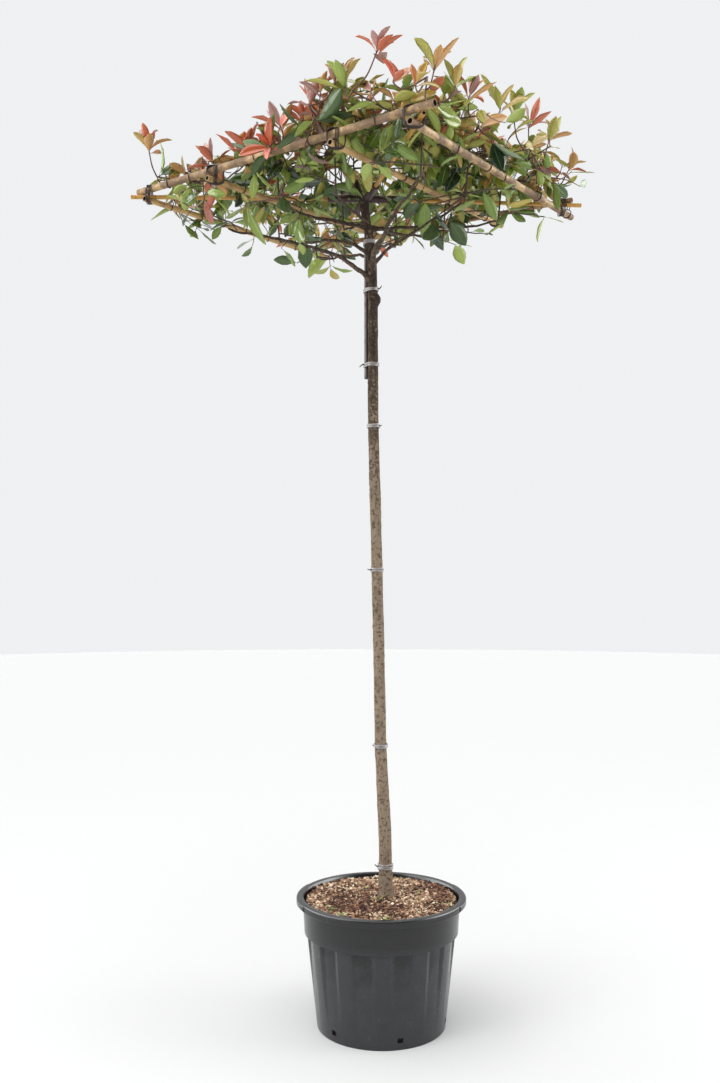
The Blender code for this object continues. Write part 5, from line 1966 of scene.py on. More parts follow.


# Each underside colour holds painted light shining through the leaf as well as its own paler tone.
SKINS = {
    ROSE: LeafSkin(((0.50, 0.19, 0.14), (0.54, 0.25, 0.21), (0.45, 0.21, 0.11)),
                   (0.54, 0.31, 0.28), (0.52, 0.27, 0.22), 0.34),
    RED: LeafSkin(((0.60, 0.085, 0.030), (0.64, 0.130, 0.055), (0.50, 0.100, 0.030)),
                  (0.62, 0.190, 0.105), (0.60, 0.165, 0.095), 0.28),
    COPPER: LeafSkin(((0.60, 0.25, 0.060), (0.64, 0.25, 0.085), (0.54, 0.27, 0.055)),
                     (0.64, 0.36, 0.140), (0.62, 0.32, 0.14), 0.28),
    BRONZE: LeafSkin(((0.50, 0.29, 0.045), (0.56, 0.27, 0.055), (0.43, 0.30, 0.040)),
                     (0.57, 0.41, 0.120), (0.58, 0.38, 0.14), 0.26),
    OLIVE: LeafSkin(((0.37, 0.33, 0.038), (0.45, 0.35, 0.045), (0.32, 0.35, 0.038)),
                    (0.48, 0.47, 0.115), (0.52, 0.48, 0.15), 0.25),
    LIME: LeafSkin(((0.215, 0.310, 0.034), (0.265, 0.345, 0.046), (0.175, 0.270, 0.030)),
                   (0.330, 0.420, 0.090), (0.42, 0.50, 0.15), 0.24),
    GREEN: LeafSkin(((0.066, 0.138, 0.022), (0.092, 0.180, 0.030), (0.050, 0.110, 0.020)),
                    (0.200, 0.290, 0.066), (0.28, 0.37, 0.11), 0.20),
    DARK: LeafSkin(((0.016, 0.040, 0.013), (0.023, 0.055, 0.018), (0.013, 0.033, 0.014)),
                   (0.070, 0.118, 0.038), (0.10, 0.15, 0.05), 0.16),
    FADED: LeafSkin(((0.17, 0.105, 0.075), (0.12, 0.075, 0.050), (0.22, 0.140, 0.100)),
                    (0.20, 0.140, 0.100), (0.18, 0.12, 0.08), 0.75),
}


@dataclass
class Leaf:
    """One leaf: where it leaves its twig, how it points and lies, its size, tone and set."""

    root: Vector
    way: Vector
    face: Vector
    length: float
    width: float
    tone: Tone
    tint: int = 0
    curl: float = 0.5
    fold: float = 0.25
    twist: float = 0.0
    wave: float = 0.0

    def spine(self, share: float) -> Vector:
        """The point at a share of the midrib, with its curl."""
        bend = self.curl * share / 2
        return self.root + (self.way * math.cos(bend) - self.face * math.sin(bend)) * self.length * share


class Blades:
    """Turns leaves into solid blades: folded, curled, wavy, with a groove above and a rib below."""

    stations = 8
    across = np.array([-1.0, -0.5, -0.05, 0.05, 0.5, 1.0])
    outline_lean = 1.08
    outline_power = 0.80
    least_width = 0.02
    thickness = 0.007
    rib_depth = 0.012
    groove = 0.003
    wave_height = 0.020
    under_slot, rib_slot = 3, 4

    def __init__(self) -> None:
        """Lay out the faces of one blade and their slots. None stands for the leaf's own tint."""
        self.share = (1.0 - np.cos(math.pi * np.arange(self.stations) / (self.stations - 1))) / 2
        self.half = np.maximum(
            np.sin(math.pi * self.share ** self.outline_lean).clip(0) ** self.outline_power, self.least_width
        )
        columns, inner = len(self.across), len(self.across) - 2
        upper = np.arange(self.stations * columns).reshape(self.stations, columns)
        lower = upper.copy()
        lower[:, 1:-1] = upper.size + np.arange(self.stations * inner).reshape(self.stations, inner)
        self.faces: list[list[int]] = []
        self.kinds: list[int | None] = []
        for row in range(self.stations - 1):
            for column in range(columns - 1):
                middle = column == columns // 2 - 1
                ahead, beside = row + 1, column + 1
                self.faces += [
                    [upper[row, column], upper[ahead, column], upper[ahead, beside], upper[row, beside]],
                    [lower[row, column], lower[row, beside], lower[ahead, beside], lower[ahead, column]],
                ]
                self.kinds += [self.rib_slot, self.rib_slot] if middle else [None, self.under_slot]
        for row, step in ((0, 1), (-1, -1)):
            self.faces.append([*upper[row], *lower[row, -2:0:-1]][::step])
            self.kinds.append(self.under_slot)
        self.faces = [[int(corner) for corner in face] for face in self.faces]
        spread = [np.column_stack([np.full(columns, share), (self.across + 1) / 2]) for share in self.share]
        self.spread = np.vstack(spread + [rows[1:-1] for rows in spread])

    def points(self, leaf: Leaf) -> Rows:
        """The points of one blade.

        Args:
            leaf: The leaf.

        Returns:
            Rows of the upper points, then the lower ones inside the rim.
        """
        way, face = np.array(leaf.way), np.array(leaf.face)
        side = np.cross(way, face)
        bend = (leaf.curl * self.share)[:, None]
        along = way * np.cos(bend) - face * np.sin(bend)
        normal = face * np.cos(bend) + way * np.sin(bend)
        steps = np.diff(self.share)[:, None] * leaf.length * (along[:-1] + along[1:]) / 2
        spine = np.array(leaf.root) + np.vstack([np.zeros(3), np.cumsum(steps, axis=0)])
        turn = (leaf.twist * self.share)[:, None]
        beside = side * np.cos(turn) + normal * np.sin(turn)
        normal = normal * np.cos(turn) - side * np.sin(turn)
        half = self.half[:, None]
        reach = self.across[None, :] * (half * leaf.width / 2)
        lift = np.abs(reach) * math.sin(leaf.fold)
        ripple = np.sin(self.share[:, None] * 11.0 + leaf.wave + np.sign(self.across)[None, :] * 1.3)
        lift += self.wave_height * leaf.length * ripple * self.across[None, :] ** 2 * half
        grooved = np.abs(self.across) < 0.1
        lift -= np.where(grooved, self.groove * leaf.length, 0.0)[None, :] * half
        upper = spine[:, None, :] + beside[:, None, :] * (reach * math.cos(leaf.fold))[..., None]
        upper = upper + normal[:, None, :] * lift[..., None]
        depth = np.where(grooved, self.rib_depth, self.thickness)[None, 1:-1] * leaf.length
        lower = upper[:, 1:-1] - normal[:, None, :] * (depth * (0.25 + 0.75 * half))[..., None]
        return np.vstack([upper.reshape(-1, 3), lower.reshape(-1, 3)])

    def add(self, shell: Shell, leaf: Leaf) -> None:
        """Add one blade to a shell."""
        slots = [leaf.tint if kind is None else kind for kind in self.kinds]
        shell.add(self.points(leaf), self.faces, slots, spread=self.spread)


# The crown

class Obstacles:
    """Stiff pieces as capsules, which twigs and leaves keep clear of."""

    def __init__(self) -> None:
        """Start with none."""
        self.rows: list[tuple[float, ...]] = []
        self.table = np.zeros((0, 8))

    def bar(self, start: Sequence[float], end: Sequence[float], first: float, last: float) -> None:
        """Add one capsule from its two ends and their radii."""
        self.rows.append((*start, *end, first, last))

    def along(self, points: Sequence[Vector], radii: Sequence[float]) -> None:
        """Add capsules along a tapering path."""
        for bar in zip(points, points[1:], radii, radii[1:]):
            self.bar(*bar)

    def clear(self, points: Rows, radii: Rows, margin: float) -> bool:
        """Whether balls stay clear of every capsule.

        Args:
            points: Rows of their centres.
            radii: Their radii.
            margin: The room to keep besides.

        Returns:
            Whether all of them do.
        """
        if len(self.table) != len(self.rows):
            self.table = np.array(self.rows)
        start, span = self.table[:, :3], self.table[:, 3:6] - self.table[:, :3]
        offset = points[:, None, :] - start[None]
        share = np.clip((offset * span).sum(axis=2) / np.maximum((span * span).sum(axis=1), 1e-12), 0.0, 1.0)
        away = np.linalg.norm(offset - span[None] * share[..., None], axis=2)
        thick = self.table[:, 6] + (self.table[:, 7] - self.table[:, 6]) * share
        return bool(np.all(away > thick + radii[:, None] + margin))


@dataclass
class Twig:
    """A tapering twig: its points, its end radii and whether it is this year's growth."""

    points: list[Vector]
    radii: Span
    young: bool = False
    main: bool = False

    def at(self, share: float) -> Vector:
        """The point at a share of its length, counted evenly over its points.

        Args:
            share: From 0 at its foot to 1 at its tip.

        Returns:
            The point.
        """
        spans = len(self.points) - 1
        first = min(int(share * spans), spans - 1)
        return self.points[first].lerp(self.points[first + 1], share * spans - first)

    def length(self) -> float:
        """Its length along its points."""
        return sum((after - point).length for point, after in zip(self.points, self.points[1:]))

    def heading(self) -> Vector:
        """The way from its foot to its tip."""
        return (self.points[-1] - self.points[0]).normalized()

    def end_way(self) -> Vector:
        """The way of its last piece."""
        return (self.points[-1] - self.points[-2]).normalized()

    def cut_back(self, feet: Rows, touch: float) -> bool:
        """Cut it back to the last thing that grows on it.

        Args:
            feet: Rows of the places where leaves and finer twigs start.
            touch: How close those on this twig lie.

        Returns:
            Whether anything grows on it.
        """
        rows, last = vector_rows(self.points), -1.0
        for number, (start, end) in enumerate(zip(rows, rows[1:])):
            span = end - start
            share = np.clip((feet - start) @ span / (span @ span), 0.0, 1.0)
            near = np.linalg.norm(feet - start - share[:, None] * span, axis=1) < touch
            if near.any():
                last = max(last, number + float(share[near].max()))
        if last < 0.3:
            return False
        tip, kept = self.at(last / (len(rows) - 1)), self.points[:int(last) + 1]
        if (tip - kept[-1]).length > 0.002 or len(kept) < 2:
            kept.append(tip)
        self.points = kept
        return True


@dataclass(frozen=True)
class Shoot:
    """A shoot that the crown's outline shows: its place in the frame's plan, its tip and its lean."""

    place: Place
    height: float
    tone: Tone
    leaves: int
    lean: tuple[float, float, float] = (0.0, 0.0, 1.0)


SHOOTS = (
    Shoot((-0.573, -0.440), 2.862, COPPER, 11, (-0.1, 0.0, 1.0)),
    Shoot((-0.515, -0.440), 2.742, GREEN, 3, (0.6, 0.0, 0.6)),
    Shoot((-0.440, -0.400), 2.748, COPPER, 6, (-0.6, 0.0, 0.8)),
    Shoot((-0.299, -0.420), 2.752, RED, 7, (-0.6, 0.0, 1.0)),
    Shoot((-0.235, -0.360), 2.768, RED, 7, (-0.2, 0.0, 1.0)),
    Shoot((-0.160, -0.400), 2.760, RED, 6, (-0.3, 0.0, 1.0)),
    Shoot((-0.085, -0.330), 2.778, COPPER, 7, (0.2, 0.0, 1.0)),
    Shoot((-0.020, -0.410), 2.790, RED, 6, (-0.4, 0.0, 1.0)),
    Shoot((0.040, -0.380), 2.812, RED, 7, (-0.2, 0.0, 1.0)),
    Shoot((0.110, -0.430), 2.835, RED, 7),
    Shoot((0.174, -0.460), 2.829, ROSE, 5),
    Shoot((0.228, -0.460), 2.853, COPPER, 6),
    Shoot((0.272, -0.470), 2.819, OLIVE, 6),
    Shoot((0.402, -0.495), 2.880, ROSE, 9, (0.1, 0.0, 1.0)),
    Shoot((0.451, -0.480), 2.787, COPPER, 6, (0.4, -0.7, 0.8)),
    Shoot((0.516, -0.470), 2.760, BRONZE, 6, (0.3, -0.9, 0.7)),
    Shoot((0.520, -0.388), 2.837, BRONZE, 7, (0.2, 0.0, 1.0)),
    Shoot((0.520, -0.286), 2.819, OLIVE, 6),
    Shoot((0.500, -0.172), 2.835, COPPER, 6, (0.3, 0.0, 1.0)),
    Shoot((0.500, 0.003), 2.861, BRONZE, 6),
    Shoot((0.500, 0.096), 2.873, OLIVE, 6, (0.3, 0.0, 1.0)),
    Shoot((0.500, 0.194), 2.868, ROSE, 6, (0.4, 0.0, 1.0)),
    Shoot((0.500, 0.331), 2.868, BRONZE, 6, (0.4, 0.0, 1.0)),
    Shoot((0.500, 0.480), 2.811, COPPER, 6, (0.8, 0.0, 0.8)),
    Shoot((0.480, 0.298), 2.758, ROSE, 6, (0.9, 0.0, 0.6)),
    Shoot((0.332, -0.163), 2.600, DARK, 1, (-0.3, 0.0, -1.0)),
    Shoot((0.384, -0.061), 2.700, DARK, 2, (1.0, 0.0, -0.2)),
    Shoot((-0.071, -0.342), 2.615, DARK, 1, (0.1, 0.0, -1.0)),
    Shoot((-0.167, -0.101), 2.575, DARK, 1, (0.0, 0.0, -1.0)),
    Shoot((0.141, -0.495), 2.712, DARK, 2, (-1.0, 0.0, -0.1)),
    Shoot((-0.080, -0.430), 2.720, DARK, 2, (-1.0, 0.0, 0.2)),
    Shoot((0.175, -0.469), 2.739, DARK, 3, (0.9, 0.0, 0.4)),
    Shoot((0.276, -0.017), 2.590, DARK, 1, (0.0, 0.0, -1.0)),
    Shoot((0.265, 0.099), 2.622, DARK, 2, (-0.2, 0.0, -1.0)),
    Shoot((0.540, -0.400), 2.715, LIME, 3, (1.0, 0.0, -0.1)),
    Shoot((0.140, -0.485), 2.668, FADED, 1, (0.0, -0.1, -1.0)),
    Shoot((0.110, -0.495), 2.685, DARK, 2, (-1.0, 0.0, -0.2)),
    Shoot((0.000, -0.490), 2.690, GREEN, 3, (-0.8, 0.0, 0.4)),
    Shoot((-0.200, -0.490), 2.700, DARK, 2, (-0.8, 0.0, -0.4)),
    Shoot((0.485, -0.300), 2.730, LIME, 3, (1.0, 0.0, -0.3)),
    Shoot((0.530, -0.100), 2.715, DARK, 2, (0.4, 0.0, -1.0)),
    Shoot((0.530, 0.180), 2.715, LIME, 3, (0.5, 0.0, -1.0)),
    Shoot((0.530, 0.300), 2.705, GREEN, 3, (0.6, 0.0, -0.8)),
    Shoot((0.246, 0.023), 2.560, DARK, 2, (0.0, 0.0, -1.0)),
    Shoot((-0.032, -0.312), 2.540, LIME, 3, (-0.3, 0.0, -1.0)),
    Shoot((-0.230, -0.336), 2.610, LIME, 3, (-0.2, 0.0, -1.0)),
    Shoot((-0.175, 0.060), 2.590, LIME, 2, (0.1, 0.0, -1.0)),
    Shoot((-0.124, -0.194), 2.610, LIME, 5, (-0.3, 0.0, -1.0)),
    Shoot((0.010, -0.490), 2.700, RED, 5, (-0.3, -0.8, 0.2)),
    Shoot((-0.322, -0.430), 2.630, ROSE, 2, (0.1, 0.0, -1.0)),
    Shoot((-0.072, -0.467), 2.650, LIME, 2, (0.1, 0.0, -1.0)),
    Shoot((-0.580, 0.470), 2.770, OLIVE, 7, (0.0, 1.0, 0.7)),
    Shoot((-0.250, 0.480), 2.800, COPPER, 7, (0.0, 0.6, 1.0)),
    Shoot((0.110, 0.490), 2.830, BRONZE, 7, (0.2, 0.6, 1.0)),
    Shoot((-0.530, -0.262), 2.785, COPPER, 8, (-0.3, 0.0, 1.0)),
)


@dataclass
class Crown:
    """Everything that grows on from the boughs: stems, laterals, shoots, spurs and leaves."""

    plan: FramePlan
    trunk: Trunk
    boughs: Boughs
    steel: SteelFrame
    canes: CaneFrame
    blades: Blades
    reach: tuple[Place, Place] = ((-0.640, 0.660), (-0.560, 0.530))
    lowest: float = 2.440
    cell_margin: float = 0.0008
    hub_height: float = 2.728
    stem_radii: Span = (0.0033, 0.0022)
    stem_above_hub: float = 0.018
    stem_set_off: float = 0.016
    stem_leader: float = 0.055
    source_whorl: int = 5
    upper_laterals: int = 6
    upper_rise: float = 0.008
    lateral_slope: float = math.radians(6.0)
    lateral_length: float = 0.300
    lateral_radii: Span = (0.0031, 0.0019)
    lateral_lift: float = 0.06
    lateral_edge: float = 0.006
    lower_laterals: int = 2
    lower_height: float = 2.628
    lower_length: float = 0.150
    lower_turn: float = 2.0
    lower_radii: Span = (0.0026, 0.0018)
    shoot_gap: float = 0.036
    shoot_first: float = 0.045
    shoot_last: float = 0.985
    shoot_radii: Span = (0.0019, 0.0014)
    shoot_height: Span = (0.035, 0.080)
    low_side: float = -0.50
    high_side: float = 0.05
    side_first: float = 0.035
    side_gap: float = 0.046
    side_length: Span = (0.050, 0.110)
    side_radii: Span = (0.0017, 0.0012)
    spur_first: float = 0.03
    spur_gap: float = 0.075
    spur_length: Span = (0.018, 0.050)
    spur_radii: Span = (0.0015, 0.0011)
    bough_spur_gap: float = 0.100
    riser_gap: float = 0.150
    riser_radii: Span = (0.0022, 0.0014)
    opening: float = math.radians(42.0)
    opening_spread: float = 0.30
    young_leaf: tuple[Span, ...] = ((0.052, 0.094), (0.39, 0.51), (0.12, 0.60), (0.0, 1.0))
    older_leaf: tuple[Span, ...] = ((0.058, 0.098), (0.38, 0.52), (0.05, 0.36), (-0.1, 0.8))
    dark_leaf: tuple[Span, ...] = ((0.070, 0.108), (0.46, 0.58))
    large_length: Span = (0.105, 0.128)
    large_share: float = 0.05
    petiole: Span = (0.004, 0.009)
    petiole_radius: float = 0.0008
    leaf_room: float = 0.0145
    left_top: float = 2.825
    right_top: float = 2.900
    corner_dip: float = 0.100
    corner: Place = (0.520, -0.470)
    corner_span: float = 0.200
    skyline: tuple[Place, ...] = (
        (-0.750, 2.739), (-0.572, 2.820), (-0.442, 2.859), (-0.344, 2.950), (-0.231, 3.008), (-0.133, 3.073),
        (0.127, 3.086), (0.289, 3.047), (0.451, 2.989), (0.581, 2.852), (0.711, 2.722),
    )
    openings: tuple[tuple[float, float, float], ...] = (
        (-0.150, 2.735, 0.036), (-0.188, 2.823, 0.028), (-0.090, 2.795, 0.030), (0.045, 2.765, 0.018),
        (0.312, 2.823, 0.018), (0.318, 2.924, 0.014), (-0.235, 2.700, 0.020),
    )
    low_edge: float = 2.595
    low_share: float = 0.25
    gap_size: float = 0.085
    gap_level: float = -0.10
    limb_margin: float = 0.0006
    touch: float = 0.0045
    named_reach: float = 0.170
    named_radii: Span = (0.0026, 0.0015)
    hanging_reach: float = 0.135
    half_frame: Place = (0.500, 0.440)
    fine_radii: Span = (0.0018, 0.0012)
    fill_count: int = 580
    fill_height: Span = (2.630, 2.900)
    fill_reach: Span = (0.028, 0.150)
    top_layer: float = 0.100
    overhang: float = 0.30
    step: float = 0.012
    least_length: float = 0.05
    box_room: float = 0.002
    leaf_margin: float = 0.001
    cane_spare: float = 0.0012
    lashing_half: float = 0.018
    lashing_radius: float = 0.020

    def __post_init__(self) -> None:
        """Gather the stiff pieces, and start with no twigs or leaves."""
        self.chance = Chance()
        self.twigs: list[Twig] = []
        self.leaves: list[Leaf] = []
        self.phases: dict[str, float] = {}
        self.laterals: dict[str, list[Twig]] = {}
        self.petioles: list[tuple[Vector, Vector, bool]] = []
        self.middles = np.zeros((0, 3))
        self.stiff = Obstacles()
        self.stiff.along([Vector((x, y, z)) for z, x, y, _ in self.trunk.stations],
                         [diameter / 2 for *_, diameter in self.trunk.stations])
        for mass in self.boughs.limbs:
            self.stiff.along(*self.boughs.path(mass, 9))
        hub = self.plan.point((0.0, 0.0), self.plan.height)
        post, radius = (*self.steel.post_place, self.steel.post_foot), self.steel.post_radius
        bars = [(*self.canes.ends(cane), cane.radius + self.cane_spare) for cane in self.canes.everything()]
        bars += [(hub, hub + self.canes.way_out(cane) * self.steel.arm, self.steel.tube_radius)
                 for cane in self.canes.diagonals]
        bars.append((post, (*self.steel.post_place, self.plan.height), radius))
        bars += [(self.plan.point(lashing.place, self.plan.height - self.lashing_half),
                  self.plan.point(lashing.place, self.plan.height + self.lashing_half), self.lashing_radius)
                 for lashing in self.canes.lashings]
        for start, end, radius in bars:
            self.stiff.bar(start, end, radius, radius)

    def in_reach(self, point: Sequence[float], spare: float = 0.0) -> bool:
        """Whether a point lies inside the crown's reach.

        Args:
            point: The point.
            spare: How far inside it has to lie.

        Returns:
            Whether it does.
        """
        s, t = self.plan.place(point)
        (left, right), (front, back) = self.reach
        level = left + spare < s < right - spare and front + spare < t < back - spare
        low, high = SOLID_BOX
        boxed = all(low[axis] + self.box_room < point[axis] < high[axis] - self.box_room for axis in range(3))
        return level and boxed and point[2] > self.lowest + spare

    def own_space(self, mass: str, point: Vector, spare: float) -> bool:
        """Whether a point lies in a mass's own cell and inside the crown's reach.

        Args:
            mass: The mass.
            point: The point.
            spare: How far inside it has to lie.

        Returns:
            Whether it does.
        """
        s, t = self.plan.place(point)
        own_s, own_t = self.boughs.masses[mass]
        for other, (other_s, other_t) in self.boughs.masses.items():
            if other != mass:
                gap_s, gap_t = other_s - own_s, other_t - own_t
                offset_s, offset_t = s - (own_s + other_s) / 2, t - (own_t + other_t) / 2
                beyond = (offset_s * gap_s + offset_t * gap_t) / math.hypot(gap_s, gap_t)
                if beyond > -(self.cell_margin + spare):
                    return False
        return self.in_reach(point, spare)

    def keep_twig(self, twig: Twig, margin: float | None = None) -> bool:
        """Keep a twig if it stays in reach and clear of the stiff pieces.

        Args:
            twig: The twig.
            margin: The room to keep, or none for the usual and the ceiling.

        Returns:
            Whether it was kept.
        """
        count = max(3, round(twig.length() / self.step))
        points = [twig.at(number / count) for number in range(count + 1)]
        if margin is None and any(point.z > self.ceiling(point) for point in points):
            return False
        room = self.limb_margin if margin is None else margin
        clear = self.stiff.clear(vector_rows(points), np.linspace(*twig.radii, count + 1), room)
        kept = clear and all(self.in_reach(point) for point in points)
        if kept:
            self.twigs.append(twig)
        return kept

    def seen_at(self, point: Sequence[float]) -> tuple[float, float, float]:
        """Where the photo's eye sees a point, moved to the trunk's depth.

        Args:
            point: The point.

        Returns:
            Its place along X, its height and how much nearer than the trunk it lies.
        """
        nearer = -EYE.y / (point[1] - EYE.y)
        x = EYE.x + (point[0] - EYE.x) * nearer
        return x, EYE.z + (point[2] - EYE.z) * nearer, nearer

    def ceiling(self, point: Sequence[float]) -> float:
        """How high leaves may reach: low over the left, high over the right, with a dip at the front.

        Nearer the front the skyline, which is given at the trunk's depth, holds them lower.

        Args:
            point: A place.

        Returns:
            The height above it.
        """
        s, t = self.plan.place(point)
        across = min(max((s + 0.25) / 0.35, 0.0), 1.0)
        away = ((s - self.corner[0]) ** 2 + (t - self.corner[1]) ** 2) / self.corner_span ** 2
        top = self.left_top + (self.right_top - self.left_top) * across - self.corner_dip * math.exp(-away)
        x, _, nearer = self.seen_at(point)
        line = np.interp(x, *zip(*self.skyline))
        return min(top, EYE.z + (float(line) - EYE.z) / nearer)

    def shows_sky(self, point: Sequence[float]) -> bool:
        """Whether a point hides one of the openings, which are discs at the trunk's depth."""
        x, z, _ = self.seen_at(point)
        return any(math.hypot(x - across, z - height) < radius for across, height, radius in self.openings)

    def is_open(self, point: Sequence[float]) -> bool:
        """Whether a point lies in one of the crown's gaps, which are larger to the left."""
        lumps = noise.noise(Vector(tuple(part / self.gap_size for part in point)))
        return lumps < self.gap_level - 0.25 * (self.density(point) - 1.0)

    def unwanted(self, leaf: Leaf, rows: Rows, edges: Rows) -> bool:
        """Whether a leaf that isn't named passes the ceiling, fills a gap or hangs where few do.

        Args:
            leaf: The leaf.
            rows: Places along its midrib.
            edges: Places along its edges.

        Returns:
            Whether it is left out.
        """
        if edges[:, 2].max() > self.ceiling(rows[1]) or self.is_open(rows[1]):
            return True
        if any(self.shows_sky(row) for row in rows):
            return True
        if edges[:, 2].min() < self.low_edge and abs(math.sin(leaf.wave * 97.0)) > self.low_share:
            return True
        s, t = self.plan.place(rows[1])
        past_canes = t < -self.half_frame[1] or s > self.half_frame[0]
        return past_canes and abs(math.sin(leaf.wave * 53.0)) > self.overhang

    def keep_leaf(self, leaf: Leaf, young: bool, named: bool = False) -> None:
        """Set a leaf off its twig by its stalk, and keep it if it fits.

        Args:
            leaf: The leaf, rooted on its twig.
            young: Whether its stalk is this year's.
            named: Whether it is on a named shoot, which may pass the ceiling.
        """
        foot = leaf.root
        leaf.root = foot + leaf.way * min(max(leaf.length * 0.08, self.petiole[0]), self.petiole[1])
        marks = ((0.3, 0.7), (0.55, 1.0), (0.8, 0.6), (1.0, 0.05))
        rows = vector_rows(leaf.spine(share) for share, _ in marks)
        widths = np.array([wide * leaf.width / 2 for _, wide in marks])
        side = np.array(leaf.way.cross(leaf.face))
        edges = np.vstack([rows + side * widths[:, None], rows - side * widths[:, None]])
        if not all(self.in_reach(row) for row in edges) or not named and self.unwanted(leaf, rows, edges):
            return
        if not self.stiff.clear(rows, widths * 0.75, self.leaf_margin):
            return
        if len(self.middles) and np.linalg.norm(self.middles - rows[1], axis=1).min() < self.leaf_room:
            return
        self.middles = np.vstack([self.middles, rows[1]])
        self.leaves.append(leaf)
        self.petioles.append((foot, leaf.root + leaf.way * 0.004, young))

    def leaf(self, root: Vector, way: Vector, face: Vector, tone: Tone) -> Leaf:
        """A leaf of a tone, with a size and set that suit its age.

        Args:
            root: Where it leaves its twig.
            way: The way it points.
            face: The way its upper side faces.
            tone: Its tone.

        Returns:
            The leaf.
        """
        chance, young = self.chance, tone in NEW_GROWTH
        lengths, widths, folds, curls = self.young_leaf if young else self.older_leaf
        length = chance.uniform(*lengths)
        if not young and chance.random() < self.large_share:
            length = chance.uniform(*self.large_length)
        width = length * chance.uniform(*widths) * (0.84 if tone in (RED, ROSE) else 1.0)
        way = way.normalized()
        face = (face - way * face.dot(way)).normalized()
        fold, curl = chance.uniform(*folds), chance.uniform(*curls)
        if tone is DARK:
            length = chance.uniform(*self.dark_leaf[0])
            width = length * chance.uniform(*self.dark_leaf[1])
        if tone is FADED:
            width, fold, curl = width * 0.6, 0.9, 1.0
        return Leaf(root, way, face, length, width, tone, chance.randrange(3), curl, fold,
                    chance.uniform(-0.5, 0.5), chance.uniform(0, FULL_TURN))

    def whorl(self, tip: Vector, axis: Vector, tone: Tone, count: int, opening: float | None = None,
              named: bool = False) -> None:
        """Leaves set round a shoot's tip at the golden angle, the outer ones opening wider.

        Args:
            tip: The shoot's tip.
            axis: The way it points.
            tone: The tone of the spray.
            count: How many leaves.
            opening: How far they open, or none for the usual.
            named: Whether it is a named shoot.
        """
        chance = self.chance
        phase, last = chance.uniform(0, FULL_TURN), max(count - 1, 1)
        for number in range(count):
            out = round_axis(axis, phase + number * GOLDEN_ANGLE)
            spread = (self.opening if opening is None else opening) * (0.62 + 0.75 * number / last)
            spread += chance.uniform(-self.opening_spread, self.opening_spread)
            way = axis * math.cos(spread) + out * math.sin(spread)
            face = axis * math.sin(spread) - out * math.cos(spread)
            root = tip - axis * (0.001 + 0.0035 * number)
            mixed = chance.choice(MIXED[tone]) if count > 3 else tone
            leaf = self.leaf(root, way, face, mixed)
            leaf.length *= (0.86 if named else 0.72) + 0.36 * number / last
            leaf.width *= 0.86 + 0.24 * number / last
            self.keep_leaf(leaf, True, named)

    def leaves_along(self, twig: Twig, shares: Sequence[float], tone: Tone, drop: float) -> None:
        """Single leaves along a twig at the golden angle, hanging more the older they are.

        Args:
            twig: The twig.
            shares: Where along it.
            tone: Their tone.
            drop: How much they hang.
        """
        chance, axis = self.chance, twig.heading()
        phase = chance.uniform(0, FULL_TURN)
        for number, share in enumerate(shares):
            out = round_axis(axis, phase + number * GOLDEN_ANGLE)
            level = Vector((out.x, out.y, out.z * 0.3))
            way = axis * 0.4 + level - UP * drop * chance.uniform(-0.3, 1.2)
            tilt = Vector((chance.uniform(-0.6, 0.6), chance.uniform(-0.6, 0.6), 0.0))
            face = UP + out * 0.6 * max(drop, 0.2) + tilt
            self.keep_leaf(self.leaf(twig.at(share), way, face, tone), twig.young)

    def hang(self, tip: Vector, way: Vector, count: int) -> None:
        """Older leaves that hang from a spur's tip.

        Args:
            tip: The spur's tip.
            way: The way it points.
            count: How many leaves.
        """
        chance, tone = self.chance, self.low_tone(tip)
        phase = chance.uniform(0, FULL_TURN)
        for number in range(count):
            level = level_way(phase + number * GOLDEN_ANGLE)
            down = chance.choice((-0.2, 0.0, 0.1, 0.3, 0.6, 1.4))
            lie = level + way * 0.5 - UP * down
            tilt = Vector((chance.uniform(-0.5, 0.5), chance.uniform(-0.5, 0.5), 0.0))
            self.keep_leaf(self.leaf(tip, lie, UP * 0.8 + level * down + tilt, tone), False)

    def tip_tone(self, point: Vector) -> Tone:
        """The tone of a spray at a shoot's tip: redder to the left, olive and bronze to the right.

        Args:
            point: The tip.

        Returns:
            The tone.
        """
        if point.z - self.plan.height < 0.045 and self.chance.random() < 0.75:
            return self.chance.choice((GREEN, LIME, LIME, OLIVE))
        if point.x < -0.45:
            choices = (COPPER, RED, ROSE, GREEN, OLIVE)
        elif point.x < -0.12:
            choices = (RED, RED, RED, COPPER, COPPER, GREEN, OLIVE)
        elif point.x < 0.12:
            choices = (COPPER, COPPER, RED, OLIVE, OLIVE, BRONZE, LIME)
        else:
            choices = (OLIVE, OLIVE, BRONZE, BRONZE, BRONZE, COPPER, COPPER, LIME, ROSE)
        return self.chance.choice(choices)

    def low_tone(self, point: Vector) -> Tone:
        """The tone of older leaves: lime among the canes, green and dark below them, with a few new ones.

        Args:
            point: Their place.

        Returns:
            The tone.
        """
        if point.z > self.plan.height + 0.03:
            return self.chance.choice((LIME, LIME, GREEN, OLIVE, BRONZE if point.x > 0.05 else GREEN))
        luck = self.chance.random()
        if luck < 0.02:
            return FADED
        if luck > 0.90 and point.z > self.plan.height - 0.03:
            return self.chance.choice((RED, COPPER, BRONZE))
        return self.chance.choice((GREEN, GREEN, DARK, LIME, LIME))

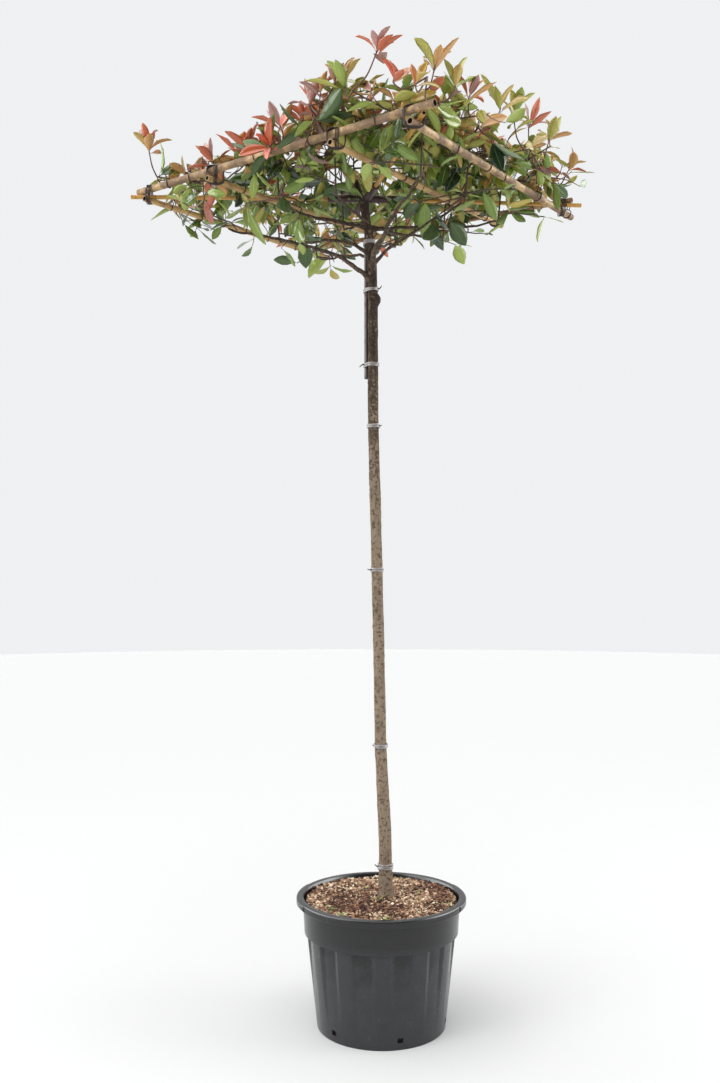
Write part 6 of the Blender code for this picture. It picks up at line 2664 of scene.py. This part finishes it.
    def stem(self, mass: str) -> Twig:
        """The one stem of a mass, from just off its bough's tip up between the canes.

        Args:
            mass: Which mass.

        Returns:
            The stem.
        """
        tip, way = self.trunk.tip()
        if mass in self.boughs.limbs:
            limb = Twig(*self.boughs.path(mass, 9))
            tip, way = limb.points[-1], limb.end_way()
        start = tip + way * CLEARANCE
        hub = self.plan.point(self.boughs.masses[mass], self.hub_height + self.stem_above_hub)
        bend = start + way * self.stem_set_off
        leader = hub + UP * self.stem_leader
        return Twig([start, bend, bend.lerp(hub, 0.5), hub, leader], self.stem_radii, main=True)

    def on_stem(self, stem: Twig, height: float) -> Vector:
        """The point where a stem passes a height.

        Args:
            stem: The stem.
            height: The height.

        Returns:
            The point.
        """
        for low, high in zip(stem.points, stem.points[1:]):
            if height <= high.z:
                break
        return low.lerp(high, (height - low.z) / (high.z - low.z))

    def lateral(self, mass: str, start: Vector, way: Vector, longest: float, lift: float) -> Twig | None:
        """A lateral that runs as far as its mass's space goes, with a slight wander.

        Args:
            mass: The mass it belongs to.
            start: Where it leaves the stem.
            way: The way it sets out.
            longest: Its greatest length.
            lift: How much it bends up half way along.

        Returns:
            The lateral, or none if there is no room for it.
        """
        length, edge = 0.0, self.lateral_edge
        while length < longest and self.own_space(mass, start + way * (length + self.step), edge):
            length += self.step
        if length < self.least_length:
            return None
        later = (way + UP * lift).normalized()
        points = [start]
        for share in (number / 8 for number in range(1, 9)):
            straight = start + way * min(share, 0.5) * length + later * max(share - 0.5, 0.0) * length
            sway = 0.006 * noise.noise(Vector((start.x * 40 + share * 4.0, start.y * 40, way.x * 9)))
            points.append(straight + way.cross(UP) * sway + UP * sway * 0.5)
        return Twig(points, self.lateral_radii, main=True)

    def rising_height(self, foot: Vector) -> float:
        """How tall shoots are: short over the left corner and tall over the middle and the right.

        Args:
            foot: Where the shoot grows.

        Returns:
            Its height.
        """
        share = (self.plan.place(foot)[0] - self.low_side) / (self.high_side - self.low_side)
        low, high = self.shoot_height
        return low + (high - low) * min(max(share, 0.0), 1.0)

    def density(self, point: Vector) -> float:
        """How full the crown is: thin over the left corner, full over the middle and the right."""
        return 0.78 + 0.22 * min(max((self.plan.place(point)[0] + 0.45) / 0.45, 0.0), 1.0)

    def feet_along(self, limb: Twig, first: float, last: float, gap: float, spread: Span) -> Iterator[float]:
        """Where things grow along a limb, each found as the one before has grown.

        Args:
            limb: The limb.
            first: How far along it the first grows.
            last: How far along it they end.
            gap: The usual gap between them.
            spread: The least and greatest share of that gap.

        Yields:
            The share of the limb's length.
        """
        length, distance = limb.length(), first
        while distance < last:
            share = distance / length
            distance += gap * self.chance.uniform(*spread)
            yield share

    def grow_shoots(self, lateral: Twig) -> None:
        """Upright shoots along a lateral, each with a spray at its tip and leaves below.

        Args:
            lateral: The lateral.
        """
        chance, outward = self.chance, lateral.heading()
        sign, end = chance.choice((-1.0, 1.0)), lateral.length() + self.shoot_gap / 2
        for share in self.feet_along(lateral, self.shoot_first, end, self.shoot_gap, (0.8, 1.25)):
            foot = lateral.at(min(share, self.shoot_last))
            sign = -sign
            if chance.random() > self.density(foot):
                continue
            sideways = UP.cross(outward) * sign * chance.uniform(0.15, 1.0)
            way = (UP + outward * chance.uniform(0.2, 0.7) + sideways).normalized()
            tall = self.rising_height(foot) * chance.uniform(0.45, 1.25)
            bend = foot + (way + outward * 0.25).normalized() * tall * 0.5
            tip = bend + (way * 0.8 + UP * 0.4).normalized() * tall * 0.5
            shoot = Twig([foot, bend, tip], self.shoot_radii, True)
            if self.keep_twig(shoot):
                tone = self.tip_tone(tip)
                self.whorl(tip, shoot.end_way(), tone, chance.choice((4, 5, 5, 6)))
                if tall > 0.04:
                    self.leaves_along(shoot, (0.35, 0.7), OLDER[tone], 0.25)

    def grow_sides(self, lateral: Twig) -> None:
        """Level side twigs along a lateral, with the older leaves.

        Args:
            lateral: The lateral.
        """
        chance, outward = self.chance, lateral.heading()
        sign = chance.choice((-1.0, 1.0))
        for share in self.feet_along(lateral, self.side_first, lateral.length(), self.side_gap, (0.8, 1.3)):
            foot = lateral.at(share)
            sign = -sign
            if chance.random() > self.density(foot):
                continue
            side = UP.cross(outward) * sign
            way = (side + outward * chance.uniform(0.3, 0.9) + UP * chance.uniform(-0.35, 0.25)).normalized()
            long = chance.uniform(*self.side_length)
            bend = foot + way * long * 0.5
            tip = bend + (way + UP * chance.uniform(-0.2, 0.35)).normalized() * long * 0.5
            twig = Twig([foot, bend, tip], self.side_radii, chance.random() < 0.4)
            if self.keep_twig(twig):
                tone = self.low_tone(tip)
                self.whorl(tip, twig.end_way(), tone, chance.choice((2, 3, 3, 4)), 0.9)
                self.leaves_along(twig, (0.4, 0.75), tone, 0.5)

    def grow_spurs(self, lateral: Twig) -> None:
        """Hanging spurs along a lateral.

        Args:
            lateral: The lateral.
        """
        chance, outward = self.chance, lateral.heading()
        for share in self.feet_along(lateral, self.spur_first, lateral.length(), self.spur_gap, (0.7, 1.4)):
            foot = lateral.at(share)
            side = UP.cross(outward) * chance.uniform(-1.0, 1.0)
            way = (side + outward * chance.uniform(-0.2, 0.6) - UP * chance.uniform(0.4, 1.2)).normalized()
            tip = foot + way * chance.uniform(*self.spur_length)
            if self.keep_twig(Twig([foot, foot.lerp(tip, 0.5), tip], self.spur_radii)):
                self.hang(tip, way, chance.choice((1, 2, 2, 3)))

    def grow_stems(self) -> None:
        """Grow each mass's stem and laterals by the solids' rule, with the same draws."""
        for mass in self.boughs.masses:
            chance, stem = Chance(mass), self.stem(mass)
            self.twigs.append(stem)
            for _ in range(1 + 2 * self.source_whorl):
                chance.random()
            phase = self.phases[mass] = chance.uniform(0, FULL_TURN)
            laterals = self.laterals[mass] = [stem]
            for number in range(self.upper_laterals):
                start = self.on_stem(stem, self.hub_height + self.upper_rise * number)
                way = sloping(bearing_vector(math.degrees(phase + number * GOLDEN_ANGLE)), self.lateral_slope)
                lateral = self.lateral(mass, start, way, self.lateral_length, self.lateral_lift)
                if lateral and self.keep_twig(lateral, 0.0):
                    laterals.append(lateral)

    def grow_mass(self, mass: str) -> None:
        """Grow the shoots and spurs of one mass on its stem and laterals.

        Args:
            mass: Which mass.
        """
        self.chance = Chance("finer " + mass)
        stem, *laterals = self.laterals[mass]
        for lateral in laterals:
            self.grow_shoots(lateral)
            self.grow_sides(lateral)
            self.grow_spurs(lateral)
            tip = lateral.points[-1]
            self.whorl(tip, (lateral.heading() + UP * 0.5).normalized(), self.tip_tone(tip), 5)
        self.whorl(stem.points[-1], UP, self.tip_tone(stem.points[-1]), 6)
        for number in range(self.lower_laterals):
            start = self.on_stem(stem, self.lower_height)
            way = bearing_vector(math.degrees(self.phases[mass] + number * math.pi + self.lower_turn))
            lateral = self.lateral(mass, start, way, self.lower_length, -0.1)
            if lateral:
                lateral.radii = self.lower_radii
                if self.keep_twig(lateral, 0.0):
                    self.leaves_along(lateral, (0.35, 0.6, 0.85), self.low_tone(start), 0.6)
                    self.hang(lateral.points[-1], way, 3)

    def fill(self) -> None:
        """Fill what is still thin: a fine twig from the nearest one towards each bare place."""
        chance = self.chance = Chance("filling twigs")
        stock = [twig for twig in self.twigs if twig.radii[0] > self.fine_radii[0]]
        feet = vector_rows(twig.at(share / 9) for twig in stock for share in range(1, 10))
        (left, right), (front, back) = self.reach
        for number in range(self.fill_count):
            facing = number % 3 == 0
            across = chance.uniform(left, 0.2 if facing else right)
            deep = chance.uniform(front, -0.15 if facing else back)
            place = self.plan.point((across, deep), chance.uniform(*self.fill_height))
            room = self.ceiling(place) - place.z
            if room < 0.02 or self.is_open(place) or not self.in_reach(place, 0.02):
                continue
            away = np.linalg.norm(feet - np.array(place), axis=1)
            high = room < self.top_layer and place.z > self.plan.height + 0.02
            for nearest in np.argsort(away)[:4]:
                if not self.fill_reach[0] < away[nearest] < self.fill_reach[1]:
                    continue
                foot = Vector(feet[nearest])
                lean = Vector([chance.uniform(low, 1.0) for low in (-1.0, -1.0, -0.4)])
                bend = foot.lerp(place, 0.55) + lean * away[nearest] * 0.10
                twig = Twig([foot, bend, place], self.fine_radii, high)
                if self.keep_twig(twig):
                    tone = self.tip_tone(place) if high else self.low_tone(place)
                    axis = ((place - bend).normalized() + UP * (0.8 if high else -0.1)).normalized()
                    self.whorl(place, axis, tone, chance.choice((3, 4, 5)), 0.66 if high else 0.95)
                    self.leaves_along(twig, (0.5, 0.8), OLDER[tone] if high else tone, 0.3)
                    feet = np.vstack([feet, np.array(twig.at(0.6))])
                    break

    def grow_on_boughs(self) -> None:
        """Spurs and thin risers on the outer part of each bough."""
        for mass in self.boughs.limbs:
            chance = self.chance = Chance("bough " + mass)
            points, radii = self.boughs.path(mass, 30)
            limb = Twig(points, (radii[0], radii[-1]))
            length, axis = limb.length(), limb.heading()
            for share in self.feet_along(limb, length * 0.40, length, self.bough_spur_gap, (0.6, 1.3)):
                out = round_axis(axis, chance.uniform(0, FULL_TURN))
                way = (out + axis * 0.5 + UP * 0.15).normalized()
                foot = limb.at(share) + way * (radii[round(share * 30)] * 0.8)
                tip = foot + way * chance.uniform(0.025, 0.075)
                self.twigs.append(Twig([foot, foot.lerp(tip, 0.5) + UP * 0.002, tip], self.fine_radii))
                self.hang(tip, way, chance.choice((1, 2, 3)))
            for share in self.feet_along(limb, length * 0.30, length * 0.95, self.riser_gap, (0.6, 1.4)):
                lean = Vector((chance.uniform(-0.25, 0.25), chance.uniform(-0.25, 0.25), 1.0)).normalized()
                self.riser(limb.at(share), lean, self.plan.height + chance.uniform(0.02, 0.10))

    def riser(self, foot: Vector, lean: Vector, top: float) -> None:
        """A thin dark twig that climbs from a bough up between the canes.

        Args:
            foot: Where it leaves the bough.
            lean: The way it climbs.
            top: The height that it climbs to.
        """
        length = (top - foot.z) / lean.z
        if length < self.least_length:
            return
        side = lean.orthogonal().normalized()
        points = [foot + lean * 0.008]
        for share in (number / 6 for number in range(1, 7)):
            points.append(foot + lean * length * share + side * 0.011 * math.sin(share * 5.0 + length * 40))
        riser = Twig(points, self.riser_radii)
        if self.keep_twig(riser, 0.0):
            self.whorl(points[-1], riser.end_way(), self.tip_tone(points[-1]), 5)
            self.leaves_along(riser, (0.55, 0.75, 0.9), self.low_tone(foot), 0.4)

    def grow_named(self) -> None:
        """The shoots that give the crown its outline, each from the nearest twig with a clear way."""
        self.chance = Chance("named shoots")
        stock = [twig for twig in self.twigs if twig.radii[0] >= self.lateral_radii[0]]
        feet = [twig.at(share) for twig in stock for share in (0.3, 0.5, 0.7, 0.9)]
        for shoot in SHOOTS:
            tip, lean = self.plan.point(shoot.place, shoot.height), Vector(shoot.lean).normalized()
            reach = self.hanging_reach if lean.z < -0.5 else self.named_reach
            highest = tip.z + (0.03 if lean.z > 0.5 else self.hanging_reach)
            for foot in sorted(feet, key=lambda foot: (foot - tip).length)[:24]:
                if (foot - tip).length >= reach or foot.z >= highest:
                    continue
                bend = foot.lerp(tip, 0.62) - lean * 0.02 - UP * 0.012
                path = smooth_path([foot, bend, tip - lean * 0.012, tip], 2)
                twig = Twig([Vector(row) for row in path], self.named_radii, True)
                if self.keep_twig(twig, 0.0):
                    self.whorl(tip, lean, shoot.tone, shoot.leaves, 0.62, named=True)
                    if shoot.lean[2] > 0.0:
                        self.leaves_along(twig, (0.55, 0.72, 0.88), OLDER[shoot.tone], 0.05)
                    break

    def prune(self) -> None:
        """Drop the twigs that carry nothing, and cut the others back to what they carry."""
        feet = vector_rows(foot for foot, _, _ in self.petioles)
        finer = [twig for twig in self.twigs if not twig.main and twig.cut_back(feet, self.touch)]
        feet = np.vstack([feet, vector_rows(twig.points[0] for twig in finer)])
        self.twigs = finer + [twig for twig in self.twigs if twig.main and twig.cut_back(feet, self.touch)]

    def build_twigs(self, masses: Sequence[str]) -> None:
        """Make the twigs, leaf stalks and buds.

        Args:
            masses: The solids that they stand for.
        """
        shells = {True: Shell(), False: Shell()}
        for twig in self.twigs:
            path = smooth_path(twig.points, 3)
            thick = np.linspace(*twig.radii, len(path))
            ripple = np.sin(distance_along(path) * 260.0 + twig.points[0].x * 50)
            shells[twig.young].tube(path, thick * (1.0 + 0.16 * np.maximum(ripple, 0.0) ** 6), 7)
            if twig.young:
                tip, axis = Vector(path[-1]), Vector(path[-1] - path[-2]).normalized()
                bud = vector_rows(tip + axis * rise for rise in (-0.001, 0.0012, 0.0035, 0.0058))
                shells[True].tube(bud, twig.radii[1] * np.array([0.9, 1.25, 0.95, 0.2]), 6)
        for foot, root, young in self.petioles:
            path = vector_rows([foot, foot.lerp(root, 0.5) - UP * 0.0004, root])
            shells[young].tube(path, np.array([1.25, 1.0, 0.9]) * self.petiole_radius, 5)
        old = twig_finish("older_twig", (0.105, 0.075, 0.055), (0.048, 0.032, 0.025), 0.8, 0.3)
        young = twig_finish("red_young_twig", (0.115, 0.040, 0.026), (0.075, 0.035, 0.022), 0.55)
        shells[False].piece("twigs_older", [old.make()], "photinia_foliage", masses)
        shells[True].piece("twigs_young", [young.make()], "photinia_foliage", masses)

    def build(self) -> None:
        """Grow the crown and make its pieces, each kind apart."""
        self.grow_stems()
        self.grow_named()
        for mass in self.boughs.masses:
            self.grow_mass(mass)
        self.grow_on_boughs()
        self.fill()
        self.prune()
        masses = [f"foliage_{mass}" for mass in self.boughs.masses]
        self.build_twigs(masses)
        for tone, skin in SKINS.items():
            shell = Shell()
            for leaf in self.leaves:
                if leaf.tone is tone:
                    self.blades.add(shell, leaf)
            if shell.count:
                shell.piece(f"leaves_{tone.value}", skin.materials(tone), "photinia_foliage", masses)


# Studio

@dataclass
class Studio:
    """The pale floor, the soft lights and the camera at the photograph's place."""

    floor_radius: float = 16.0
    floor_colour: Colour = (0.662, 0.667, 0.667)
    backdrop: Colour = (0.865, 0.875, 0.885)
    side_light: Colour = (0.62,) * 3
    wall_light: Colour = (8.50,) * 3
    sky_light: Colour = (1.60,) * 3
    dark_front: Colour = (0.06,) * 3
    top_light: Colour = (0.80,) * 3
    front_light: Colour = (0.30,) * 3
    sun_strength: float = 2.10
    sun_angle: float = math.radians(70.0)
    sun_turn: tuple[float, float, float] = (math.radians(16.0), math.radians(-14.0), 0.0)
    photo_size: tuple[int, int] = (720, 1083)
    focal_pixels: float = 1091.9
    tilt: float = math.radians(1.337)

    def add(self, name: str, data: bpy.types.ID, place: Sequence[float] = (0.0, 0.0, 0.0),
            turn: Sequence[float] = (0.0, 0.0, 0.0)) -> bpy.types.Object:
        """Add an object to the scene.

        Args:
            name: Its name.
            data: Its mesh, light or camera.
            place: Where it stands.
            turn: How it is turned.

        Returns:
            The object.
        """
        built = bpy.data.objects.new(name, data)
        built.location, built.rotation_euler = place, turn
        bpy.context.scene.collection.objects.link(built)
        return built

    def build_floor(self) -> None:
        """Lay the pale floor as a large disc."""
        mesh = bpy.data.meshes.new("studio_floor")
        sides = 96
        rim = [level_way(FULL_TURN * side / sides) * self.floor_radius for side in range(sides)]
        mesh.from_pydata(rim, [], [tuple(range(sides))])
        material = bpy.data.materials.new("studio_floor")
        material.use_nodes = True
        graph = Graph(material.node_tree)
        graph.put(graph.tree.nodes["Principled BSDF"], {"Base Color": self.floor_colour, "Roughness": 0.9})
        mesh.materials.append(material)
        self.add("studio_floor", mesh)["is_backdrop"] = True

    def build_world(self) -> None:
        """Light the plant softly from all round."""
        world = bpy.data.worlds.new("studio")
        world.use_nodes = True
        graph = Graph(world.node_tree)
        parts = graph.split(graph.add("ShaderNodeTexCoord").outputs["Generated"])
        above = graph.span(parts["Z"], -0.1, 0.9)
        front = graph.span(graph.times(parts["Y"], -1.0), 0.1, 0.9)
        level = graph.mix(above, self.side_light, self.top_light)
        shaded = graph.mix(graph.times(front, 0.8), level, self.front_light)
        sides = graph.span(graph.sum("ABSOLUTE", parts["X"]), 0.60, 0.98)
        sky = graph.mix(graph.span(parts["Z"], 0.45, 0.75), level, self.sky_light)
        mirrored = graph.mix(front, graph.mix(sides, sky, self.wall_light), self.dark_front)
        rays = graph.add("ShaderNodeLightPath").outputs
        unseen = graph.mix(rays["Is Glossy Ray"], shaded, mirrored)
        colour = graph.mix(rays["Is Camera Ray"], unseen, self.backdrop)
        graph.put(graph.tree.nodes["Background"], {"Color": colour})
        bpy.context.scene.world = world
        bpy.context.scene.view_settings.view_transform = "Standard"

    def build_light(self, name: str, place: Sequence[float], target: Sequence[float], size: float,
                    power: float) -> None:
        """Add one square soft light.

        Args:
            name: Its name.
            place: Where it stands.
            target: What it points at.
            size: The length of its side.
            power: Its power in watts.
        """
        light = bpy.data.lights.new(name, "AREA")
        light.size, light.energy = size, power
        self.add(name, light, place, (Vector(target) - Vector(place)).to_track_quat("-Z", "Y").to_euler())

    def build(self) -> None:
        """Set up the whole studio. The lens is measured in pixels of the photograph's longer side."""
        self.build_floor()
        self.build_world()
        self.build_light("front_left", (-3.6, -2.6, 3.0), (0.0, 0.0, 1.8), 2.0, 60.0)
        self.build_light("right", (4.0, -0.4, 2.2), (0.0, 0.0, 1.4), 2.0, 45.0)
        sun = bpy.data.lights.new("overhead", "SUN")
        sun.energy, sun.angle = self.sun_strength, self.sun_angle
        self.add("overhead", sun, turn=self.sun_turn)
        camera = bpy.data.cameras.new("camera")
        camera.sensor_width = 36.0
        camera.lens = camera.sensor_width * self.focal_pixels / max(self.photo_size)
        bpy.context.scene.camera = self.add("camera", camera, EYE, (math.pi / 2 + self.tilt, 0.0, 0.0))


MASSES: dict[str, Place] = {
    "corner_left": (-0.430, -0.250),
    "front_left": (-0.110, -0.330),
    "front_mid": (0.100, -0.300),
    "corner_front": (0.400, -0.270),
    "right_mid": (0.380, 0.020),
    "corner_right": (0.370, 0.245),
    "back_right": (0.110, 0.310),
    "back_left": (-0.085, 0.290),
    "corner_back": (-0.400, 0.220),
    "left_mid": (-0.380, -0.020),
    "centre_left": (-0.115, 0.010),
    "centre": (0.013, -0.090),
}


def main() -> None:
    """Build the whole plant and its studio, piece by piece."""
    logging.basicConfig(level=logging.INFO, format="%(name)s %(message)s")
    Studio().build()
    for build in (build_mottle, build_streaks, build_flecks, build_dust, build_veins):
        build()
    plan, trunk, pot, blades = FramePlan(), Trunk(), Pot(), Blades()
    boughs = Boughs(trunk, plan, MASSES)
    steel = SteelFrame(trunk, plan)
    canes = CaneFrame(plan, steel)
    trunk.build()
    boughs.build()
    pot.build()
    Compost(pot, blades).build()
    steel.build_post()
    steel.build_cross([canes.way_out(cane) for cane in canes.diagonals], canes.diagonal_radius + CLEARANCE)
    steel.build_ties()
    canes.build()
    Crown(plan, trunk, boughs, steel, canes, blades).build()
    boxes = {"solids": SOLID_BOX, "visual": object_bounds()}
    {name: [list(corner) for corner in box] for name, box in boxes.items()}


if __name__ == "__main__":
    main()
